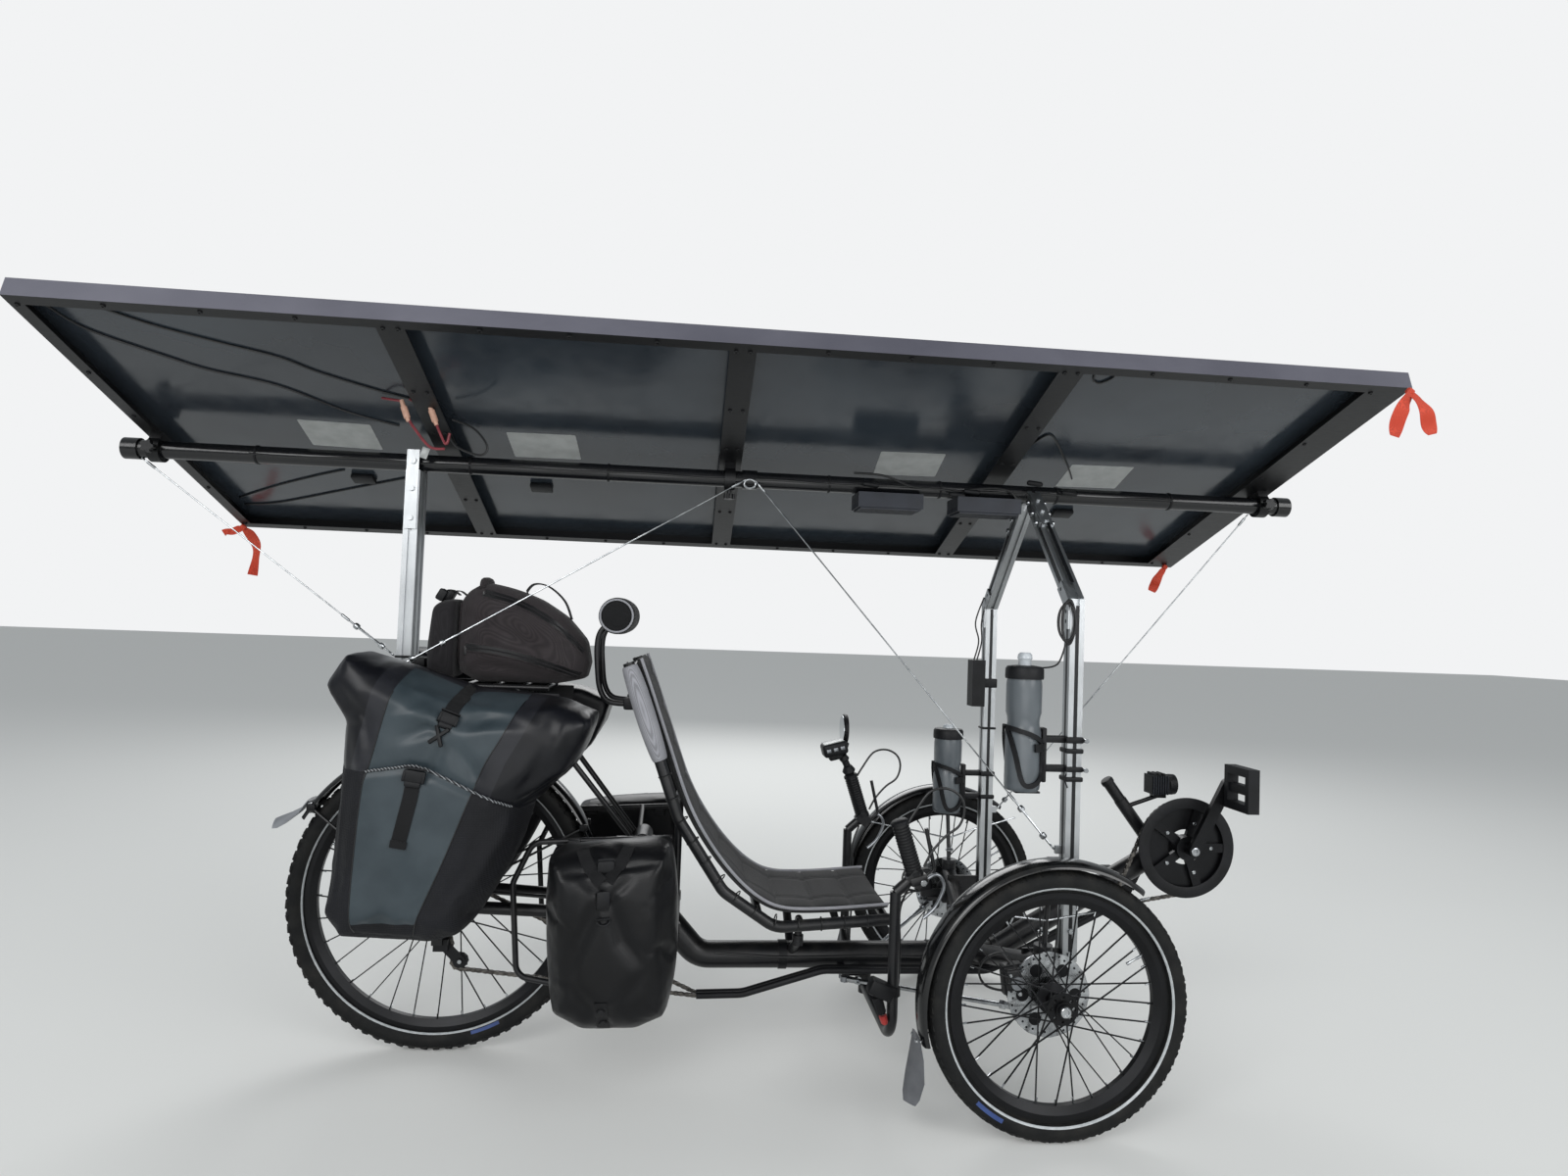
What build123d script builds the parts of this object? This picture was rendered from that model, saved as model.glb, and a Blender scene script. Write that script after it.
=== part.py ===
"""Solar-powered recumbent tricycle: two steered wheels in front, one driven wheel
behind, and a tilting roof of four solar panels on a ridge tube.

Millimetres. +X is forward, +Y is the rider's left, +Z is up. The origin lies on the
floor under the middle of the ridge tube."""

import os
from math import acos, atan2, cos, degrees, hypot, radians, sin

from build123d import *

# Clearances
fit_gap = 0.3            # between pieces that seat on each other with curved faces
running_gap = 0.06       # radial play of a shaft in its bearing

# Wheels: axle places, tyre sizes and widths
front_axle_x = 606.0
rear_axle_x = -614.0
half_track = 405.0
front_bead_radius = 203.0
rear_bead_radius = 279.5
front_tyre_height = 47.0
rear_tyre_height = 45.5
front_tyre_width = 47.0
rear_tyre_width = 50.0
rim_width = 27.0
rim_depth = 18.0
rim_flange = 6.0
spoke_count = 32
spoke_size = 2.4
front_flange_radius = 30.0
rear_flange_radius = 31.0
front_hub_half = 33.0
rear_hub_half = 60.0
hub_barrel_radius = 15.0
cassette_radii = (20, 26, 32, 38, 44, 51, 59)
flange_hole_count = 8
flange_hole_radius = 3.5
rotor_radius = 80.0
rotor_thickness = 2.0
axle_radius = 6.0

# Front carriage: kingpins, arms, cross tubes
kingpin_inset = 75.0
kingpin_radius = 11.0
head_tube_radius = 18.0
head_tube_height = 62.0
knuckle_block = 34.0
steer_arm_back = 48.0
steer_arm_out = 11.0
tie_rod_radius = 5.0
tie_rod_eye_radius = 9.0
rod_inner_z = 149.0
ball_stud_radius = 4.0
cross_tube_radius = 20.0
steer_arm_thick = 8.0

# Main frame
main_tube_radius = 29.0
main_tube_z = 200.0
main_tube_rear_x = -60.0
main_tube_nose_x = 600.0
column_x = -190.0
column_top_z = 455.0
crank_x = 1050.0
crank_z = 461.0
boom_radius = 25.0
bottom_bracket_radius = 21.0
bottom_bracket_half = 34.0
post_height = 198.0
post_clamp_height = 50.0
post_radius = 13.0
swing_pivot_x = -170.0
swing_pivot_z = 300.0
swing_arm_y = 62.0
spring_turns = 7
chain_size = 7.0
chain_play = 1.5          # between the rollers' band and the teeth it runs on
low_gear_y = -45.0
pulley_radius = 16.0
guide_pulley = (-600.0, 240.0)
tension_pulley = (-562.0, 203.0)
tube_front = (880.0, 330.0)
tube_rear = (-60.0, 132.0)
drive_run_y = -44.0
return_run_y = -60.0

# Handlebar under the seat
bar_x = 321.0
bar_z = 130.0
bar_y = 280.0
bar_radius = 11.0
grip_radius = 16.0
grip_top_z = 560.0
bar_stem_radius = 14.0

# Cranks
crank_length = 170.0
crank_angle = 63.0
crank_y = 84.0
crank_arm_width = 26.0
crank_arm_thick = 13.0
pedal_y = 146.0
ring_y = -48.0
ring_radius = 104.0
guard_radius = 113.0
spindle_radius = 12.0

# Roof
tube_z = 1267.0
tube_radius = 19.0
tube_half = 1320.0
tube_cap_radius = 23.0
roof_tilt = 18.3
roof_width = 955.0
panel_pitch = 626.0
panel_count = 4
roof_rear_x = -1280.0
nose_bar_width = 56.0
frame_lift = 30.7
frame_depth = 35.0
frame_flange = 25.0
frame_wall = 3.0
laminate_thick = 5.0

# Masts
mast_x = 680.0
mast_y = 270.0
mast_size = 30.0
mast_lug = 12.0
plate_thick = 4.0
slot_width = 8.0
slot_depth = 5.0
gusset_hole_radius = 4.0
mast_foot_z = 284.0
mast_bend_z = 1014.0
rear_mast_x = -716.0
rear_mast_wide = 30.0
rear_mast_deep = 60.0
rear_mast_foot_z = 796.0

# Seat
seat_half_width = 165.0
seat_tube_radius = 12.0

# Luggage
rack_z = 786.0
rack_half = 72.0
rack_rear_x = -790.0
rack_front_x = -400.0
rack_rod_radius = 6.0
stay_lug_y = -114.0
trunk_half = 77.0

front_tyre_radius = front_bead_radius + front_tyre_height
rear_tyre_radius = rear_bead_radius + rear_tyre_height
kingpin_y = half_track - kingpin_inset
front_axle_z = front_tyre_radius
rear_axle_z = rear_tyre_radius
roof_plane = Plane(origin=(0, 0, tube_z), x_dir=(1, 0, 0),
                   z_dir=(0, sin(radians(roof_tilt)), cos(radians(roof_tilt))))

os.makedirs("parts", exist_ok=True)


def save(piece, node):
    """Label the finished piece and write it as one STEP file."""
    piece.part.label = node
    export_step(piece.part, f"parts/{node}.step")


def rod(start, end, radius, mode=Mode.ADD):
    """A straight round bar from one point to another, in the part being built."""
    run = Vector(*end) - Vector(*start)
    with BuildSketch(Plane(origin=start, z_dir=run)) as section:
        Circle(radius)
    extrude(section.sketch, amount=run.length, mode=mode)


def bent_tube(points, bend, radius):
    """A round tube along straight runs joined by arcs of one bend radius."""
    with BuildLine() as path:
        FilletPolyline(*points, radius=bend)
    with BuildSketch(Plane(origin=path.line @ 0, z_dir=path.line % 0)) as section:
        Circle(radius)
    sweep(section.sketch, path=path.line)


def block(center, size, rotation=(0, 0, 0), mode=Mode.ADD):
    """A plain cuboid about its centre."""
    with Locations(Location(center, rotation)):
        Box(*size, mode=mode)


def spun(points, axle_x, y, axle_z):
    """A closed outline of (distance along the axle, radius) turned about an axle."""
    with BuildSketch(Plane(origin=(axle_x, y, axle_z), x_dir=(0, 1, 0), z_dir=(1, 0, 0))) as outline:
        with BuildLine():
            Polyline(*points, close=True)
        make_face()
    revolve(outline.sketch, axis=Axis((axle_x, y, axle_z), (0, 1, 0)))


def tyre(node, axle_x, y, axle_z, outer, bead, width):
    """A tyre with a crowned tread, and a neck that sits between the rim's flanges."""
    half = width / 2
    neck = rim_width / 2 - 3 - fit_gap
    side = bead + (outer - bead) * 0.62
    points = [(-neck, bead + fit_gap), (-neck, bead + rim_flange + 2), (-half, side), (-half * 0.5, outer),
              (half * 0.5, outer), (half, side), (neck, bead + rim_flange + 2), (neck, bead + fit_gap)]
    with BuildPart() as casing:
        spun(points, axle_x, y, axle_z)
    save(casing, node)


def wheel(node, axle_x, y, axle_z, bead, hub_half, flange_radius, rotor_y, bore):
    """A rim, its laced spokes, the flanged hub and the brake rotor, in one piece."""
    half = rim_width / 2
    foot = bead - rim_depth
    with BuildPart() as laced:
        spun([(-half, bead + rim_flange), (-half, bead - 4), (-6, foot), (6, foot), (half, bead - 4),
              (half, bead + rim_flange), (half - 3, bead + rim_flange), (half - 3, bead),
              (-half + 3, bead), (-half + 3, bead + rim_flange)], axle_x, y, axle_z)
        spun([(-hub_half, 0), (-hub_half, hub_barrel_radius), (-hub_half + 6, hub_barrel_radius),
              (-hub_half + 6, flange_radius), (-hub_half + 10, flange_radius),
              (-hub_half + 14, hub_barrel_radius), (hub_half - 14, hub_barrel_radius),
              (hub_half - 10, flange_radius), (hub_half - 6, flange_radius),
              (hub_half - 6, hub_barrel_radius), (hub_half, hub_barrel_radius), (hub_half, 0)],
             axle_x, y, axle_z)
        for index in range(spoke_count):
            side = 1 if index % 2 else -1
            rim_angle = radians(360 / spoke_count * index)
            lean = radians(62 if index % 4 < 2 else -62)
            low = flange_radius - 3
            start = (axle_x + low * cos(rim_angle + lean), y + side * (hub_half - 8),
                     axle_z + low * sin(rim_angle + lean))
            end = (axle_x + (foot + 4) * cos(rim_angle), y + side * 2, axle_z + (foot + 4) * sin(rim_angle))
            run = Vector(*end) - Vector(*start)
            with BuildSketch(Plane(origin=start, x_dir=(0, 1, 0), z_dir=run)):
                Rectangle(spoke_size, spoke_size)
        extrude(amount=run.length)
        if rotor_y:
            spun([(rotor_y - y - rotor_thickness / 2, 12), (rotor_y - y - rotor_thickness / 2, rotor_radius),
                  (rotor_y - y + rotor_thickness / 2, rotor_radius), (rotor_y - y + rotor_thickness / 2, 12)],
                 axle_x, y, axle_z)
            with BuildSketch(Plane(origin=(axle_x, rotor_y - 5, axle_z), z_dir=(0, 1, 0))) as windows:
                with PolarLocations(rotor_radius - 28, 6):
                    Circle(13)
            extrude(windows.sketch, amount=10, mode=Mode.SUBTRACT)
            with BuildSketch(Plane(origin=(axle_x, y, axle_z), z_dir=(0, y, 0))) as hub_holes:
                with PolarLocations((hub_barrel_radius + flange_radius) / 2 - 1, flange_hole_count):
                    Circle(flange_hole_radius)
            extrude(hub_holes.sketch, amount=hub_half, mode=Mode.SUBTRACT)
            inner_end = y - hub_half if y > 0 else y + hub_half
            rod((axle_x, inner_end, axle_z), (axle_x, rotor_y, axle_z), hub_barrel_radius)
        rod((axle_x, y - 2 * hub_half, axle_z), (axle_x, y + 2 * hub_half, axle_z), bore, mode=Mode.SUBTRACT)
    save(laced, node)


rotor_inset = half_track - front_hub_half - 10
sides = {"right": -1, "left": 1}

for name, side in sides.items():
    y = side * half_track
    tyre(f"tyre_front_{name}", front_axle_x, y, front_axle_z, front_tyre_radius, front_bead_radius,
         front_tyre_width)
    wheel(f"wheel_front_{name}", front_axle_x, y, front_axle_z, front_bead_radius, front_hub_half,
          front_flange_radius, side * rotor_inset, axle_radius + running_gap)

tyre("tyre_rear", rear_axle_x, 0, rear_axle_z, rear_tyre_radius, rear_bead_radius, rear_tyre_width)
wheel("wheel_rear", rear_axle_x, 0, rear_axle_z, rear_bead_radius, rear_hub_half - 18, rear_flange_radius,
      0, axle_radius + running_gap)

with BuildPart() as cassette:
    for step, teeth_radius in enumerate(cassette_radii):
        sprocket_y = -(rear_hub_half - 2) + step * 2.0
        spun([(sprocket_y, axle_radius + running_gap), (sprocket_y, teeth_radius),
              (sprocket_y + 2.0, teeth_radius), (sprocket_y + 2.0, axle_radius + running_gap)],
             rear_axle_x, 0, rear_axle_z)
save(cassette, "cassette")

# The frame: column behind the seat, main tube, cross tubes to the head tubes
head_low_z = front_axle_z + 12
head_top_z = head_low_z + head_tube_height
with BuildPart() as main_frame:
    bent_tube([(column_x, 0, column_top_z), (column_x + 15, 0, 330), (main_tube_rear_x, 0, main_tube_z),
               (main_tube_nose_x + 10, 0, main_tube_z)], 60, main_tube_radius)
    for side in sides.values():
        rod((main_tube_nose_x - 30, 0, main_tube_z + 5), (front_axle_x, side * kingpin_y, head_low_z + 34),
            cross_tube_radius)
        rod((front_axle_x, side * kingpin_y, head_low_z), (front_axle_x, side * kingpin_y, head_top_z),
            head_tube_radius)
        block((mast_x - 38, side * mast_y, mast_foot_z - 22), (112, 6, 90))
        for x, low, high in ((-112, 236, 294), (150, 215, 270)):
            rod((x, side * 15, low), (x, side * 118, high), 10)
            rod((x, side * 118, high - 9), (x, side * 118, high + 12), 11.5)
    rod((column_x, -50, column_top_z), (column_x, 50, column_top_z), 20)
    rod((swing_pivot_x, -44, swing_pivot_z), (swing_pivot_x, 44, swing_pivot_z), 20)
    rod((bar_x, 0, bar_z + 37), (bar_x, 0, main_tube_z), 20)
    block((column_x - 38, 0, 447), (40, 24, 18))
    for x in (260, 520):
        block((x, -31.3, 185), (14, 10.8, 10))
    for side in sides.values():
        rod((front_axle_x, side * kingpin_y, head_low_z - 1),
            (front_axle_x, side * kingpin_y, head_top_z + 1),
            kingpin_radius + running_gap, mode=Mode.SUBTRACT)
    rod((bar_x, 0, bar_z), (bar_x, 0, main_tube_z + 20), bar_stem_radius - 5 + running_gap,
        mode=Mode.SUBTRACT)
save(main_frame, "main_frame")

boom_start = Vector(main_tube_nose_x - 10, 0, main_tube_z - 5.9)
with BuildPart() as boom:
    rod(tuple(boom_start), (crank_x, 0, crank_z), boom_radius)
    rod((crank_x, -bottom_bracket_half, crank_z), (crank_x, bottom_bracket_half, crank_z),
        bottom_bracket_radius)
    post_low = Vector(crank_x - 45, 0, crank_z - 20)
    post_run = Vector(-120, 0, 158).normalized()
    post_end = post_low + post_run * post_height
    rod(tuple(post_low), tuple(post_end - post_run * post_clamp_height), post_radius + 1.5)
    rod(tuple(post_end - post_run * (post_clamp_height + 1)), tuple(post_end), post_radius)
    rod((crank_x - 122, 0, crank_z + 80), (crank_x - 40, 0, crank_z + 108), 5)
    block((crank_x - 40, 0, crank_z + 109), (30, 20, 10))
    rod((crank_x, -60, crank_z), (crank_x, 60, crank_z), spindle_radius + running_gap, mode=Mode.SUBTRACT)
    block((main_tube_nose_x - 20, 0, main_tube_z), (60.6, 80, 90), mode=Mode.SUBTRACT)
save(boom, "boom")

swing_end_z = rear_axle_z
with BuildPart() as swingarm:
    for side in sides.values():
        rod((swing_pivot_x, side * (swing_arm_y - 8), swing_pivot_z),
            (rear_axle_x + 30, side * (swing_arm_y + 12), swing_end_z),
            13)
        block((rear_axle_x, side * (rear_hub_half + 12), rear_axle_z), (70, 8, 56))
        rod((swing_pivot_x, side * 46, swing_pivot_z), (swing_pivot_x, side * 72, swing_pivot_z), 19)
    block((rear_axle_x + 8, -(rear_hub_half + 12), rear_axle_z - 50), (22, 8, 64))
    rod((rear_axle_x + 356, -60, 304), (rear_axle_x + 356, 60, 304), 13)
    rod((rear_axle_x, -(rear_hub_half + 22), rear_axle_z), (rear_axle_x, rear_hub_half + 22, rear_axle_z),
        axle_radius)
    rod((swing_pivot_x, -73, swing_pivot_z), (swing_pivot_x, 73, swing_pivot_z), 20 - 9)
    rod((swing_pivot_x, -44.5, swing_pivot_z), (swing_pivot_x, 44.5, swing_pivot_z), 30, mode=Mode.SUBTRACT)
save(swingarm, "swingarm")

shock_low = (-256, 0, 317 + fit_gap)
shock_high = (-236, 0, 436)
with BuildPart() as shock:
    rod(shock_low, shock_high, 8)
    rod((-253, 0, 335), (-241, 0, 410), 14)
    shock_run = (Vector(*shock_high) - Vector(*shock_low)).normalized()
    for turn in range(spring_turns):
        coil_foot = Vector(-253, 0, 335) + shock_run * (turn * 75 / spring_turns + 1)
        rod(tuple(coil_foot), tuple(coil_foot + shock_run * 5), 18)
save(shock, "shock")

# Seat: two side tubes with cross bars, and the mesh cover between them
seat_points = [(-228, 0, 850), (-112, 0, 530), (-15, 0, 385), (95, 0, 312), (340, 0, 330)]
with BuildPart() as seat_frame:
    for side in sides.values():
        bent_tube([(x, side * seat_half_width, z) for x, _, z in seat_points], 60, seat_tube_radius)
    for x, z in ((-222, 834), (-194, 757), (-112, 530), (60, 335), (330, 329)):
        rod((x, -seat_half_width, z), (x, seat_half_width, z), 9)
    for side in sides.values():
        rod((-112, side * 118, 530), (-112, side * 118, 306 + fit_gap), 8)
        rod((150, side * 118, 316), (150, side * 118, 282 + fit_gap), 8)
        rod((150, side * 118, 316), (150, side * seat_half_width, 316), 8)
save(seat_frame, "seat_frame")

mesh_half = seat_half_width - seat_tube_radius - fit_gap
with BuildPart() as seat_mesh:
    with BuildSketch(Plane.XZ.offset(-mesh_half)) as profile:
        with BuildLine():
            under = FilletPolyline(*[(x + 7, z + 9.8) for x, _, z in seat_points], radius=60)
            over = FilletPolyline(*[(x + 15, z + 21) for x, _, z in seat_points], radius=60)
            Line(under @ 0, over @ 0)
            Line(under @ 1, over @ 1)
        make_face()
    extrude(profile.sketch, amount=2 * mesh_half)
save(seat_mesh, "seat_mesh")

with BuildPart() as headrest:
    rod((-261, -105, 946), (-261, 105, 946), 40)
    for side in sides.values():
        bent_tube([(-261, side * 60, 946), (-302, side * 60, 905), (-296, side * 60, 790),
                   (-262, side * 60, 757),
                   (-203 - fit_gap, side * 60, 757)], 14, 6)
save(headrest, "headrest")

# Rear rack and its struts, side racks
with BuildPart() as rear_rack:
    bent_tube([(rack_front_x, -rack_half, rack_z), (rack_rear_x, -rack_half, rack_z),
               (rack_rear_x, rack_half, rack_z),
               (rack_front_x, rack_half, rack_z)], 24, rack_rod_radius)
    for side in sides.values():
        rod((column_x - 22, side * 40, column_top_z + 7.5), (-470, side * rack_half, rack_z), rack_rod_radius)
        strut_y = side * (rear_hub_half + 16 + fit_gap + rack_rod_radius)
        rod((rear_axle_x, strut_y, rear_axle_z + 18), (-660, side * (rack_half + 1), rack_z),
            rack_rod_radius - 0.5)
    for x in (-700, -640, -580, -520, -460, rack_front_x - 8):
        rod((x, -rack_half, rack_z), (x, rack_half, rack_z), rack_rod_radius - 1)
    block((rear_mast_x, 0, rack_z + 6), (80, 84, 8))
    rod((-712, -rack_half, rack_z), (-712, stay_lug_y, 800), 4)
    block((-712, stay_lug_y, 812), (16, 4, 40))
save(rear_rack, "rear_rack")

for name, side in sides.items():
    rail_y = side * 168
    with BuildPart() as side_rack:
        bent_tube([(-124, rail_y, 494), (-403, rail_y, 482), (-440, rail_y, 400), (-425, rail_y, 215),
                   (-330, rail_y, 196)],
                  30, 6)
        rod((-200, rail_y, 491), (-200, side * 52.2, 455), 6)
    save(side_rack, f"side_rack_{name}")

# Fenders: the rear one over the wheel, front ones carried by the knuckles
with BuildPart() as rear_fender:
    inner = rear_tyre_radius + 14
    spun([(-31, inner - 6), (-24, inner), (24, inner), (31, inner - 6), (31, inner - 4), (24, inner + 2),
          (-24, inner + 2), (-31, inner - 4)], rear_axle_x, 0, rear_axle_z)
    with BuildSketch(Plane(origin=(rear_axle_x, -60, rear_axle_z), x_dir=(1, 0, 0), z_dir=(0, 1, 0))) as keep:
        with BuildLine():
            Polyline((0, 0), (600, -242), (600, -600), (-600, -600), (-600, -330), close=True)
        make_face()
    extrude(keep.sketch, amount=120, mode=Mode.INTERSECT)
    block((rear_axle_x - 317, 0, rear_axle_z + 129), (6, 56, 90), rotation=(0, 28.8, 0))
    stay_y = rear_hub_half + 16 + fit_gap + 4.9
    for side in sides.values():
        rod((-888, side * 33, 517), (-644, side * stay_y, 340), 4)
        rod((-318, side * 33, 482), (-584, side * stay_y, 346), 4)
save(rear_fender, "rear_fender")

for name, side in sides.items():
    inner = front_tyre_radius + 14
    y = side * half_track
    with BuildPart() as fender:
        spun([(-30, inner - 6), (-22, inner), (22, inner), (30, inner - 6), (30, inner - 4), (22, inner + 2),
              (-22, inner + 2), (-30, inner - 4)], front_axle_x, y, front_axle_z)
        with BuildSketch(Plane(origin=(front_axle_x, y - 60, front_axle_z), x_dir=(1, 0, 0),
                               z_dir=(0, 1, 0))) as keep:
            with BuildLine():
                Polyline((0, 0), (400, -600), (-500, -600), (-500, 130), close=True)
            make_face()
        extrude(keep.sketch, amount=120, mode=Mode.INTERSECT)
        block((front_axle_x - 262, y, front_axle_z - 119), (4, 52, 118), rotation=(0, 5.7, 0))
        block((front_axle_x, side * (half_track - 33), front_axle_z + 257), (24, 8, 24))
    save(fender, f"fender_front_{name}")

# Knuckles with kingpin, stub axle, steering arm and brake caliper
arm_z = 226.0
for name, side in sides.items():
    with BuildPart() as knuckle:
        rod((front_axle_x, side * kingpin_y, front_axle_z), (front_axle_x, side * kingpin_y, head_top_z + 8),
            kingpin_radius)
        rod((front_axle_x, side * kingpin_y, head_top_z + 1),
            (front_axle_x, side * kingpin_y, head_top_z + 10),
            head_tube_radius)
        block((front_axle_x, side * kingpin_y, front_axle_z - 8), (38, knuckle_block, 38))
        rod((front_axle_x, side * kingpin_y, front_axle_z),
            (front_axle_x, side * (half_track + front_hub_half + 6), front_axle_z),
            axle_radius)
        rod((front_axle_x, side * (half_track + front_hub_half + 1), front_axle_z),
            (front_axle_x, side * (half_track + front_hub_half + 8), front_axle_z), 11)
        rod((front_axle_x, side * (kingpin_y + 10), front_axle_z),
            (front_axle_x, side * (rotor_inset - 5), front_axle_z), 12)
        with BuildSketch(Plane.XY.offset(arm_z)) as arm:
            with BuildLine():
                Polyline((front_axle_x, side * (kingpin_y + 12)), (front_axle_x, side * (kingpin_y - 14)),
                         (front_axle_x - steer_arm_back - 8, side * (kingpin_y + steer_arm_out - 9)),
                         (front_axle_x - steer_arm_back - 8,
                          side * (kingpin_y + steer_arm_out + 9)), close=True)
            make_face()
        extrude(arm.sketch, amount=steer_arm_thick)
        rod((front_axle_x - steer_arm_back, side * (kingpin_y + steer_arm_out), arm_z - 14),
            (front_axle_x - steer_arm_back, side * (kingpin_y + steer_arm_out), arm_z + 4), ball_stud_radius)
        block((front_axle_x - 66, side * (rotor_inset - 12), front_axle_z + 25.5), (40, 16, 55))
        block((front_axle_x - 40, side * (kingpin_y + 8), front_axle_z - 6), (64, 10, 20))
        rod((front_axle_x, side * (kingpin_y + 4), head_top_z + 5),
            (front_axle_x, side * (half_track - 42.6), front_axle_z + 254),
            5)
    save(knuckle, f"knuckle_{name}")

# Tie rods from the handlebar's arm to the steering arms
for name, side in sides.items():
    inner_end = Vector(bar_x - steer_arm_back, side * steer_arm_out, rod_inner_z)
    outer_end = Vector(front_axle_x - steer_arm_back, side * (kingpin_y + steer_arm_out), arm_z - 9)
    with BuildPart() as tie_rod:
        rod(tuple(inner_end), tuple(outer_end), tie_rod_radius)
        for end in (inner_end, outer_end):
            rod(tuple(end - Vector(0, 0, 5)), tuple(end + Vector(0, 0, 5)), tie_rod_eye_radius)
        for end in (inner_end, outer_end):
            rod(tuple(end - Vector(0, 0, 9)), tuple(end + Vector(0, 0, 9)), ball_stud_radius + running_gap,
                mode=Mode.SUBTRACT)
    save(tie_rod, f"tie_rod_{name}")

with BuildPart() as handlebar:
    bent_tube([(bar_x, -bar_y, 420), (bar_x, -bar_y, bar_z), (bar_x, bar_y, bar_z), (bar_x, bar_y, 420)],
              55, bar_radius)
    for side in sides.values():
        bent_tube([(bar_x, side * bar_y, 418), (bar_x + 38, side * bar_y, 452),
                   (bar_x + 2, side * bar_y, grip_top_z)], 20,
                  bar_radius)
        rod((bar_x + 36, side * bar_y, 458), (bar_x + 4, side * bar_y, grip_top_z - 6), grip_radius)
        block((bar_x + 39, side * bar_y, 447), (34, 34, 26), rotation=(0, 40, 0))
        bent_tube([(bar_x + 50, side * bar_y, 440), (bar_x + 78, side * bar_y, 462),
                   (bar_x + 58, side * bar_y, 545)], 14, 4)
    rod((bar_x, 0, bar_z - 14), (bar_x, 0, bar_z + 36), bar_stem_radius)
    rod((bar_x, 0, bar_z + 35), (bar_x, 0, main_tube_z + 14), bar_stem_radius - 5)
    with BuildSketch(Plane.XY.offset(rod_inner_z + 9)) as arm:
        with BuildLine():
            Polyline((bar_x, 16), (bar_x - steer_arm_back - 8, steer_arm_out + 9),
                     (bar_x - steer_arm_back - 8, -steer_arm_out - 9),
                     (bar_x, -16), close=True)
        make_face()
    extrude(arm.sketch, amount=steer_arm_thick)
    for side in sides.values():
        rod((bar_x - steer_arm_back, side * steer_arm_out, rod_inner_z - 8),
            (bar_x - steer_arm_back, side * steer_arm_out, rod_inner_z + 10), ball_stud_radius)
save(handlebar, "handlebar")

with BuildPart() as cockpit:
    bar_end = Vector(bar_x + 2, bar_y, grip_top_z)
    grip_run = Vector(-36, 0, grip_top_z - 452).normalized()
    rod(tuple(bar_end + grip_run * fit_gap), tuple(bar_end + grip_run * 64), 10)
    block((bar_x - 42, bar_y, grip_top_z + 66), (64, 60, 40), rotation=(0, -15, 0))
    rod((bar_x - 20, bar_y + 34, grip_top_z + 62), (bar_x - 10, bar_y + 40, grip_top_z + 100), 6)
    rod((bar_x - 14, bar_y + 40, grip_top_z + 112), (bar_x - 6, bar_y + 40, grip_top_z + 112), 42)
save(cockpit, "cockpit")

# Cranks and pedals
crank_dir = Vector(cos(radians(crank_angle)), 0, sin(radians(crank_angle)))
crank_centre = Vector(crank_x, 0, crank_z)
with BuildPart() as crankset:
    rod((crank_x, -crank_y, crank_z), (crank_x, crank_y, crank_z), spindle_radius)
    for side in (-1, 1):
        hub_point = crank_centre + Vector(0, side * crank_y, 0)
        tip_point = hub_point + crank_dir * (-side * crank_length)
        with BuildSketch(Plane(origin=hub_point, x_dir=crank_dir * -side, z_dir=(0, side, 0))) as arm:
            SlotCenterPoint((crank_length / 2, 0), (crank_length, 0), crank_arm_width)
        extrude(arm.sketch, amount=crank_arm_thick)
    spun([(ring_y - 1.5, 40), (ring_y - 1.5, ring_radius), (ring_y + 1.5, ring_radius), (ring_y + 1.5, 40)],
         crank_x, 0, crank_z)
    spun([(ring_y - 11, 92), (ring_y - 11, guard_radius), (ring_y - 8, guard_radius), (ring_y - 8, 92)],
         crank_x, 0, crank_z)
    with BuildSketch(Plane(origin=(crank_x, ring_y - 11, crank_z), x_dir=(1, 0, 0),
                           z_dir=(0, 1, 0))) as spider:
        with PolarLocations(50, 5):
            Rectangle(100, 20)
    extrude(spider.sketch, amount=9.5)
    rod((crank_x, ring_y - 20, crank_z), (crank_x, ring_y + 4, crank_z), 28)
save(crankset, "crankset")

pedal_tip = {"right": crank_centre + crank_dir * crank_length,
             "left": crank_centre - crank_dir * crank_length}
for name, side in sides.items():
    tip = pedal_tip[name] + Vector(0, side * pedal_y, 0)
    with BuildPart() as pedal:
        with Locations(Location(tuple(tip), (0, 0, 0))):
            Box(26, 92, 96)
            Box(60, 66, 60, mode=Mode.SUBTRACT)
            Box(18, 92, 20)
        axle_start = pedal_tip[name] + Vector(0, side * (crank_y + crank_arm_thick + fit_gap), 0)
        rod(tuple(axle_start), tuple(tip), 7)
    save(pedal, f"pedal_{name}")

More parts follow.
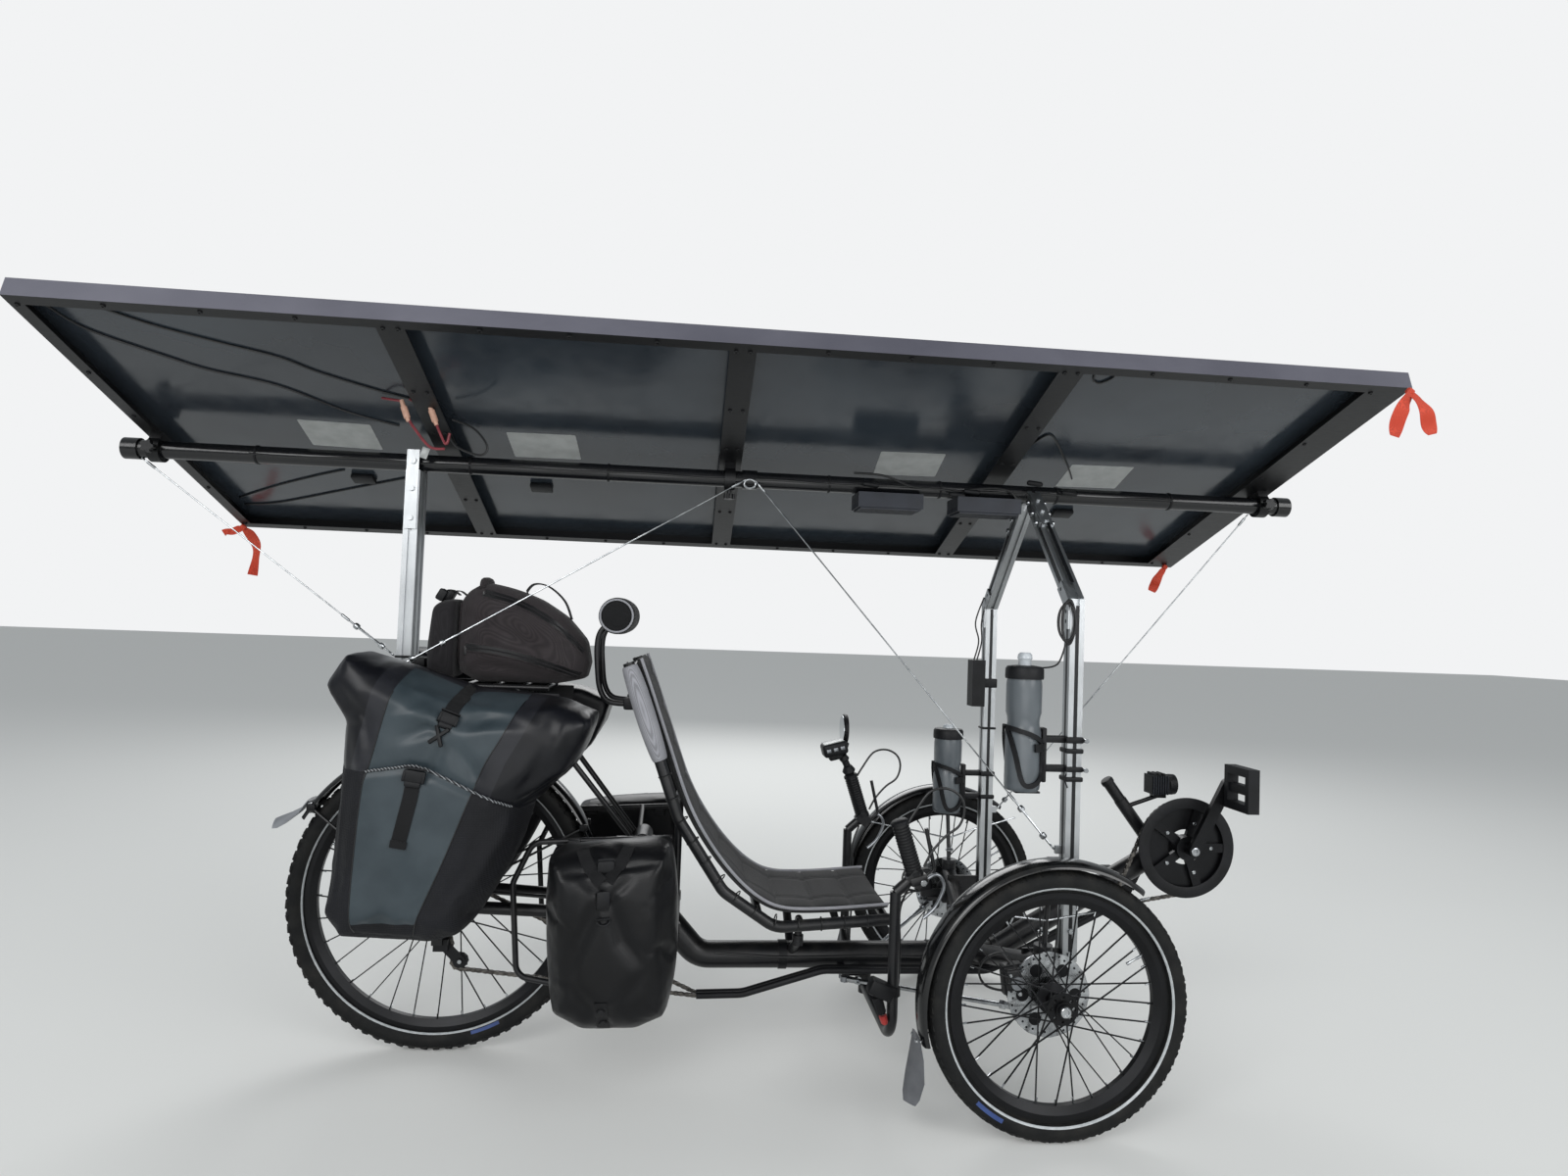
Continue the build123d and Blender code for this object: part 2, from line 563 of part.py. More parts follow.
# Roof: frames and clamps, glass laminates
with BuildPart() as roof_frame:
    for index in range(panel_count):
        centre_x = roof_rear_x + panel_pitch * (index + 0.5)
        with BuildSketch(roof_plane.offset(frame_lift)) as flange:
            with Locations((centre_x, 0)):
                Rectangle(panel_pitch, roof_width)
                Rectangle(panel_pitch - 2 * frame_flange, roof_width - 2 * frame_flange, mode=Mode.SUBTRACT)
        extrude(flange.sketch, amount=2)
        with BuildSketch(roof_plane.offset(frame_lift)) as wall:
            with Locations((centre_x, 0)):
                Rectangle(panel_pitch, roof_width)
                Rectangle(panel_pitch - 2 * frame_wall, roof_width - 2 * frame_wall, mode=Mode.SUBTRACT)
        extrude(wall.sketch, amount=frame_depth)
    nose_x = roof_rear_x + panel_pitch * panel_count + nose_bar_width / 2
    with BuildSketch(roof_plane.offset(frame_lift)) as nose:
        with Locations((nose_x, 0)):
            Rectangle(nose_bar_width, roof_width)
    extrude(nose.sketch, amount=frame_depth)
    for x, knob_below in ((-1254, False), (-28, True), (1252, False)):
        with BuildSketch(roof_plane.offset(0)) as saddle:
            with Locations((x, 0)):
                Rectangle(24, 44)
        extrude(saddle.sketch, amount=frame_lift + 1)
        rod((x - 12, 0, tube_z), (x + 12, 0, tube_z), tube_radius + 8)
        reach = Vector(0, 0, -1) if knob_below else Vector(0, -1, 0)
        centre = Vector(x, 0, tube_z)
        rod(tuple(centre + reach * (tube_radius + 6)), tuple(centre + reach * (tube_radius + 16)), 5)
        with BuildSketch(Plane(origin=centre + reach * (tube_radius + 15), x_dir=(1, 0, 0),
                               z_dir=reach)) as knob:
            Circle(10)
            with PolarLocations(10, 5):
                Circle(4)
        extrude(knob.sketch, amount=12)
    rod((-1400, 0, tube_z), (1400, 0, tube_z), tube_radius + fit_gap, mode=Mode.SUBTRACT)
save(roof_frame, "roof_frame")

with BuildPart() as solar_panels:
    for index in range(panel_count):
        centre_x = roof_rear_x + panel_pitch * (index + 0.5)
        with BuildSketch(roof_plane.offset(frame_lift + frame_depth - laminate_thick)) as glass:
            with Locations((centre_x, 0)):
                Rectangle(panel_pitch - 2 * frame_wall, roof_width - 2 * frame_wall)
        extrude(glass.sketch, amount=laminate_thick)
save(solar_panels, "solar_panels")

# Ridge tube, masts and stays
with BuildPart() as ridge_tube:
    rod((-tube_half, 0, tube_z), (tube_half, 0, tube_z), tube_radius)
    rod((0, 0, tube_z), (34, 0, tube_z), tube_radius + 3)
    for side in (-1, 1):
        rod((side * (tube_half - 32), 0, tube_z), (side * tube_half, 0, tube_z), tube_cap_radius)
save(ridge_tube, "ridge_tube")


def slotted(wide, deep, slots_wide, slots_deep):
    """A T-slot bar's section: a rectangle with grooves in the middle of each 30 mm of its faces."""
    Rectangle(wide, deep)
    for groove_x in slots_wide:
        with Locations((groove_x, deep / 2), (groove_x, -deep / 2)):
            Rectangle(slot_width, 2 * slot_depth, mode=Mode.SUBTRACT)
    for groove_y in slots_deep:
        with Locations((wide / 2, groove_y), (-wide / 2, groove_y)):
            Rectangle(2 * slot_depth, slot_width, mode=Mode.SUBTRACT)


with BuildPart() as rear_mast:
    with BuildSketch(Plane.XY.offset(rear_mast_foot_z)) as section:
        with Locations((rear_mast_x, 0)):
            slotted(rear_mast_wide, rear_mast_deep, (0,), (-15, 15))
    extrude(section.sketch, amount=tube_z - tube_radius - fit_gap - rear_mast_foot_z)
    for side in (-1, 1):
        block((rear_mast_x, side * (rear_mast_deep + plate_thick) / 2, tube_z - 62), (26, plate_thick, 172))
        rod((rear_mast_x, side * (tube_radius + fit_gap), tube_z), (rear_mast_x, side * 38, tube_z), 7)
        for z in (tube_z - 60, tube_z - 124):
            rod((rear_mast_x, side * 30, z), (rear_mast_x, side * 38, z), 6)
    block((rear_mast_x - (rear_mast_wide + mast_lug) / 2, 0, 842), (mast_lug, 4, 16))
save(rear_mast, "rear_mast")

for name, side in sides.items():
    lean = Vector(0, -side * 236, 231).normalized()
    outward = Vector(0, side * lean.Z, -side * lean.Y)
    with BuildPart() as mast:
        with BuildSketch(Plane.XY.offset(mast_foot_z)) as foot_section:
            with Locations((mast_x, side * mast_y)):
                slotted(mast_size, mast_size, (0,), (0,))
        extrude(foot_section.sketch, amount=mast_bend_z - mast_foot_z)
        bend = Vector(mast_x, side * mast_y, mast_bend_z - 8)
        with BuildSketch(Plane(origin=bend, x_dir=(1, 0, 0), z_dir=lean)) as section:
            slotted(mast_size, mast_size, (0,), (0,))
        extrude(section.sketch, amount=365)
        knee = [(side * (mast_y + 13), mast_bend_z - 62), (side * (mast_y - 13), mast_bend_z - 62),
                (side * (mast_y - 13), mast_bend_z - 14), (side * (mast_y - 48), mast_bend_z + 21),
                (side * (mast_y - 30), mast_bend_z + 39), (side * (mast_y + 13), mast_bend_z - 4)]
        with BuildSketch(Plane(origin=(mast_x - mast_size / 2, 0, 0), x_dir=(0, 1, 0),
                               z_dir=(1, 0, 0))) as gusset:
            with BuildLine():
                Polyline(*knee, close=True)
            make_face()
            with Locations((side * mast_y, mast_bend_z - 46), (side * mast_y, mast_bend_z - 26),
                           (side * (mast_y - 30), mast_bend_z + 21)):
                Circle(gusset_hole_radius, mode=Mode.SUBTRACT)
        extrude(gusset.sketch, amount=-plate_thick)
        over = bend + outward * (mast_size / 2 + plate_thick / 2) + lean * 235
        with BuildSketch(Plane(origin=over, x_dir=(1, 0, 0), z_dir=lean)) as plate:
            Rectangle(mast_size - 4, plate_thick)
        extrude(plate.sketch, amount=118)
        for step in (250, 285, 325):
            head = bend + outward * (mast_size / 2) + lean * step
            rod(tuple(head), tuple(head + outward * (plate_thick + 5)), 5)
        block((mast_x, 0, tube_z), (100, 2 * (tube_radius + fit_gap), 160), mode=Mode.SUBTRACT)
        block((mast_x - 38, side * mast_y, mast_foot_z - 22), (112.6, 6.6, 90.6), mode=Mode.SUBTRACT)
        lug_z = 502 if side < 0 else 480
        block((mast_x + side * (mast_size + mast_lug) / 2, side * 262, lug_z), (mast_lug, 8, 16))
    save(mast, f"mast_{name}")

near_lug_x = mast_x - mast_size / 2 - mast_lug
far_lug_x = mast_x + mast_size / 2 + mast_lug
rear_lug_x = rear_mast_x - rear_mast_wide / 2 - mast_lug
stay_table = [
    # end at the ridge tube, lower end
    ((-1284, 0, 1246.4), (rear_lug_x - 1.2, 0, 842)),
    ((4, -24, 1262), (-702.9, stay_lug_y, 824)),
    ((30, -24, 1262), (near_lug_x - 1.5, -262, 502)),
    ((1226, 4, 1246.5), (far_lug_x + 1.6, 262, 480)),
]
with BuildPart() as stays:
    for high, low in stay_table:
        rod(high, low, 1.5)
        step = (Vector(*low) - Vector(*high)).normalized()
        rod(tuple(Vector(*low) - step * 110), tuple(Vector(*low) - step * 20), 6)
save(stays, "stays")

with BuildPart() as controllers:
    for x in (338, 568):
        block((x, 0, tube_z - tube_radius - fit_gap - 17), (150, 90, 34))
        for fin in range(-3, 4):
            block((x, fin * 12, tube_z - tube_radius - fit_gap - 34), (151, 6, 22), mode=Mode.SUBTRACT)
save(controllers, "controllers")

bottle_table = [
    # side, body bottom, body top, spout top, middle of the cage
    ("right", 623, 860, 895, 715),
    ("left", 470, 660, 690, 560),
]
bottle_x = 577.0
bottle_radius = 36.0
for name, low, high, spout, cage_z in bottle_table:
    y = sides[name] * mast_y
    with BuildPart() as bottle:
        waist = low + (high - low) * 0.62
        profile = [(0, low), (bottle_radius - 4, low), (bottle_radius, low + 6), (bottle_radius, waist - 12),
                   (bottle_radius - 4, waist), (bottle_radius - 2, waist + 14),
                   (bottle_radius - 2, high - 22),
                   (bottle_radius - 6, high), (16, high), (11, spout - 10), (11, spout), (0, spout)]
        with BuildSketch(Plane(origin=(bottle_x, y, 0), x_dir=(1, 0, 0), z_dir=(0, -1, 0))) as outline:
            with BuildLine():
                Polyline(*profile, close=True)
            make_face()
        revolve(outline.sketch, axis=Axis((bottle_x, y, 0), (0, 0, 1)))
    save(bottle, f"bottle_{name}")
    with BuildPart() as cage:
        rod((bottle_x, y, cage_z - 70), (bottle_x, y, cage_z + 60), bottle_radius + 4)
        block((bottle_x - 44, y, cage_z), (60, 90, 70), mode=Mode.SUBTRACT)
        for z in (cage_z - 16, cage_z + 16):
            block(((bottle_x + mast_x - mast_size / 2 - fit_gap) / 2, y, z),
                  (mast_x - mast_size / 2 - fit_gap - bottle_x, 26, 14))
        rod((bottle_x, y, cage_z - 90), (bottle_x, y, cage_z + 80), bottle_radius + fit_gap,
            mode=Mode.SUBTRACT)
    save(cage, f"bottle_cage_{name}")

with BuildPart() as mast_box:
    block((mast_x - mast_size / 2 - 17 - fit_gap, mast_y, 806), (34, 44, 120))
save(mast_box, "mast_box")

with BuildPart() as headlight:
    block((crank_x - 40, 0, crank_z + 135), (50, 40, 42))
    rod((crank_x - 20, 0, crank_z + 135), (crank_x - 4, 0, crank_z + 135), 22)
    for fin in range(3):
        block((crank_x - 56 + 11 * fin, 0, crank_z + 158), (5, 36, 8))
save(headlight, "headlight")

with BuildPart() as chain_tubes:
    for y in (drive_run_y, return_run_y):
        bent_tube([(tube_front[0], y, tube_front[1]), (590, y, 184), (215, y, 185), (40, y, 134),
                   (tube_rear[0], y, tube_rear[1])],
                  80, 7)
    for x in (260, 520):
        block((x, -52, 185), (14, 16, 8))
save(chain_tubes, "chain_tubes")


def chain_run(start, end):
    """A straight run of chain, as a square band."""
    run = Vector(*end) - Vector(*start)
    with BuildSketch(Plane(origin=start, x_dir=(0, 1, 0), z_dir=run)) as section:
        Rectangle(chain_size, chain_size)
    extrude(section.sketch, amount=run.length)


def chain_wrap(centre, radius, y, start_angle, sweep_angle):
    """The band where it goes round a wheel; angles in degrees from +X towards +Z."""
    angle = radians(start_angle)
    with BuildSketch(Plane(origin=(centre[0], y, centre[1]), x_dir=(cos(angle), 0, sin(angle)),
                           z_dir=(-sin(angle), 0, cos(angle)))) as section:
        with Locations((radius, 0)):
            Rectangle(chain_size, chain_size)
    revolve(section.sketch, axis=Axis((centre[0], y, centre[1]), (0, -1, 0)), revolution_arc=sweep_angle)


def on_circle(centre, radius, y, angle):
    """A point on a circle in the plane of X and Z."""
    return (centre[0] + radius * cos(radians(angle)), y, centre[1] + radius * sin(radians(angle)))


ring_wrap = ring_radius + chain_play + chain_size / 2
cog_wrap = cassette_radii[-1] + chain_play + chain_size / 2
pulley_wrap = pulley_radius + fit_gap + chain_size / 2
crank_point = (crank_x, crank_z)
axle_point = (rear_axle_x, rear_axle_z)
mouth_angle = degrees(atan2(tube_front[1] - crank_z, tube_front[0] - crank_x))
mouth_spread = degrees(acos(ring_wrap / hypot(tube_front[1] - crank_z, tube_front[0] - crank_x)))
tail_angle = degrees(atan2(tube_rear[1] - rear_axle_z, tube_rear[0] - rear_axle_x))
tail_spread = degrees(acos(cog_wrap / hypot(tube_rear[1] - rear_axle_z, tube_rear[0] - rear_axle_x)))
cog_to_guide = Vector(guide_pulley[0] - rear_axle_x, guide_pulley[1] - rear_axle_z, 0)
guide_to_tension = Vector(tension_pulley[0] - guide_pulley[0], tension_pulley[1] - guide_pulley[1], 0)
leave_cog = degrees(atan2(cog_to_guide.Y, cog_to_guide.X) - acos((cog_wrap + pulley_wrap) / cog_to_guide.length))
leave_guide = degrees(atan2(guide_to_tension.Y,
                            guide_to_tension.X) + acos(2 * pulley_wrap / guide_to_tension.length))
with BuildPart() as chain:
    chain_wrap(crank_point, ring_wrap, ring_y, mouth_angle + mouth_spread, 360 - 2 * mouth_spread)
    chain_run(on_circle(crank_point, ring_wrap, ring_y, mouth_angle - mouth_spread),
              (tube_front[0], drive_run_y, tube_front[1]))
    chain_run(on_circle(crank_point, ring_wrap, ring_y, mouth_angle + mouth_spread),
              (tube_front[0], return_run_y, tube_front[1]))
    chain_run(on_circle(axle_point, cog_wrap, low_gear_y, tail_angle + tail_spread),
              (tube_rear[0], drive_run_y, tube_rear[1]))
    chain_wrap(axle_point, cog_wrap, low_gear_y, tail_angle + tail_spread,
               leave_cog + 360 - tail_angle - tail_spread)
    chain_run(on_circle(axle_point, cog_wrap, low_gear_y, leave_cog),
              on_circle(guide_pulley, pulley_wrap, low_gear_y, leave_cog + 180))
    chain_wrap(guide_pulley, pulley_wrap, low_gear_y, leave_guide, leave_cog + 180 - leave_guide)
    chain_run(on_circle(guide_pulley, pulley_wrap, low_gear_y, leave_guide),
              on_circle(tension_pulley, pulley_wrap, low_gear_y, leave_guide + 180))
    chain_wrap(tension_pulley, pulley_wrap, low_gear_y, leave_guide + 180, 90 - leave_guide)
    chain_run(on_circle(tension_pulley, pulley_wrap, low_gear_y, 270),
              (tube_rear[0], return_run_y, tube_rear[1]))
    for y in (drive_run_y, return_run_y):
        rod((tube_front[0] + 0.27, y, tube_front[1] + 0.13), (tube_front[0] - 27, y, tube_front[1] - 13.6),
            7 + fit_gap,
            mode=Mode.SUBTRACT)
        rod((tube_rear[0] - fit_gap, y, tube_rear[1]), (tube_rear[0] + 27, y, tube_rear[1] + 0.5),
            7 + fit_gap, mode=Mode.SUBTRACT)
save(chain, "chain")

with BuildPart() as derailleur:
    cage_run = Vector(tension_pulley[0] - guide_pulley[0], 0, tension_pulley[1] - guide_pulley[1])
    for centre in (guide_pulley, tension_pulley):
        rod((centre[0], low_gear_y - 4, centre[1]), (centre[0], low_gear_y + 3, centre[1]), pulley_radius)
        rod((centre[0], low_gear_y - 10, centre[1]), (centre[0], low_gear_y - 3, centre[1]), 5)
    with BuildSketch(Plane(origin=((guide_pulley[0] + tension_pulley[0]) / 2, low_gear_y - 7,
                                   (guide_pulley[1] + tension_pulley[1]) / 2),
                           x_dir=cage_run, z_dir=(0, 1, 0))) as cage:
        SlotCenterToCenter(cage_run.length, 22)
    extrude(cage.sketch, amount=2.5)
    block((guide_pulley[0], (low_gear_y - 10 - rear_hub_half - 8) / 2, guide_pulley[1]),
          (30, rear_hub_half + 8 + low_gear_y - 10, 24))
save(derailleur, "derailleur")

# Luggage: side outlines of the bags, and how far out from the middle they reach
bag_table = [
    # node, outline in X and Z, inner and outer reach, hook places, hook height, inner end of the hooks
    ("pannier", [(-742, 302), (-560, 302), (-516, 318), (-456, 420), (-405, 572), (-318, 642), (-280, 745),
                 (-352, 774), (-526, 784), (-640, 824), (-756, 864), (-797, 806), (-764, 700), (-772, 360)],
     120, 300, (-560, -450), rack_z - 8, rack_half + rack_rod_radius),
    ("pannier_small", [(-351, 150), (-118, 150), (-108, 500), (-361, 500)], 184, 330, (-320, -160), 486, 174),
]
for node, outline, inner, outer, hooks, hook_z, hook_end in bag_table:
    for name, side in sides.items():
        with BuildPart() as bag:
            with BuildSketch(Plane.XZ.offset(-side * inner)) as shape:
                with BuildLine():
                    Polyline(*outline, close=True)
                make_face()
            extrude(shape.sketch, amount=-side * (outer - inner))
            for x in hooks:
                block((x, side * (hook_end + fit_gap + inner) / 2, hook_z),
                      (24, inner - hook_end - fit_gap, 20))
        save(bag, f"{node}_{name}")

with BuildPart() as trunk_bag:
    bag_floor = rack_z + rack_rod_radius - 1 + fit_gap
    with BuildSketch(Plane.XZ.offset(-trunk_half)) as shape:
        with BuildLine():
            Polyline((-660, bag_floor), (-665, 850), (-657, 962), (-602, 975), (-553, 1018), (-432, 984),
                     (-330, 895),
                     (-314, 830), (-330, bag_floor), close=True)
        make_face()
    extrude(shape.sketch, amount=2 * trunk_half)
    chamfer(trunk_bag.edges().filter_by(Axis.Y, reverse=True).group_by(Axis.Y)[0], length=18)
    chamfer(trunk_bag.edges().filter_by(Axis.Y, reverse=True).group_by(Axis.Y)[-1], length=18)
save(trunk_bag, "trunk_bag")
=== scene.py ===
import math

import bmesh
import bpy
from mathutils import Euler, Matrix, Vector
from mathutils.bvhtree import BVHTree


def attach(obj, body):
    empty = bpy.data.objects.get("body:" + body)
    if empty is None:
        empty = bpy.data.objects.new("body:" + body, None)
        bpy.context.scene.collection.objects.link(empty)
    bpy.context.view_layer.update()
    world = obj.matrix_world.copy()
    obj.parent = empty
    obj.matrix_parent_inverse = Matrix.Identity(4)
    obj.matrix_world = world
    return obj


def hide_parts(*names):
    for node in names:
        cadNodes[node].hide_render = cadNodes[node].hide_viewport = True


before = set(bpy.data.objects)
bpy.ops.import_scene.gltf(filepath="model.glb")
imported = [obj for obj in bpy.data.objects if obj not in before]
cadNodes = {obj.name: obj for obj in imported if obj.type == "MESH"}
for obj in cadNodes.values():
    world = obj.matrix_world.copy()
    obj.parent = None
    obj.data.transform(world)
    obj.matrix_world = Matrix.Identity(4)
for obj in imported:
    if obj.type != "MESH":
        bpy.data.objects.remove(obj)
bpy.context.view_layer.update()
scene = bpy.context.scene
print("frame loaded:", len(cadNodes), "nodes")

roofTilt = math.radians(18.3)
ridgeHeight = 1.267


# node trees and materials
def linear(hexColour):
    channels = [int(hexColour[i:i + 2], 16) / 255 for i in (1, 3, 5)]
    return [c / 12.92 if c <= 0.04045 else ((c + 0.055) / 1.055) ** 2.4 for c in channels] + [1.0]


def addNode(tree, kind, inputs=None, settings=None):
    node = tree.nodes.new(kind)
    for name, value in (settings or {}).items():
        setattr(node, name, value)
    for name, value in (inputs or {}).items():
        if isinstance(value, bpy.types.NodeSocket):
            tree.links.new(value, node.inputs[name])
        else:
            node.inputs[name].default_value = value
    return node


def startMaterial(name):
    material = bpy.data.materials.new(name)
    material.use_nodes = True
    tree = material.node_tree
    tree.nodes.clear()
    shader = addNode(tree, "ShaderNodeBsdfPrincipled")
    addNode(tree, "ShaderNodeOutputMaterial", {"Surface": shader.outputs[0]})
    coords = addNode(tree, "ShaderNodeTexCoord").outputs["Object"]
    return material, tree, shader, coords


def mixColour(tree, factor, low, high):
    mix = addNode(tree, "ShaderNodeMix", {0: factor}, {"data_type": "RGBA"})
    for index, colour in ((6, low), (7, high)):
        if isinstance(colour, str):
            mix.inputs[index].default_value = linear(colour)
        else:
            tree.links.new(colour, mix.inputs[index])
    return mix.outputs[2]


def ranged(tree, value, low, high, outLow, outHigh):
    inputs = {"Value": value, "From Min": low, "From Max": high, "To Min": outLow, "To Max": outHigh}
    return addNode(tree, "ShaderNodeMapRange", inputs).outputs[0]


def noise(tree, coords, size, detail=3.0, stretch=None):  # size: a blotch's or grain's width in metres
    if stretch:
        coords = addNode(tree, "ShaderNodeMapping", {"Vector": coords, "Scale": stretch}).outputs[0]
    return addNode(tree, "ShaderNodeTexNoise", {"Vector": coords, "Scale": 1 / size, "Detail": detail}).outputs[0]


def bands(tree, coords, direction, period):  # a sine across one axis, period in metres
    return addNode(tree, "ShaderNodeTexWave", {"Vector": coords, "Scale": 0.31416 / period},
                   {"bands_direction": direction}).outputs[1]


def mathNode(tree, operation, first, second=0.5):
    return addNode(tree, "ShaderNodeMath", {0: first, 1: second}, {"operation": operation}).outputs[0]


# base and tint are mixed in blotches of patch metres; grain metres gives the bump and the gloss its break-up
finishes = {
    "powderCoatedSteel": dict(base="#0c0d0f", tint="#131417", patch=0.09, grain=0.0012, bump=0.12,
                              # satin, a little orange peel
                              rough=(0.26, 0.42), gloss=0.35, dust="#5f5b54", dustShare=0.04),
    "anodisedRim": dict(base="#0b0c0e", tint="#111215", patch=0.05, grain=0.0006, bump=0.05,
                        rough=(0.3, 0.45), metallic=0.6),
    "millAluminium": dict(base="#a9acae", tint="#bcbfc1", patch=0.12, grain=0.0008, bump=0.10,
                          rough=(0.30, 0.46), metallic=1.0, streak=(1, 1, 0.04)),  # extruded, streaks along Z
    "stainlessSteel": dict(base="#b9bcbe", tint="#8d9093", patch=0.02, grain=0.0005, bump=0.05,
                           rough=(0.16, 0.30), metallic=1.0),
    "oiledSteel": dict(base="#6d6a66", tint="#3c3a38", patch=0.008, grain=0.0006, bump=0.1,
                       rough=(0.28, 0.5), metallic=1.0),  # chain and sprockets, used
    # painted shade: the dark strips laid in the masts' slots, where the grooves lie in shadow
    "ribAnodised": dict(base="#0c0d0f", tint="#121316", patch=0.2, grain=0.001, bump=0.05,
                        rough=(0.3, 0.42), metallic=0.3),
    "glossBlackTube": dict(base="#0b0c0e", tint="#121316", patch=0.2, grain=0.004, bump=0.04, rough=(0.14, 0.26)),
    "fenderAbs": dict(base="#070809", tint="#0b0c0e", patch=0.1, grain=0.003, bump=0.02,
                      rough=(0.09, 0.20), dust="#6a665f", dustShare=0.03),  # glossy moulded plastic
    "mouldedNylon": dict(base="#0b0c0e", tint="#121316", patch=0.04, grain=0.0007, bump=0.25, rough=(0.42, 0.6),
                         gloss=0.25),
    "softRubber": dict(base="#0f0f11", tint="#151618", patch=0.03, grain=0.0009, bump=0.3, rough=(0.6, 0.8),
                       gloss=0.2),
    "tyreRubber": dict(base="#101112", tint="#171818", patch=0.04, grain=0.0011, bump=0.3,
                       rough=(0.62, 0.82), gloss=0.18, dust="#5e5a53", dustShare=0.05),
    "castHeatsink": dict(base="#181b22", tint="#20242c", patch=0.05, grain=0.0008, bump=0.1,
                         rough=(0.34, 0.5), metallic=0.4),
    "powderCoatedKnuckle": dict(base="#0d0e10", tint="#141518", patch=0.05, grain=0.0012, bump=0.12,
                                rough=(0.3, 0.45)),
    "flapDark": dict(base="#5d5f63", tint="#515357", patch=0.03, grain=0.001, bump=0.12, rough=(0.45, 0.6)),
    "flapPlastic": dict(base="#8d9094", tint="#7b7e83", patch=0.03, grain=0.001, bump=0.12, rough=(0.4, 0.55)),
    "silverLabel": dict(base="#a4a7a6", tint="#969998", patch=0.03, grain=0.0008, bump=0.02, rough=(0.3, 0.4),
                        metallic=0.3),
    "reflectiveTape": dict(base="#aeb2b4", tint="#9a9fa1", patch=0.01, grain=0.0009, bump=0.05, rough=(0.25, 0.4)),
    "blueRubber": dict(base="#23386b", tint="#2d4478", patch=0.02, grain=0.001, bump=0.1, rough=(0.5, 0.65)),
    "redSleeve": dict(base="#7a2b33", tint="#6a222b", patch=0.01, grain=0.001, bump=0.05, rough=(0.35, 0.5)),
    "beigeNylon": dict(base="#c9a08c", tint="#bb917d", patch=0.01, grain=0.0009, bump=0.1, rough=(0.4, 0.55)),
    "blackSleeve": dict(base="#090a0c", tint="#0f1012", patch=0.02, grain=0.001, bump=0.06, rough=(0.35, 0.5)),
    "greyLever": dict(base="#8b8e92", tint="#7a7d81", patch=0.02, grain=0.0007, bump=0.05, rough=(0.25, 0.4),
                      metallic=0.8),
    "spoutPlastic": dict(base="#b9bec2", tint="#a6acb1", patch=0.01, grain=0.001, bump=0.03, rough=(0.2, 0.3)),
    "redNylon": dict(base="#a02a26", tint="#8a1f1d", patch=0.01, grain=0.0008, bump=0.1, rough=(0.35, 0.5)),
}


def plainFinish(name, spec):
    material, tree, shader, coords = startMaterial(name)
    blotch = ranged(tree, noise(tree, coords, spec["patch"]), 0.35, 0.65, 0, 1)
    colour = mixColour(tree, blotch, spec["base"], spec["tint"])
    grain = noise(tree, coords, spec["grain"], 2.0, spec.get("streak"))
    if "dust" in spec:  # dust and dried mud on what looks up
        normal = addNode(tree, "ShaderNodeNewGeometry").outputs["Normal"]
        upward = addNode(tree, "ShaderNodeSeparateXYZ", {0: normal}).outputs[2]
        cloud = mathNode(tree, "MULTIPLY", ranged(tree, upward, -0.2, 1, 0.2, 1),
                         ranged(tree, noise(tree, coords, 0.035, 6.0), 0.42, 0.7, 0, spec["dustShare"] * 3))
        colour = mixColour(tree, cloud, colour, spec["dust"])
    tree.links.new(colour, shader.inputs["Base Color"])
    tree.links.new(ranged(tree, grain, 0.3, 0.7, *spec["rough"]), shader.inputs["Roughness"])
    shader.inputs["Metallic"].default_value = spec.get("metallic", 0.0)
    shader.inputs["Specular IOR Level"].default_value = spec.get("gloss", 0.5)
    bump = addNode(tree, "ShaderNodeBump", {"Height": grain, "Strength": spec["bump"], "Distance": 0.0006})
    tree.links.new(bump.outputs[0], shader.inputs["Normal"])
    return material


materials = {name: plainFinish(name, spec) for name, spec in finishes.items()}


# thread is the drawn pitch in metres: yarn of about 0.5 mm is drawn at 1.6 mm or more, so that it shows
fabrics = {
    "slateTarpaulin": dict(base="#3b474e", tint="#46535a", thread=0.0022, bump=0.10, rough=0.42, sheen=0.05),
    "blackTarpaulin": dict(base="#0a0b0d", tint="#101114", thread=0.0022, bump=0.08, rough=0.34, sheen=0.02),
    "blackCordura": dict(base="#0e0f11", tint="#16171a", thread=0.0016, bump=0.35, rough=0.8, sheen=0.2),
    "brownCordura": dict(base="#352f31", tint="#3f3a3c", thread=0.0018, bump=0.35, rough=0.82, sheen=0.25),
    "darkCordura": dict(base="#222023", tint="#2a282b", thread=0.0018, bump=0.35, rough=0.82, sheen=0.25),
    "seatMeshCloth": dict(base="#0e0f11", tint="#17181b", thread=0.0032, bump=0.6, rough=0.85, sheen=0.2),
    "greyPiping": dict(base="#b4b5bb", tint="#a3a4aa", thread=0.0014, bump=0.25, rough=0.7, sheen=0.2),
    "webbing": dict(base="#0c0d0f", tint="#141518", thread=0.0014, bump=0.5, rough=0.7, sheen=0.1),
    "signalRibbon": dict(base="#f0583c", tint="#dd4429", thread=0.0011, bump=0.1, rough=0.55, sheen=0.1),
}


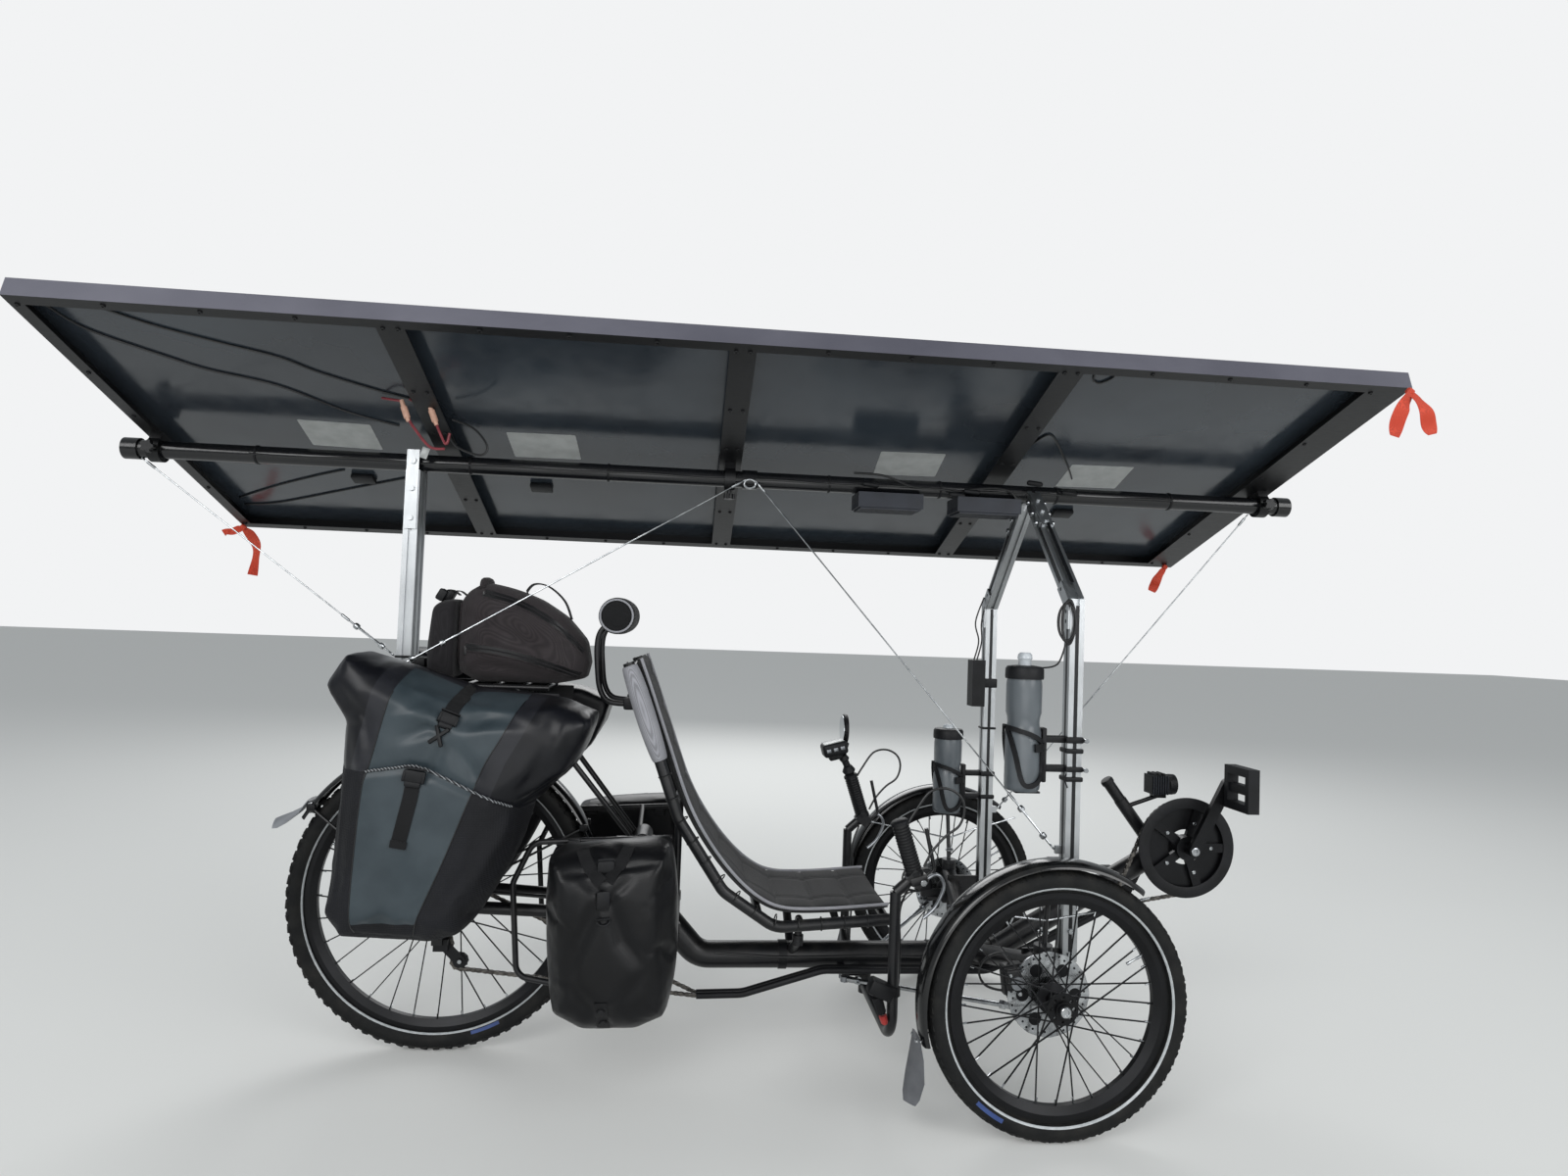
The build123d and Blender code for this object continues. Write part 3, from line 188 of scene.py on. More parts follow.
def wovenFinish(name, spec):
    material, tree, shader, coords = startMaterial(name)
    fade = ranged(tree, noise(tree, coords, 0.08, 4.0), 0.35, 0.65, 0, 1)
    threads = mathNode(tree, "ADD", bands(tree, coords, "X", spec["thread"]),
                       bands(tree, coords, "Z", spec["thread"]))
    threads = mathNode(tree, "ADD", threads, bands(tree, coords, "Y", spec["thread"]))
    shade = ranged(tree, threads, 0.6, 2.4, 0.0, 0.75)
    colour = mixColour(tree, fade, spec["base"], spec["tint"])
    dark = addNode(tree, "ShaderNodeMix", {0: 0.72, 6: colour, 7: linear("#0b0b0c")},
                   {"data_type": "RGBA", "blend_type": "MIX"}).outputs[2]
    tree.links.new(mixColour(tree, shade, dark, colour), shader.inputs["Base Color"])
    shader.inputs["Roughness"].default_value = spec["rough"]
    shader.inputs["Sheen Weight"].default_value = spec["sheen"] * 0.4
    shader.inputs["Specular IOR Level"].default_value = 0.22
    bump = addNode(tree, "ShaderNodeBump", {"Height": threads, "Strength": spec["bump"], "Distance": 0.0005})
    tree.links.new(bump.outputs[0], shader.inputs["Normal"])
    return material


materials.update({name: wovenFinish(name, spec) for name, spec in fabrics.items()})


def roofPlaneAxes(tree, coords, shift=0.0):  # X along the roof, Y across it
    moved = addNode(tree, "ShaderNodeMapping", {"Vector": coords, "Location": (shift, 0, -ridgeHeight)})
    flat = addNode(tree, "ShaderNodeMapping", {"Vector": moved.outputs[0], "Rotation": (roofTilt, 0, 0)})
    return addNode(tree, "ShaderNodeSeparateXYZ", {0: flat.outputs[0]}).outputs


def solarLaminate():  # glass: dark cells with busbars above, glossy grey-black backsheet below
    material, tree, shader, coords = startMaterial("solarLaminate")
    axes = roofPlaneAxes(tree, coords, 1.280)
    cell = {"across": 0.1565, "along": 0.1520, "gap": 0.0022, "busbar": 0.026}  # metres
    lines = None
    for output, pitch, width in ((0, cell["across"], cell["gap"]), (1, cell["along"], cell["gap"]),
                                 (0, cell["busbar"], 0.0009)):
        step = mathNode(tree, "ABSOLUTE", mathNode(tree, "SUBTRACT", mathNode(
            tree, "FRACT", mathNode(tree, "DIVIDE", mathNode(tree, "ADD", axes[output], 4 * pitch), pitch)), 0.5))
        line = mathNode(tree, "GREATER_THAN", step, 0.5 - width / pitch / 2)
        lines = line if lines is None else mathNode(tree, "MAXIMUM", lines, line)
    sunSide = mixColour(tree, mathNode(tree, "MULTIPLY", lines, 0.6), "#0d1420", "#6c7480")
    backSheet = mixColour(tree, ranged(tree, noise(tree, coords, 0.25), 0.35, 0.65, 0, 1), "#2b3036", "#323940")
    normal = addNode(tree, "ShaderNodeTexCoord").outputs["Normal"]
    upward = addNode(tree, "ShaderNodeSeparateXYZ", {0: normal}).outputs[2]
    tree.links.new(mixColour(tree, mathNode(tree, "GREATER_THAN", upward, 0.0), backSheet, sunSide),
                   shader.inputs["Base Color"])
    tree.links.new(ranged(tree, noise(tree, coords, 0.05), 0.3, 0.7, 0.12, 0.24), shader.inputs["Roughness"])
    wave = addNode(tree, "ShaderNodeBump", {"Height": noise(tree, coords, 0.18, 1.0), "Strength": 0.12,
            "Distance": 0.01})
    tree.links.new(wave.outputs[0], shader.inputs["Normal"])
    return material


materials["solarLaminate"] = solarLaminate()


def roofAnodised():  # the rims' outer faces are grey, the ribs, clamps and knobs black
    material, tree, shader, coords = startMaterial("roofAnodised")
    across = mathNode(tree, "ABSOLUTE", roofPlaneAxes(tree, coords)[1])
    grain = noise(tree, coords, 0.0009, 2.0, (0.04, 1, 1))
    rim = mathNode(tree, "GREATER_THAN", across, 0.4768)  # metres from the ridge to the rims' outer faces
    fade = ranged(tree, noise(tree, coords, 0.2), 0.35, 0.65, 0, 1)
    colour = mixColour(tree, rim, mixColour(tree, fade, "#0b0c0e", "#111215"),
                       mixColour(tree, fade, "#50505a", "#5b5b65"))
    tree.links.new(colour, shader.inputs["Base Color"])
    tree.links.new(ranged(tree, grain, 0.3, 0.7, 0.32, 0.46), shader.inputs["Roughness"])
    shader.inputs["Metallic"].default_value = 0.35
    bump = addNode(tree, "ShaderNodeBump", {"Height": grain, "Strength": 0.06, "Distance": 0.0005})
    tree.links.new(bump.outputs[0], shader.inputs["Normal"])
    return material


materials["roofAnodised"] = roofAnodised()


def clearPlastic():  # blown polypropylene: milky grey, lets some light through
    material, tree, shader, coords = startMaterial("milkyPolypropylene")
    tree.links.new(mixColour(tree, noise(tree, coords, 0.05), "#585e63", "#6b7277"), shader.inputs["Base Color"])
    shader.inputs["Roughness"].default_value = 0.28
    shader.inputs["Transmission Weight"].default_value = 0.35
    shader.inputs["IOR"].default_value = 1.49
    bump = addNode(tree, "ShaderNodeBump", {"Height": noise(tree, coords, 0.02), "Strength": 0.05, "Distance": 0.001})
    tree.links.new(bump.outputs[0], shader.inputs["Normal"])
    return material


materials["milkyPolypropylene"] = clearPlastic()


def glazed(name, base, roughness):  # silvered mirror glass and lenses
    material, tree, shader, coords = startMaterial(name)
    tree.links.new(mixColour(tree, noise(tree, coords, 0.03), base, base), shader.inputs["Base Color"])
    shader.inputs["Metallic"].default_value = 1.0
    shader.inputs["Roughness"].default_value = roughness
    return material


materials["mirrorGlass"] = glazed("mirrorGlass", "#c9ced2", 0.03)
materials["lensGlass"] = glazed("lensGlass", "#9aa1a8", 0.1)
print("materials:", len(materials))

# which finish each CAD node takes
dress = {
    "powderCoatedSteel": ("main_frame", "boom", "swingarm", "rear_rack", "side_rack_left", "side_rack_right",
                          "handlebar",
                          "seat_frame"),
    "powderCoatedKnuckle": ("knuckle_left", "knuckle_right"),
    "stainlessSteel": ("stays", "tie_rod_left", "tie_rod_right", "shock"),
    "oiledSteel": ("cassette", "chain"),
    "millAluminium": ("rear_mast", "mast_left", "mast_right"),
    "anodisedRim": ("wheel_front_left", "wheel_front_right", "wheel_rear", "crankset"),
    "tyreRubber": ("tyre_front_left", "tyre_front_right", "tyre_rear"),
    "roofAnodised": ("roof_frame",),
    "glossBlackTube": ("ridge_tube",),
    "fenderAbs": ("rear_fender", "fender_front_left", "fender_front_right"),
    "mouldedNylon": ("mast_box", "headlight", "chain_tubes", "bottle_cage_left", "bottle_cage_right", "pedal_left",
                     "pedal_right", "cockpit", "derailleur"),
    "castHeatsink": ("controllers",),
    "milkyPolypropylene": ("bottle_left", "bottle_right"),
    "seatMeshCloth": ("seat_mesh",),
    "blackCordura": ("headrest", "pannier_small_left", "pannier_small_right"),
    "slateTarpaulin": ("pannier_left", "pannier_right"),
    "brownCordura": ("trunk_bag",),
    "solarLaminate": ("solar_panels",),
}
for finishName, members in dress.items():
    for member in members:
        mesh = cadNodes[member].data
        mesh.materials.clear()
        mesh.materials.append(materials[finishName])


# shapes: lists of corners and faces, each face with its finish
webbingThick, hoseRadius = 0.0018, 0.0024


def leaned(angle):  # a turn about Y
    return Matrix.Rotation(angle, 3, "Y")


def openShape():
    return {"verts": [], "faces": [], "finish": []}


def meshOf(shape, name):
    mesh = bpy.data.meshes.new(name)
    mesh.from_pydata([tuple(v) for v in shape["verts"]], [], shape["faces"])
    return mesh


def faceOutwards(mesh, splitLarge=False):
    bm = bmesh.new()
    bm.from_mesh(mesh)
    if splitLarge:
        bmesh.ops.triangulate(bm, faces=[face for face in bm.faces if len(face.verts) > 4])
    bmesh.ops.recalc_face_normals(bm, faces=bm.faces[:])
    bm.to_mesh(mesh)
    bm.free()
    return mesh


def hoop(centre, first, second, count=24):  # points of an ellipse, from its two half axes
    return [Vector(centre) + Vector(first) * math.cos(a) + Vector(second) * math.sin(a)
            for a in [2 * math.pi * k / count for k in range(count)]]


def addFaces(shape, verts, faces, finish):
    start = len(shape["verts"])
    shape["verts"] += [Vector(v) for v in verts]
    shape["faces"] += [tuple(start + index for index in face) for face in faces]
    shape["finish"] += finish if isinstance(finish, list) else [finish] * len(faces)


def loft(shape, rings, finish, closed=False):
    sides = len(rings[0])
    faces = []
    spans = len(rings) if closed else len(rings) - 1
    for row in range(spans):
        low, high = row * sides, (row + 1) % len(rings) * sides
        for i in range(sides):
            faces.append((low + i, low + (i + 1) % sides, high + (i + 1) % sides, high + i))
    if not closed:
        faces += [tuple(range(sides))[::-1], tuple(range((len(rings) - 1) * sides, len(rings) * sides))]
    addFaces(shape, [point for ring in rings for point in ring], faces, finish)


def framesAlong(points, closed=False):
    points = [Vector(p) for p in points]
    count = len(points)
    frames = []
    normal = None
    for i, point in enumerate(points):
        before = points[i - 1] if i or closed else point
        after = points[(i + 1) % count] if i + 1 < count or closed else point
        tangent = (after - before).normalized()
        if normal is None:
            normal = tangent.orthogonal().normalized()
        normal = (normal - tangent * normal.dot(tangent)).normalized()
        frames.append((point, tangent, normal, tangent.cross(normal)))
    return frames


def tube(shape, points, radius, finish, sides=10, closed=False):
    rings = []
    for i, (point, tangent, normal, side) in enumerate(framesAlong(points, closed)):
        size = radius[i] if isinstance(radius, (list, tuple)) else radius
        rings.append([point + (normal * math.cos(2 * math.pi * k / sides) + side * math.sin(2 * math.pi * k / sides))
                      * size
                      for k in range(sides)])
    loft(shape, rings, finish, closed)


def smoothLine(points, steps=6, closed=False):
    points = [Vector(p) for p in points]
    count = len(points)
    line = []
    for i in range(count if closed else count - 1):
        if closed:
            a, b, c, d = (points[(i + k) % count] for k in (-1, 0, 1, 2))
        else:
            a, b, c, d = points[max(i - 1, 0)], points[i], points[i + 1], points[min(i + 2, count - 1)]
        for k in range(steps):
            t = k / steps
            line.append(0.5 * (2 * b + (c - a) * t + (2 * a - 5 * b + 4 * c - d) * t * t
                               + (3 * b - a - 3 * c + d) * t ** 3))
    return line if closed else line + [points[-1]]


def turned(shape, profile, origin, axis, finish, sides=24, closed=False):  # profile: along the axis, radius
    origin, axis = Vector(origin), Vector(axis).normalized()
    across = axis.orthogonal().normalized()
    other = axis.cross(across)
    verts, rings = [], []
    for along, radius in profile:
        centre = origin + axis * along
        if radius < 1e-6:
            rings.append([len(verts)] * sides)
            verts.append(centre)
        else:
            rings.append([len(verts) + k for k in range(sides)])
            verts += [centre + (across * math.cos(2 * math.pi * k / sides) + other
                                * math.sin(2 * math.pi * k / sides)) * radius
                      for k in range(sides)]
    faces, faceFinish = [], []
    pairs = list(zip(rings, rings[1:])) + ([(rings[-1], rings[0])] if closed else [])
    for step, (low, high) in enumerate(pairs):
        for k in range(sides):
            face = [low[k], low[(k + 1) % sides], high[(k + 1) % sides], high[k]]
            face = [v for i, v in enumerate(face) if v not in face[:i]]
            if len(face) > 2:
                faces.append(face)
                faceFinish.append(finish[step] if isinstance(finish, list) else finish)
    if not closed:
        for end in (rings[0], rings[-1]):
            if len(set(end)) > 2:
                faces.append(end)
                faceFinish.append(finish)
    addFaces(shape, verts, faces, faceFinish)


def slab(shape, centre, size, finish, turn=None, edge=0.001, segments=2):  # a block with rounded edges
    bm = bmesh.new()
    bmesh.ops.create_cube(bm, size=1.0)
    bmesh.ops.scale(bm, vec=size, verts=bm.verts)
    if edge:
        bmesh.ops.bevel(bm, geom=bm.edges[:], offset=min(edge, min(size) * 0.45), segments=segments, affect="EDGES",
                        profile=0.5)
    turn = turn.to_3x3() if turn else Matrix.Identity(3)
    verts = [Vector(centre) + turn @ v.co for v in bm.verts]
    addFaces(shape, verts, [[v.index for v in face.verts] for face in bm.faces], finish)
    bm.free()


def plate(shape, outline, thickness, origin, across, upward, finish, holes=()):  # flat outline, holes as outlines
    bm = bmesh.new()
    loops = []
    for loop in [outline, *holes]:
        verts = [bm.verts.new((x, y, 0)) for x, y in loop]
        loops += [bm.edges.new((verts[i - 1], verts[i])) for i in range(len(verts))]
    bmesh.ops.triangle_fill(bm, use_beauty=True, edges=loops)
    bmesh.ops.recalc_face_normals(bm, faces=bm.faces[:])
    lid = bmesh.ops.extrude_face_region(bm, geom=bm.faces[:])["geom"]
    bmesh.ops.translate(bm, vec=(0, 0, thickness), verts=[g for g in lid if isinstance(g, bmesh.types.BMVert)])
    origin, across, upward = Vector(origin), Vector(across).normalized(), Vector(upward).normalized()
    outward = across.cross(upward)
    bm.verts.index_update()
    verts = [origin + across * v.co.x + upward * v.co.y + outward * v.co.z for v in bm.verts]
    addFaces(shape, verts, [[v.index for v in face.verts] for face in bm.faces], finish)
    bm.free()


def circle(x, y, radius, sides=16):
    return [(x + radius * math.cos(2 * math.pi * k / sides), y + radius * math.sin(2 * math.pi * k / sides))
            for k in range(sides)]


def strap(shape, points, normals, width, thickness, finish):  # webbing laid on a surface
    points = [Vector(p) for p in points]
    rings = []
    for i, point in enumerate(points):
        tangent = (points[min(i + 1, len(points) - 1)] - points[max(i - 1, 0)]).normalized()
        normal = (Vector(normals[i]) - tangent * tangent.dot(normals[i])).normalized()
        side = tangent.cross(normal) * width / 2
        rings.append([point - side, point + side, point + side + normal * thickness,
                      point - side + normal * thickness])
    loft(shape, rings, finish)


def closeShape(shape, name, body, replaces=(), smoothAngle=38, recalculate=True):
    mesh = meshOf(shape, name)
    order = sorted(set(shape["finish"]))
    for finish in order:
        mesh.materials.append(materials[finish])
    mesh.polygons.foreach_set("material_index", [order.index(finish) for finish in shape["finish"]])
    if recalculate:
        faceOutwards(mesh)
    mesh.polygons.foreach_set("use_smooth", [True] * len(mesh.polygons))
    mesh.set_sharp_from_angle(angle=math.radians(smoothAngle))
    return finishPiece(name, mesh, body, replaces)


def finishPiece(name, mesh, body, replaces=()):
    piece = bpy.data.objects.new(name, mesh)
    scene.collection.objects.link(piece)
    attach(piece, body)
    if replaces:
        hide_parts(*replaces)
    return piece


def mirrored(mesh, name):  # the same skin on the other side
    twin = mesh.copy()
    twin.name = name
    twin.transform(Matrix.Scale(-1, 4, (0, 1, 0)))
    twin.flip_normals()
    return twin


# soft goods: a shell lofted across Y, swollen by cloth pressure
def shellMesh(name, levels):  # levels: outlines of (x, z), each at its y
    shape = openShape()
    loft(shape, [[(x, y, z) for x, z in outline] for y, outline in levels], None)
    return faceOutwards(meshOf(shape, name), splitLarge=True)


def drawnIn(outline, amount):  # pulls an outline towards its middle
    middle = sum((Vector(p) for p in outline), Vector((0, 0))) / len(outline)
    return [tuple(Vector(p) - (Vector(p) - middle).normalized() * amount) for p in outline]


def evaluatedMesh(piece):
    return bpy.data.meshes.new_from_object(piece.evaluated_get(bpy.context.evaluated_depsgraph_get()))


def puffed(mesh, voxel, cap, pressure=4.0, held=None):
    piece = bpy.data.objects.new(mesh.name + "Swell", mesh)
    scene.collection.objects.link(piece)
    grid = piece.modifiers.new("voxels", "REMESH")
    grid.mode = "VOXEL"
    grid.voxel_size = voxel
    skin = evaluatedMesh(piece)
    piece.modifiers.clear()
    piece.data = skin
    cloth = piece.modifiers.new("cloth", "CLOTH")
    cloth.settings.use_pressure = True
    cloth.settings.uniform_pressure_force = pressure
    cloth.settings.effector_weights.gravity = 0.0
    if held:
        group = piece.vertex_groups.new(name="held")
        group.add([v.index for v in skin.vertices if held(v.co)], 1.0, "REPLACE")
        cloth.settings.vertex_group_mass = "held"
    for frameNumber in range(1, 21):
        scene.frame_set(frameNumber)
    swollen = evaluatedMesh(piece)
    for vertex, after in zip(skin.vertices, swollen.vertices):
        shift = after.co - vertex.co
        vertex.co += shift * min(1.0, cap / max(shift.length, 1e-6))
    piece.modifiers.clear()
    scene.frame_set(1)
    finer = piece.modifiers.new("finer", "SUBSURF")
    finer.levels = finer.render_levels = 1
    skin = evaluatedMesh(piece)
    bpy.data.objects.remove(piece)
    skin.polygons.foreach_set("use_smooth", [True] * len(skin.polygons))
    return skin


def lineDistance(x, z, line):  # distance to a line, and how far along it
    best, along = 1e9, 0.0
    for i in range(len(line) - 1):
        a, b = Vector(line[i]), Vector(line[i + 1])
        t = max(0.0, min(1.0, (Vector((x, z)) - a).dot(b - a) / (b - a).length_squared))
        gap = (a + (b - a) * t - Vector((x, z))).length
        if gap < best:
            best, along = gap, (i + t) / (len(line) - 1)
    return best, along


def furrow(mesh, lines, facing):  # folds: line, depth (minus swells), width
    moves = []
    for vertex in mesh.vertices:
        share = vertex.normal.dot(facing)
        if share < 0.25:
            continue
        push = 0.0
        for line, depth, width in lines:
            if min(p[0] for p in line) - 3 * width < vertex.co.x < max(p[0] for p in line) + 3 * width:
                gap, along = lineDistance(vertex.co.x, vertex.co.z, line)
                if gap < 3 * width:
                    push += depth * math.exp(-(gap / width) ** 2) * math.sin(math.pi
                            * min(1, max(0, along * 0.9 + 0.05)))
        if push:
            moves.append((vertex.index, vertex.co - vertex.normal * push * share))
    for index, place in moves:
        mesh.vertices[index].co = place


def skinTree(mesh):
    return BVHTree.FromPolygons([v.co for v in mesh.vertices], [tuple(p.vertices) for p in mesh.polygons])


def onSkin(tree, line, origin, toward, lift=0.0):  # lays (x, z) points on a skin, seen along Y
    points, normals = [], []
    for x, z in line:
        hit, normal = tree.ray_cast(Vector((x, origin, z)), Vector((0, toward, 0)))[:2]
        if hit is None:
            continue
        points.append(hit + normal * lift)
        normals.append(normal)
    return points, normals


def fineLine(line, steps=6):
    return [(p.x, p.z) for p in smoothLine([(x, 0, z) for x, z in line], steps)]


def setAttribute(mesh, name, values):
    attribute = mesh.attributes.new(name, "FLOAT", "POINT")
    attribute.data.foreach_set("value", values)


# roll-top pannier of coated fabric, with a mesh pocket under a reflective cord; the far one is its mirror image
pannierSet = {
    "outline": [(-0.762, 0.737), (-0.7925, 0.806), (-0.756, 0.862), (-0.694, 0.842), (-0.640, 0.822), (-0.526, 0.784),
                (-0.405, 0.774), (-0.352, 0.776), (-0.279, 0.747), (-0.290, 0.708), (-0.318, 0.642), (-0.405, 0.570),
                (-0.418, 0.500), (-0.462, 0.405), (-0.519, 0.318), (-0.573, 0.304), (-0.742, 0.318), (-0.774, 0.362),
                (-0.768, 0.540), (-0.764, 0.640)],
    "inner": 0.122, "outer": 0.296, "voxel": 0.009, "swell": 0.014,
    "leftEdge": [(-0.700, 0.300), (-0.708, 0.365), (-0.706, 0.466), (-0.697, 0.610), (-0.684, 0.660), (-0.671, 0.717),
                 (-0.653, 0.790), (-0.638, 0.840)],
    "rightEdge": [(-0.606, 0.300), (-0.592, 0.358), (-0.544, 0.479), (-0.497, 0.609), (-0.476, 0.661),
                  (-0.449, 0.710),
                  (-0.410, 0.790)],
    "cord": [(-0.770, 0.640), (-0.692, 0.641), (-0.617, 0.652), (-0.587, 0.647), (-0.503, 0.609), (-0.431, 0.576),
             (-0.405, 0.560)],
    "topStrap": [(-0.533, 0.790), (-0.546, 0.756), (-0.556, 0.728)],
    "lowStrap": [(-0.604, 0.640), (-0.608, 0.600), (-0.616, 0.560), (-0.626, 0.512)],
}


def heightAt(line, z):  # x of a rising edge at a height
    for (x0, z0), (x1, z1) in zip(line, line[1:]):
        if z <= z1:
            return x0 + (x1 - x0) * max(0.0, (z - z0)) / (z1 - z0)
    return line[-1][0]


def levelAt(line, x):  # z of a line at a place along X
    for (x0, z0), (x1, z1) in zip(line, line[1:]):
        if x <= x1:
            return z0 + (z1 - z0) * max(0.0, (x - x0)) / (x1 - x0)
    return line[-1][1]


def tarpaulinFinish():  # coated polyester: soft gloss, welded slate panel, grey bands, net pocket
    material, tree, shader, coords = startMaterial("coatedPolyester")
    zone = {name: addNode(tree, "ShaderNodeAttribute", settings={"attribute_name": name}).outputs["Fac"]
            for name in ("panel", "pocket")}
    fade = ranged(tree, noise(tree, coords, 0.07, 4.0), 0.35, 0.65, 0, 1)
    slate = mixColour(tree, fade, "#2c353a", "#363f44")
    band = mixColour(tree, fade, "#1b1c20", "#232429")
    black = mixColour(tree, fade, "#0b0c10", "#111217")
    # 2 mm net, drawn at 4.4
    net = mathNode(tree, "ADD", bands(tree, coords, "X", 0.0044), bands(tree, coords, "Z", 0.0044))
    above = ranged(tree, zone["pocket"], -0.0005, 0.0005, 0, 1)
    inPanel = ranged(tree, zone["panel"], -0.0005, 0.0005, 0, 1)
    inBand = mathNode(tree, "MULTIPLY", ranged(tree, zone["panel"], -0.0365, -0.0355, 0, 1), above)
    colour = mixColour(tree, inPanel, mixColour(tree, inBand, black, band), slate)
    tree.links.new(colour, shader.inputs["Base Color"])
    netShare = mathNode(tree, "MULTIPLY", mathNode(tree, "SUBTRACT", 1.0, inPanel),
                        mathNode(tree, "SUBTRACT", 1.0, above))
    tree.links.new(ranged(tree, netShare, 0, 1, 0.36, 0.75), shader.inputs["Roughness"])
    height = mathNode(tree, "MULTIPLY", net, netShare)
    fine = mathNode(tree, "ADD", height, mathNode(tree, "MULTIPLY", noise(tree, coords, 0.0014), 0.25))
    shader.inputs["Specular IOR Level"].default_value = 0.28
    bump = addNode(tree, "ShaderNodeBump", {"Height": fine, "Strength": 0.35, "Distance": 0.0008})
    tree.links.new(bump.outputs[0], shader.inputs["Normal"])
    return material


def cordFinish():  # 4 mm braided cord with reflective flecks every 9 mm
    material, tree, shader, coords = startMaterial("reflectiveBraid")
    flecks = mathNode(tree, "GREATER_THAN", bands(tree, coords, "DIAGONAL", 0.0035), 0.80)
    tree.links.new(mixColour(tree, flecks, "#1b1c20", "#85898c"), shader.inputs["Base Color"])
    shader.inputs["Roughness"].default_value = 0.6
    return material


materials["coatedPolyester"] = tarpaulinFinish()
materials["reflectiveBraid"] = cordFinish()


def pannierSkin():
    outline, inner, outer = pannierSet["outline"], pannierSet["inner"], pannierSet["outer"]
    depth = outer - inner
    levels = [(-inner, drawnIn(outline, 0.012)), (-inner - 0.012, drawnIn(outline, 0.003)),
              (-inner - depth * 0.55, drawnIn(outline, 0.002)), (-outer + 0.03, drawnIn(outline, 0.004)),
              (-outer + 0.008, drawnIn(outline, 0.013)), (-outer, drawnIn(outline, 0.026))]
    skin = puffed(shellMesh("pannierShell", levels), pannierSet["voxel"], pannierSet["swell"],
                  held=lambda co: co.y > -inner - 0.008)
    folds = [
        ([(-0.640, 0.700), (-0.585, 0.722), (-0.553, 0.716)], 0.010, 0.012),
             ([(-0.655, 0.735), (-0.60, 0.752), (-0.56, 0.735)], -0.007, 0.014),
        ([(-0.545, 0.705), (-0.570, 0.650), (-0.60, 0.62)], 0.006, 0.014),
             ([(-0.530, 0.722), (-0.480, 0.742), (-0.43, 0.745)], 0.008, 0.014),
        ([(-0.545, 0.700), (-0.505, 0.650), (-0.49, 0.62)], 0.008, 0.016),
             ([(-0.50, 0.765), (-0.43, 0.752), (-0.38, 0.735)], -0.006, 0.012),
        ([(-0.770, 0.640), (-0.692, 0.641), (-0.617, 0.652), (-0.587, 0.647), (-0.503, 0.609), (-0.431, 0.576),
          (-0.40, 0.562)], 0.007, 0.009),
        ([(-0.47, 0.56), (-0.50, 0.46), (-0.55, 0.38)], 0.006, 0.014),
             ([(-0.43, 0.55), (-0.455, 0.50), (-0.50, 0.42)], -0.006, 0.012),
        ([(-0.74, 0.59), (-0.745, 0.45), (-0.73, 0.36)], 0.006, 0.013),
             ([(-0.62, 0.50), (-0.63, 0.42), (-0.64, 0.36)], 0.004, 0.03),
        ([(-0.755, 0.79), (-0.70, 0.74), (-0.69, 0.68)], 0.007, 0.013),
             ([(-0.36, 0.70), (-0.39, 0.63), (-0.42, 0.59)], 0.008, 0.015),
        ([(-0.335, 0.755), (-0.345, 0.70), (-0.37, 0.65)], -0.006, 0.014)]
    furrow(skin, folds, Vector((0, -1, 0)))
    panel, pocket = [], []
    for vertex in skin.vertices:
        x, y, z = vertex.co
        panel.append(min(x - heightAt(pannierSet["leftEdge"], z), heightAt(pannierSet["rightEdge"], z) - x,
                         (-y - inner - depth * 0.45) * 2, z - 0.358))
        pocket.append(z - levelAt(pannierSet["cord"], x))
    setAttribute(skin, "panel", panel)
    setAttribute(skin, "pocket", pocket)
    skin.materials.append(materials["coatedPolyester"])
    return skin


def sideBuckle(shape, place, normal, downward, width, length):  # side-release buckle with two arms
    across = downward.cross(normal).normalized()
    turn = Matrix((across, downward, normal)).transposed()
    slab(shape, place + normal * 0.005, (width, length * 0.56, 0.011), "mouldedNylon", turn, 0.003)
    slab(shape, place + downward * length * 0.38 + normal * 0.0045, (width * 0.72, length * 0.28, 0.009),
         "mouldedNylon", turn, 0.003)
    for side in (-1, 1):
        slab(shape, place + across * side * width * 0.44 + downward * length * 0.05 + normal * 0.006,
             (width * 0.14, length * 0.5, 0.012), "mouldedNylon", turn, 0.003)
    slab(shape, place - downward * length * 0.36 + normal * 0.006, (width * 1.02, length * 0.1, 0.008),
         "mouldedNylon", turn, 0.002)


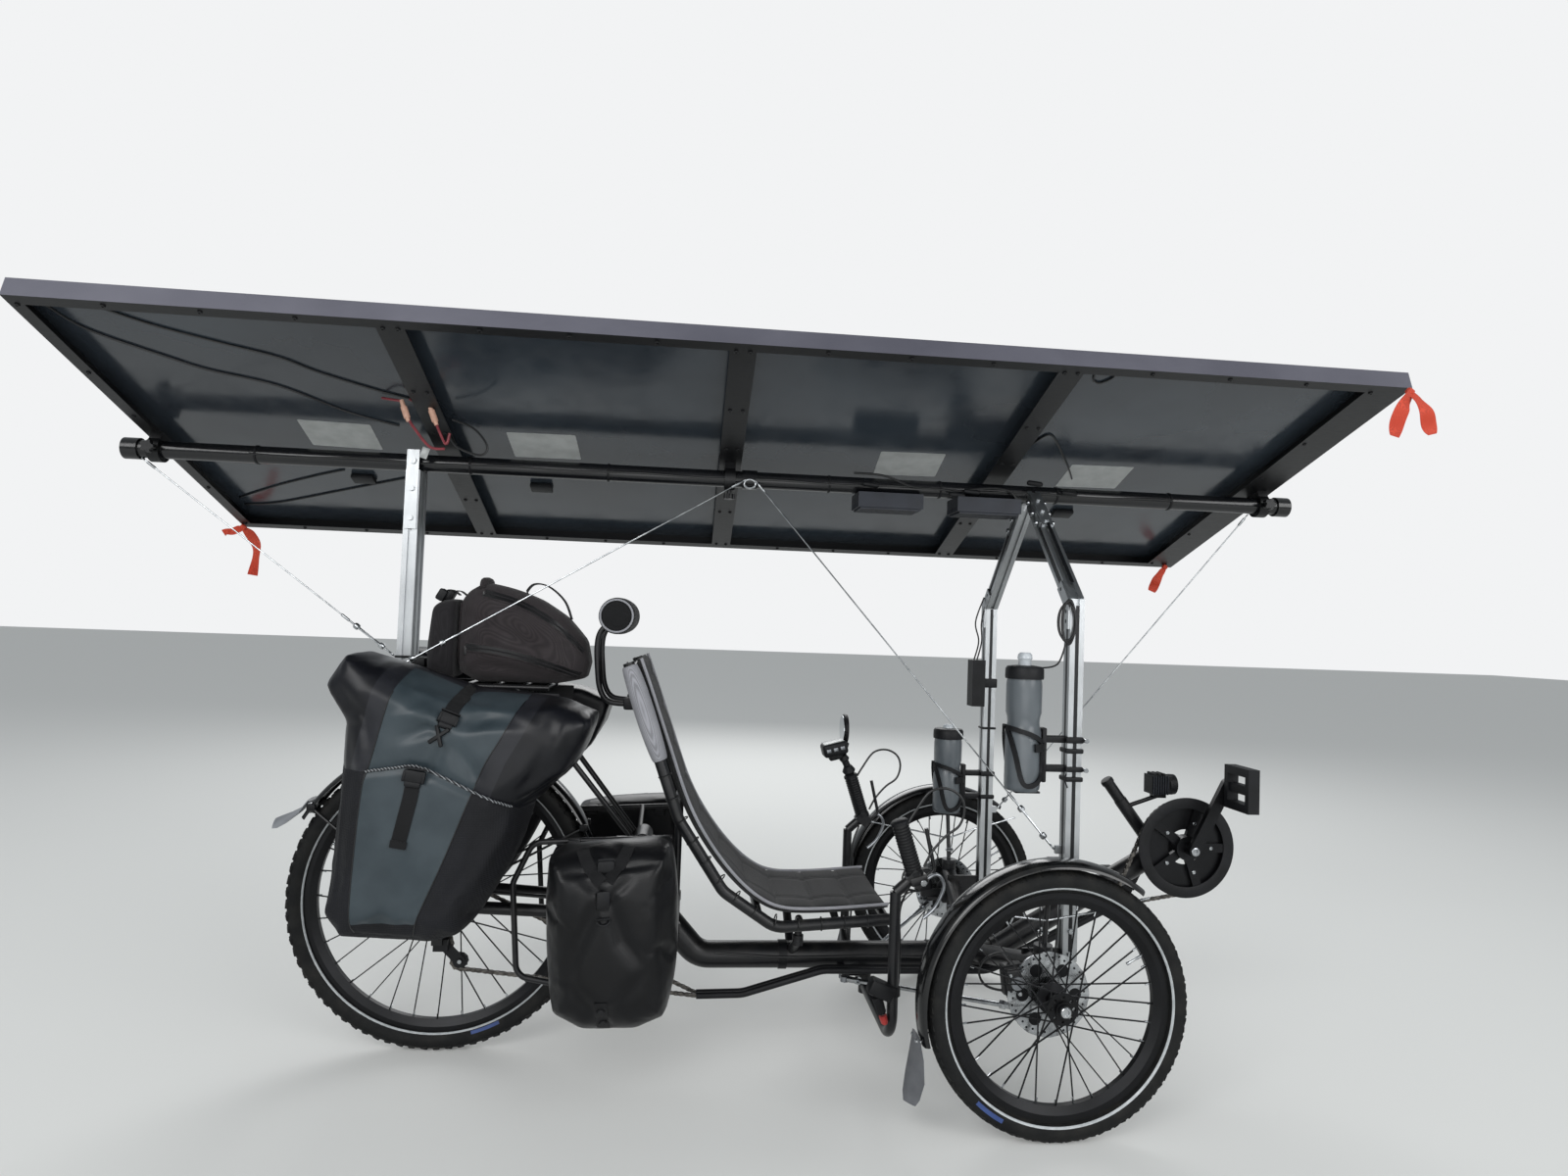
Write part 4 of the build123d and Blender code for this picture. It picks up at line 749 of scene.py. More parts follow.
def pannierTrim(skin):
    shape = openShape()
    tree = skinTree(skin)
    cordPoints, _ = onSkin(tree, fineLine(pannierSet["cord"][1:-1], 8), -1, 1, 0.0026)
    tube(shape, cordPoints, 0.0026, "reflectiveBraid", 8)
    for key, width in (("topStrap", 0.027), ("lowStrap", 0.027)):
        points, normals = onSkin(tree, fineLine(pannierSet[key], 6), -1, 1, 0.0006)
        strap(shape, points, normals, width, webbingThick, "webbing")
    points, normals = onSkin(tree, [(-0.552, 0.738), (-0.561, 0.712), (-0.604, 0.634), (-0.626, 0.508)], -1, 1)
    down = (points[1] - points[0]).normalized()
    sideBuckle(shape, points[0], normals[0], down, 0.036, 0.036)
    across = down.cross(normals[1]).normalized()
    for lean in (-1, 1):  # the X of the compression hook
        direction = (down + across * lean * 0.75).normalized()
        turn = Matrix((direction.cross(normals[1]), direction, normals[1])).transposed()
        slab(shape, points[1] + normals[1] * 0.005 + down * 0.004, (0.0075, 0.044, 0.006), "mouldedNylon", turn,
             0.002)
    down = (points[3] - points[2]).normalized()
    sideBuckle(shape, points[2], normals[2], down, 0.040, 0.040)
    turn = Matrix((down.cross(normals[3]), down, normals[3])).transposed()
    slab(shape, points[3] + normals[3] * 0.003, (0.030, 0.014, 0.005), "webbing", turn, 0.001)
    for key, lift in (("leftEdge", 0.0003), ("rightEdge", 0.0003)):  # welded seams of the panel
        line = [p for p in fineLine(pannierSet[key], 6) if 0.33 < p[1] < 0.80]
        tube(shape, onSkin(tree, line, -1, 1, lift)[0], 0.0012, "blackSleeve", 6)
    return shape


def pannierHooks(shape):  # rail hooks and stiff back plate
    for x in (-0.560, -0.450):
        slab(shape, (x, -0.101, 0.770), (0.026, 0.044, 0.022), "mouldedNylon", None, 0.004)
    slab(shape, (-0.520, -0.124, 0.70), (0.30, 0.006, 0.16), "mouldedNylon", None, 0.003)


def putOnBothSides(skin, shape, skinName, trimName, nodes):
    for side, node in nodes.items():
        mesh = skin if side == "right" else mirrored(skin, skinName + "Twin")
        finishPiece(f"{skinName}_{side}", mesh, "chassis", (node,))
    addBoth(shape, trimName)


# a piece, and its mirror image on the left
def addBoth(shape, name, body="chassis", smoothAngle=38, stands=()):
    nodes = {side: [f"{node}_{side}" for node in stands] for side in ("right", "left")}
    piece = closeShape(shape, f"{name}_right", body.replace("SIDE", "right"), nodes["right"], smoothAngle)
    finishPiece(f"{name}_left", mirrored(piece.data, name + "Twin"), body.replace("SIDE", "left"),
                nodes["left"])


bagSkin = pannierSkin()
bagTrim = pannierTrim(bagSkin)
pannierHooks(bagTrim)
putOnBothSides(bagSkin, bagTrim, "pannierSkin", "pannierTrim",
               {"right": "pannier_right", "left": "pannier_left"})
print("large panniers made")

# small black roll-top bag low on the side rack
smallBag = {
    "outline": [(-0.357, 0.486), (-0.240, 0.500), (-0.126, 0.510), (-0.108, 0.404), (-0.109, 0.253), (-0.121, 0.180),
                (-0.176, 0.156), (-0.283, 0.156), (-0.340, 0.186), (-0.354, 0.302)],
    "inner": 0.186, "outer": 0.326, "voxel": 0.008, "swell": 0.013,
}


def smallBagSkin():
    outline, inner, outer = smallBag["outline"], smallBag["inner"], smallBag["outer"]
    levels = [(-inner, drawnIn(outline, 0.010)), (-inner - 0.012, drawnIn(outline, 0.002)),
              (-inner - 0.075, drawnIn(outline, 0.001)), (-outer + 0.026, drawnIn(outline, 0.008)),
              (-outer + 0.005, drawnIn(outline, 0.024)), (-outer, drawnIn(outline, 0.040))]
    skin = puffed(shellMesh("smallBagShell", levels), smallBag["voxel"], smallBag["swell"],
                  held=lambda co: co.y > -inner - 0.006)
    folds = [([(-0.250, 0.425), (-0.285, 0.340), (-0.310, 0.270)], 0.010, 0.015),
             ([(-0.240, 0.425), (-0.205, 0.340), (-0.165, 0.290)], 0.009, 0.015),
             ([(-0.330, 0.47), (-0.325, 0.38), (-0.335, 0.30)], -0.007, 0.014),
             ([(-0.15, 0.48), (-0.155, 0.38), (-0.145, 0.27)], -0.007, 0.014),
             ([(-0.31, 0.27), (-0.27, 0.22), (-0.24, 0.175)], 0.006, 0.014),
             ([(-0.165, 0.285), (-0.20, 0.235), (-0.23, 0.175)], 0.006, 0.014),
             ([(-0.34, 0.456), (-0.24, 0.470), (-0.14, 0.482)], 0.008, 0.008),
             ([(-0.29, 0.455), (-0.252, 0.43), (-0.235, 0.40)], 0.007, 0.010),
             ([(-0.19, 0.46), (-0.225, 0.43), (-0.24, 0.40)], 0.007, 0.010)]
    furrow(skin, folds, Vector((0, -1, 0)))
    skin.materials.append(materials["blackTarpaulin"])
    return skin


def smallBagTrim(skin):
    shape = openShape()
    tree = skinTree(skin)
    for line in ([(-0.292, 0.492), (-0.272, 0.465), (-0.250, 0.445)],
                 [(-0.205, 0.500), (-0.222, 0.470), (-0.240, 0.447)],
                 [(-0.249, 0.430), (-0.247, 0.395)], [(-0.243, 0.228), (-0.238, 0.166)]):
        points, normals = onSkin(tree, fineLine(line, 6), -1, 1, 0.0006)
        strap(shape, points, normals, 0.024, webbingThick, "webbing")
    points, normals = onSkin(tree, [(-0.245, 0.462), (-0.247, 0.414), (-0.244, 0.382), (-0.242, 0.212),
                                    (-0.239, 0.182)], -1, 1)
    down = Vector((0.02, 0, -1)).normalized()
    sideBuckle(shape, points[0], normals[0], down, 0.030, 0.040)
    turn = Matrix((down.cross(normals[1]), down, normals[1])).transposed()
    slab(shape, points[1] + normals[1] * 0.004, (0.026, 0.034, 0.006), "mouldedNylon", turn, 0.003)
    across = down.cross(normals[2]).normalized()
    loop = [points[2] + normals[2] * 0.005 + across * (0.013 * math.cos(a)) + down * (0.012 * math.sin(a))
            for a in [math.pi * k / 10 for k in range(11)]]
    tube(shape, loop, 0.0022, "mouldedNylon", 8, closed=True)  # the D ring
    for place, normal in zip(points[3:], normals[3:]):  # two studs of the lower tab
        turned(shape, [(0, 0.0075), (0.003, 0.0075), (0.0045, 0.006), (0.0045, 0)], place + normal * 0.002, normal,
               "mouldedNylon", 16)
    for x in (-0.320, -0.160):
        slab(shape, (x, -0.181, 0.480), (0.026, 0.016, 0.022), "mouldedNylon", None, 0.004)
    return shape


smallSkin = smallBagSkin()
putOnBothSides(smallSkin, smallBagTrim(smallSkin), "smallBagSkin", "smallBagTrim",
               {"right": "pannier_small_right", "left": "pannier_small_left"})
print("small bags made")

# soft cordura bag on the rear rack: side pocket at the back, two arched zips, rolled top and a handle
trunkSet = {
    "wide": [(-0.600, 0.815), (-0.602, 0.965), (-0.585, 0.990), (-0.553, 1.010), (-0.493, 0.998), (-0.432, 0.976),
             (-0.372, 0.938), (-0.328, 0.888), (-0.318, 0.840), (-0.326, 0.806), (-0.388, 0.7925), (-0.560, 0.7925)],
    "half": 0.068, "voxel": 0.008, "swell": 0.008, "pocketHalf": 0.060,
    "pocket": [(-0.662, 0.806), (-0.664, 0.850), (-0.657, 0.955), (-0.640, 0.966), (-0.606, 0.972), (-0.606, 0.799)],
    "zips": {"upper": [(-0.545, 0.985), (-0.480, 0.968), (-0.415, 0.936), (-0.362, 0.896), (-0.335, 0.866)],
             "lower": [(-0.580, 0.868), (-0.520, 0.864), (-0.452, 0.850), (-0.384, 0.830), (-0.340, 0.815)]},
}


def trunkSkin():
    wide, half = trunkSet["wide"], trunkSet["half"]
    levels = []
    for y, inset in ((-half, 0.040), (-half + 0.006, 0.024), (-half + 0.026, 0.008), (-half * 0.45, 0.001),
                     (half * 0.45, 0.001), (half - 0.026, 0.008), (half - 0.006, 0.024), (half, 0.040)):
        levels.append((-y, [(x, max(z, 0.7925)) for x, z in drawnIn(wide, inset)]))
    skin = puffed(shellMesh("trunkShell", levels), trunkSet["voxel"], trunkSet["swell"], held=lambda co: co.z < 0.799)
    for facing in (-1, 1):
        furrow(skin, [([(-0.59, 0.94), (-0.50, 0.90), (-0.40, 0.86)], 0.005, 0.014),
                      ([(-0.57, 0.83), (-0.50, 0.825), (-0.42, 0.81)], 0.006, 0.012),
                      ([(-0.50, 0.97), (-0.46, 0.92), (-0.44, 0.87)], -0.005, 0.018),
                      ([(-0.39, 0.92), (-0.37, 0.87), (-0.36, 0.83)], 0.005, 0.012),
                      ([(-0.57, 0.96), (-0.58, 0.90), (-0.57, 0.84)], 0.005, 0.010)], Vector((0, facing, 0)))
    skin.materials.append(materials["brownCordura"])
    return skin


def pocketSkin():
    half = trunkSet["pocketHalf"]
    levels = [(y, drawnIn(trunkSet["pocket"], inset)) for y, inset in
              ((half, 0.018), (half - 0.008, 0.006), (half * 0.5, 0.0), (-half * 0.5, 0.0), (-half + 0.008, 0.006),
               (-half, 0.018))]
    skin = puffed(shellMesh("trunkPocketShell", levels), 0.007, 0.008, held=lambda co: co.x > -0.612)
    for facing in (-1, 1):
        furrow(skin, [([(-0.65, 0.95), (-0.635, 0.89), (-0.64, 0.83)], 0.005, 0.009)], Vector((0, facing, 0)))
    skin.materials.append(materials["darkCordura"])
    return skin


def trunkTrim(skin):
    shape = openShape()
    tree = skinTree(skin)
    for origin, toward in ((-1, 1), (1, -1)):
        for line in trunkSet["zips"].values():
            points, normals = onSkin(tree, fineLine(line, 8), origin, toward, 0.0008)
            strap(shape, points, normals, 0.016, 0.0012, "blackSleeve")
            tube(shape, [p + n * 0.0022 for p, n in zip(points, normals)], 0.0016, "darkCordura", 6)
            for lift in (-0.008, 0.008):  # piped edges of the zip's flap
                points = onSkin(tree, [(x, z + lift) for x, z in fineLine(line, 8)], origin, toward, 0.0012)[0]
                tube(shape, points, 0.0018, "brownCordura", 6)
        edge = [(-0.596, 0.960), (-0.600, 0.900), (-0.600, 0.830)]
        points = onSkin(tree, fineLine(edge, 6), origin, toward, 0.001)[0]
        if len(points) > 3:
            tube(shape, points, 0.0028, "brownCordura", 6)
        puller, normals = onSkin(tree, [(-0.580, 0.868), (-0.545, 0.985)], origin, toward, 0.003)
        for place, normal in zip(puller, normals):
            slab(shape, place - Vector((0, 0, 0.008)), (0.006, 0.003, 0.020), "blackSleeve", None, 0.001)
    top = []
    for k in range(13):  # rolled edge of the lid
        y = -0.050 + 0.100 * k / 12
        hit = tree.ray_cast(Vector((-0.553, y, 1.2)), Vector((0, 0, -1)))[0]
        if hit:
            top.append(hit + Vector((0, 0, 0.002)))
    tube(shape, top, [0.006 + 0.006 * math.sin(math.pi * k / (len(top) - 1)) for k in range(len(top))],
         "brownCordura", 12)
    handle = smoothLine([(-0.470, 0, 0.985), (-0.452, 0, 1.008), (-0.420, 0, 1.004), (-0.385, 0, 0.974),
                         (-0.368, 0, 0.934)], 8)
    strap(shape, handle, [Vector((0.5, 0, 0.86))] * len(handle), 0.022, 0.003, "webbing")
    for y in (-0.034, 0.034):  # straps and buckle over the pocket
        line = smoothLine([(-0.640, y, 0.968), (-0.634, y, 0.984), (-0.618, y, 0.988), (-0.603, y, 0.978)], 6)
        strap(shape, line, [Vector((0, 0, 1))] * len(line), 0.020, 0.0022, "webbing")
        slab(shape, (-0.640, y, 0.978), (0.018, 0.026, 0.026), "mouldedNylon", leaned(0.5), 0.004)
    return shape


trunkMesh, pocketMesh = trunkSkin(), pocketSkin()
closeShape(trunkTrim(trunkMesh), "trunkTrim", "chassis")
finishPiece("trunkSkin", trunkMesh, "chassis", ("trunk_bag",))
finishPiece("trunkPocket", pocketMesh, "chassis")
print("trunk bag made")

# head rest: a foam roll with light piping near both ends, on two bent tubes
headrestSet = {"centre": (-0.261, 0, 0.946), "half": 0.105, "radius": 0.040, "piping": 0.0022}


def headrestPieces():
    centre, half, radius = Vector(headrestSet["centre"]), headrestSet["half"], headrestSet["radius"]
    shape = openShape()
    profile = [(-half, 0.0), (-half, radius * 0.80), (-half + 0.004, radius * 0.93), (-half + 0.014, radius * 0.99)]
    profile += [(along, radius * (1 + 0.02 * math.cos(along * 30))) for along in (-0.07, -0.035, 0.0, 0.035, 0.07)]
    profile += [(half - 0.014, radius * 0.99), (half - 0.004, radius * 0.93), (half, radius * 0.80), (half, 0.0)]
    turned(shape, profile, centre, (0, 1, 0), None, 40)
    skin = puffed(faceOutwards(meshOf(shape, "headrestRoll")), 0.005, 0.005)
    skin.materials.append(materials["blackCordura"])
    roll = finishPiece("headrestRoll", skin, "chassis", ("headrest",))
    trim = openShape()
    for side in (-1, 1):
        ringLine = hoop(centre + Vector((0, side * (half + 0.0018), 0)), (radius * 0.86, 0, 0), (0, 0, radius * 0.86),
                        40)
        tube(trim, ringLine, headrestSet["piping"], "greyPiping", 8, closed=True)
        y = side * 0.060
        tube(trim, smoothLine([(-0.272, y, 0.935), (-0.296, y, 0.912), (-0.303, y, 0.880), (-0.300, y, 0.830),
                               (-0.294, y, 0.790),
                               (-0.280, y, 0.765), (-0.255, y, 0.757), (-0.2035, y, 0.757)], 8), 0.0062,
             "powderCoatedSteel", 12)
        slab(trim, (-0.226, y, 0.757), (0.030, 0.024, 0.026), "mouldedNylon", None, 0.004)
    closeShape(trim, "headrestBracket", "chassis")


headrestPieces()
print("head rest made")

# seat: quilted mesh pad between the side tubes, light grey bolsters at the shoulders, lacing behind
seatSet = {
    "spine": [(-0.228, 0.850), (-0.205, 0.790), (-0.165, 0.680), (-0.118, 0.555), (-0.070, 0.470), (-0.010, 0.395),
              (0.050, 0.345), (0.110, 0.322), (0.200, 0.320), (0.338, 0.330)],
    "halfWidth": 0.151, "thick": 0.022, "lift": 0.021, "channel": 0.085, "channelDepth": 0.004, "stations": 120,
           "across": 28,
    "bolster": [(-0.226, 0.844), (-0.212, 0.808), (-0.193, 0.755), (-0.173, 0.700), (-0.155, 0.652)],
}


def seatSpine(steps):
    line = smoothLine([(x, 0, z) for x, z in seatSet["spine"]], 12)
    lengths = [0.0]
    for a, b in zip(line, line[1:]):
        lengths.append(lengths[-1] + (b - a).length)
    places = []
    for k in range(steps):
        want = lengths[-1] * k / (steps - 1)
        i = max(j for j in range(len(lengths) - 1) if lengths[j] <= want + 1e-9)
        t = (want - lengths[i]) / (lengths[i + 1] - lengths[i])
        point = line[i].lerp(line[i + 1], t)
        tangent = (line[i + 1] - line[i]).normalized()
        places.append((point, Vector((-tangent.z, 0, tangent.x)), want))
    return places, lengths[-1]


def seatPad():
    places, length = seatSpine(seatSet["stations"])
    count, half = seatSet["across"], seatSet["halfWidth"]
    rings = []
    for point, normal, along in places:
        ends = min(1.0, along / 0.018, (length - along) / 0.018)
        seam = seatSet["channelDepth"] * math.exp(-((along % seatSet["channel"]
                - seatSet["channel"] / 2) / 0.005) ** 2)
        upper, lower = [], []
        for k in range(count + 1):
            t = -1 + 2 * k / count
            edge = math.sqrt(max(0.0, 1 - abs(t) ** 8)) * math.sqrt(max(0.0, ends * (2 - ends)))
            long = seatSet["channelDepth"] * math.exp(-((abs(t) - 0.52) * half / 0.005) ** 2)
            crown = 0.003 * math.sin(math.pi * (along % seatSet["channel"]) / seatSet["channel"] - math.pi / 2) ** 2
            hollow = -0.006 * (1 - t * t)
            high = hollow + (seatSet["thick"] * 0.5 - seam - long + crown * (1 - abs(t) ** 3)) * edge
            low = hollow - seatSet["thick"] * 0.35 * edge
            base = point + normal * seatSet["lift"] + Vector((0, t * half, 0))
            upper.append(base + normal * high)
            lower.append(base + normal * low)
        rings.append(upper + lower[::-1])
    shape = openShape()
    loft(shape, rings, "seatMeshCloth")
    pad = closeShape(shape, "seatPad", "chassis", ("seat_mesh",), 80)


def seatTrim():
    shape = openShape()
    for side in (-1, 1):
        line = smoothLine([(x, side * 0.165, z) for x, z in seatSet["bolster"]], 8)
        count = len(line)
        radii = [0.0145 + 0.0065 * math.sin(math.pi * k / (count - 1)) ** 0.6 for k in range(count)]
        tube(shape, line, radii, "greyPiping", 24)
        edge = [point + normal * (seatSet["lift"] + 0.006) + Vector((0, side * 0.1505, 0)) for point, normal,
                _ in seatSpine(60)[0]]
        tube(shape, edge, 0.0035, "greyPiping", 8)
    closeShape(shape, "seatBolsters", "chassis", smoothAngle=60)
    lacing = openShape()
    places = seatSpine(19)[0]
    for k in range(1, 18):  # elastic lacing round the side tubes
        point, normal, _ = places[k]
        for side in (-1, 1):
            ringLine = [point + Vector((0, side * 0.165, 0)) + normal * (0.0137 * math.cos(a))
                        + Vector((0, side * 0.0137 * math.sin(a), 0))
                        for a in [math.pi * (0.15 + 1.9 * j / 14) for j in range(15)]]
            tube(lacing, ringLine, 0.0014, "blackSleeve", 6)
    high, low = Vector((-0.232, 0, 0.850)), Vector((-0.116, 0, 0.530))
    for side in (-1, 1):  # webbing down the back of the seat
        strapLine = [high.lerp(low, t) + Vector((0, side * 0.128, 0)) for t in (0, 0.3, 0.6, 0.9)]
        strap(lacing, strapLine, [Vector((-0.94, 0, -0.34))] * 4, 0.022, 0.002, "webbing")
    closeShape(lacing, "seatLacing", "chassis")


seatPad()
seatTrim()
print("seat made")

# what repeats is grown by geometry nodes: rings about an axis, rows along a path, and spots that face a way
def startTree(name, sockets):
    tree = bpy.data.node_groups.new(name, "GeometryNodeTree")
    for label, kind in sockets.items():
        tree.interface.new_socket(label, in_out="INPUT", socket_type="NodeSocket" + kind)
    tree.interface.new_socket("Geometry", in_out="OUTPUT", socket_type="NodeSocketGeometry")
    return tree, addNode(tree, "NodeGroupInput").outputs


def endTree(tree, copies, material):
    whole = addNode(tree, "GeometryNodeRealizeInstances", {"Geometry": copies}).outputs[0]
    coloured = addNode(tree, "GeometryNodeSetMaterial", {"Geometry": whole, "Material": material}).outputs[0]
    addNode(tree, "NodeGroupOutput", {"Geometry": coloured})
    return tree


def everyOther(tree):  # 0, 1, 0, 1 along the points
    return mathNode(tree, "MODULO", addNode(tree, "GeometryNodeInputIndex").outputs[0], 2)


def threeOf(tree, x=0.0, y=0.0, z=0.0):
    return addNode(tree, "ShaderNodeCombineXYZ", {"X": x, "Y": y, "Z": z}).outputs[0]


def facing(tree, vector, axis, pivot):
    return addNode(tree, "FunctionNodeAlignRotationToVector", {"Vector": vector},
                   {"axis": axis, "pivot_axis": pivot}).outputs[0]


def copiesOf(tree, points, piece, rotation, extra=None):
    shape = addNode(tree, "GeometryNodeObjectInfo", {"Object": piece}).outputs["Geometry"]
    return addNode(tree, "GeometryNodeInstanceOnPoints",
                   {"Points": points, "Instance": shape, "Rotation": rotation, **(extra or {})}).outputs[0]


def ringTree():  # copies about Z, X outwards; every other one leans
    tree, given = startTree("ringOfPieces", {"Piece": "Object", "Count": "Int", "Radius": "Float", "Along": "Float",
                                             "Start": "Float", "Stagger": "Float", "Lean": "Float",
                                                     "Material": "Material"})
    ring = addNode(tree, "GeometryNodeMeshCircle", {"Vertices": given["Count"], "Radius": given["Radius"]}).outputs[0]
    ring = addNode(tree, "GeometryNodeTransform", {"Geometry": ring, "Translation": threeOf(tree, z=given["Along"]),
                                                   "Rotation": threeOf(tree, z=given["Start"])}).outputs[0]
    sign = mathNode(tree, "SUBTRACT", mathNode(tree, "MULTIPLY", everyOther(tree), 2), 1)
    ring = addNode(tree, "GeometryNodeSetPosition", {
        "Geometry": ring, "Offset": threeOf(tree, z=mathNode(tree, "MULTIPLY", sign, given["Stagger"]))}).outputs[0]
    outward = facing(tree, addNode(tree, "GeometryNodeInputPosition").outputs[0], "X", "Z")
    copies = copiesOf(tree, ring, given["Piece"], outward)
    copies = addNode(tree, "GeometryNodeRotateInstances", {
        "Instances": copies, "Rotation": threeOf(tree, x=mathNode(tree, "MULTIPLY", sign, given["Lean"]))}).outputs[0]
    return endTree(tree, copies, given["Material"])


def rowTree():  # two kinds of piece by turns along a path, level with XZ
    tree, given = startTree("piecesAlongPath", {"Geometry": "Geometry", "Piece": "Object", "Between": "Object",
                                                "Pitch": "Float", "Material": "Material"})
    path = addNode(tree, "GeometryNodeMeshToCurve", {"Mesh": given["Geometry"]}).outputs[0]
    path = addNode(tree, "GeometryNodeResampleCurve", {"Curve": path, "Length": given["Pitch"]},
                   {"mode": "LENGTH"}).outputs[0]
    along = facing(tree, addNode(tree, "GeometryNodeInputTangent").outputs[0], "X", "Y")
    odd = everyOther(tree)
    copies = addNode(tree, "GeometryNodeJoinGeometry")
    tree.links.new(copiesOf(tree, path, given["Piece"], along, {"Selection": odd}), copies.inputs[0])
    even = mathNode(tree, "SUBTRACT", 1.0, odd)
    tree.links.new(copiesOf(tree, path, given["Between"], along, {"Selection": even}), copies.inputs[0])
    return endTree(tree, copies.outputs[0], given["Material"])


def spotTree():  # a piece on each spot, its Z along the spot's facing
    tree, given = startTree("piecesOnSpots", {"Geometry": "Geometry", "Piece": "Object", "Size": "Float",
            "Material": "Material"})
    way = addNode(tree, "GeometryNodeInputNamedAttribute", {"Name": "facing"},
                  {"data_type": "FLOAT_VECTOR"}).outputs[0]
    copies = copiesOf(tree, given["Geometry"], given["Piece"], facing(tree, way, "Z", "AUTO"),
                      {"Scale": threeOf(tree, given["Size"], given["Size"], given["Size"])})
    return endTree(tree, copies, given["Material"])


ringOfPieces, piecesAlongPath, piecesOnSpots = ringTree(), rowTree(), spotTree()


def asObject(shape, name="pattern"):
    pattern = bpy.data.objects.new(name, meshOf(shape, name))
    scene.collection.objects.link(pattern)
    return pattern


def grow(shape, tree, finish, inputs, place=None, base=None):  # runs a tree and adds what it makes to a shape
    holder = bpy.data.objects.new("growing", base or bpy.data.meshes.new("growing"))
    scene.collection.objects.link(holder)
    repeat = holder.modifiers.new("repeat", "NODES")
    repeat.node_group = tree
    patterns = {key: asObject(value) for key, value in inputs.items() if isinstance(value, dict)}
    for socket in tree.interface.items_tree:
        value = materials[finish] if socket.name == "Material" else patterns.get(socket.name, inputs.get(socket.name))
        if socket.in_out == "INPUT" and value is not None:
            repeat[socket.identifier] = value
    grown = evaluatedMesh(holder)
    holder.modifiers.clear()
    for helper in (holder, *patterns.values()):
        bpy.data.objects.remove(helper)
    turn = place or Matrix.Identity(4)
    addFaces(shape, [turn @ v.co for v in grown.vertices], [tuple(p.vertices) for p in grown.polygons], finish)


def ring(shape, finish, pattern, place, count, radius, along=0.0, start=0.0, stagger=0.0, lean=0.0):
    grow(shape, ringOfPieces, finish, {"Piece": pattern, "Count": count, "Radius": radius, "Along": along,
                                       "Start": start,
                                       "Stagger": stagger, "Lean": lean}, place)


def spots(shape, finish, pattern, places, size=1.0):  # places: where, and which way it faces
    base = bpy.data.meshes.new("spots")
    base.from_pydata([tuple(where) for where, _ in places], [], [])
    base.attributes.new("facing", "FLOAT_VECTOR", "POINT").data.foreach_set("vector",
            [c for _, way in places for c in way])
    grow(shape, piecesOnSpots, finish, {"Piece": pattern, "Size": size}, None, base)


def wheelPlace(centre):  # a ring's Z laid along the axle
    return Matrix.Translation(centre) @ Matrix.Rotation(-math.pi / 2, 4, "X")


def studPattern(height, around, across, tilt=0.0, taper=0.78, sink=0.0015):  # a rubber block standing on the tread
    shape = openShape()
    turn = Matrix.Rotation(tilt, 3, "Y")
    verts = [turn @ Vector((x, y * k * around / 2, z * k * across / 2)) for x, k in ((-sink, 1.0), (height, taper))
             for y, z in ((-1, -1), (1, -1), (1, 1), (-1, 1))]
    addFaces(shape, verts, [(0, 1, 5, 4), (1, 2, 6, 5), (2, 3, 7, 6), (3, 0, 4, 7), (4, 5, 6, 7)], None)
    return shape


def pinPattern(radius, low, high, sides=6):  # a pin along X
    shape = openShape()
    turned(shape, [(low, 0), (low, radius), (high - radius * 0.4, radius), (high, radius * 0.6), (high, 0)],
           (0, 0, 0), (1, 0, 0), None, sides)
    return shape


def boltPattern(radius, height, sides=12):  # a domed cap head with a hexagon socket
    shape = openShape()
    turned(shape, [(-0.0006, 0), (-0.0006, radius), (height * 0.7, radius), (height, radius * 0.8),
                   (height, radius * 0.5),
                   (height * 0.55, radius * 0.45), (height * 0.55, 0)], (0, 0, 0), (0, 0, 1), None, sides)
    return shape


# tyres: profile in shares of half the width and of the height, the reflective stripe is one of its steps
tyreSet = {
    "front": {"outer": 0.2490, "bead": 0.203, "half": 0.0235, "stripe": (0.80, 0.285, 0.915, 0.37), "blocks": 96,
              "rows": [(0.0162, 0.2444, 0.0017, 0.0115, 0.0080, 32), (0.0085, 0.2474, 0.0012, 0.0130, 0.0050, 12)],
              "patch": (-133.0, -118.0, (0.2252, 0.2330), (1.010, 1.014))},
    "rear": {"outer": 0.3222, "bead": 0.2795, "half": 0.0250, "stripe": (0.70, 0.150, 0.82, 0.225), "blocks": 78,
             "rows": [(0.0182, 0.3170, 0.0036, 0.0150, 0.0100, 34), (0.0066, 0.3214, 0.0032, 0.0140, 0.0080, 6)],
             "patch": (-75.0, -63.0, (0.2906, 0.2972), (0.890, 0.965))},
}
wheelSet = {
    "front": {"centre": Vector((0.606, -0.405, 0.250)), "rimFoot": 0.185, "axleEnd": 0.0395, "valve": -28.6},
    "rear": {"centre": Vector((-0.614, 0.0, 0.325)), "rimFoot": 0.2615, "axleEnd": 0.0, "valve": 205.0},
}


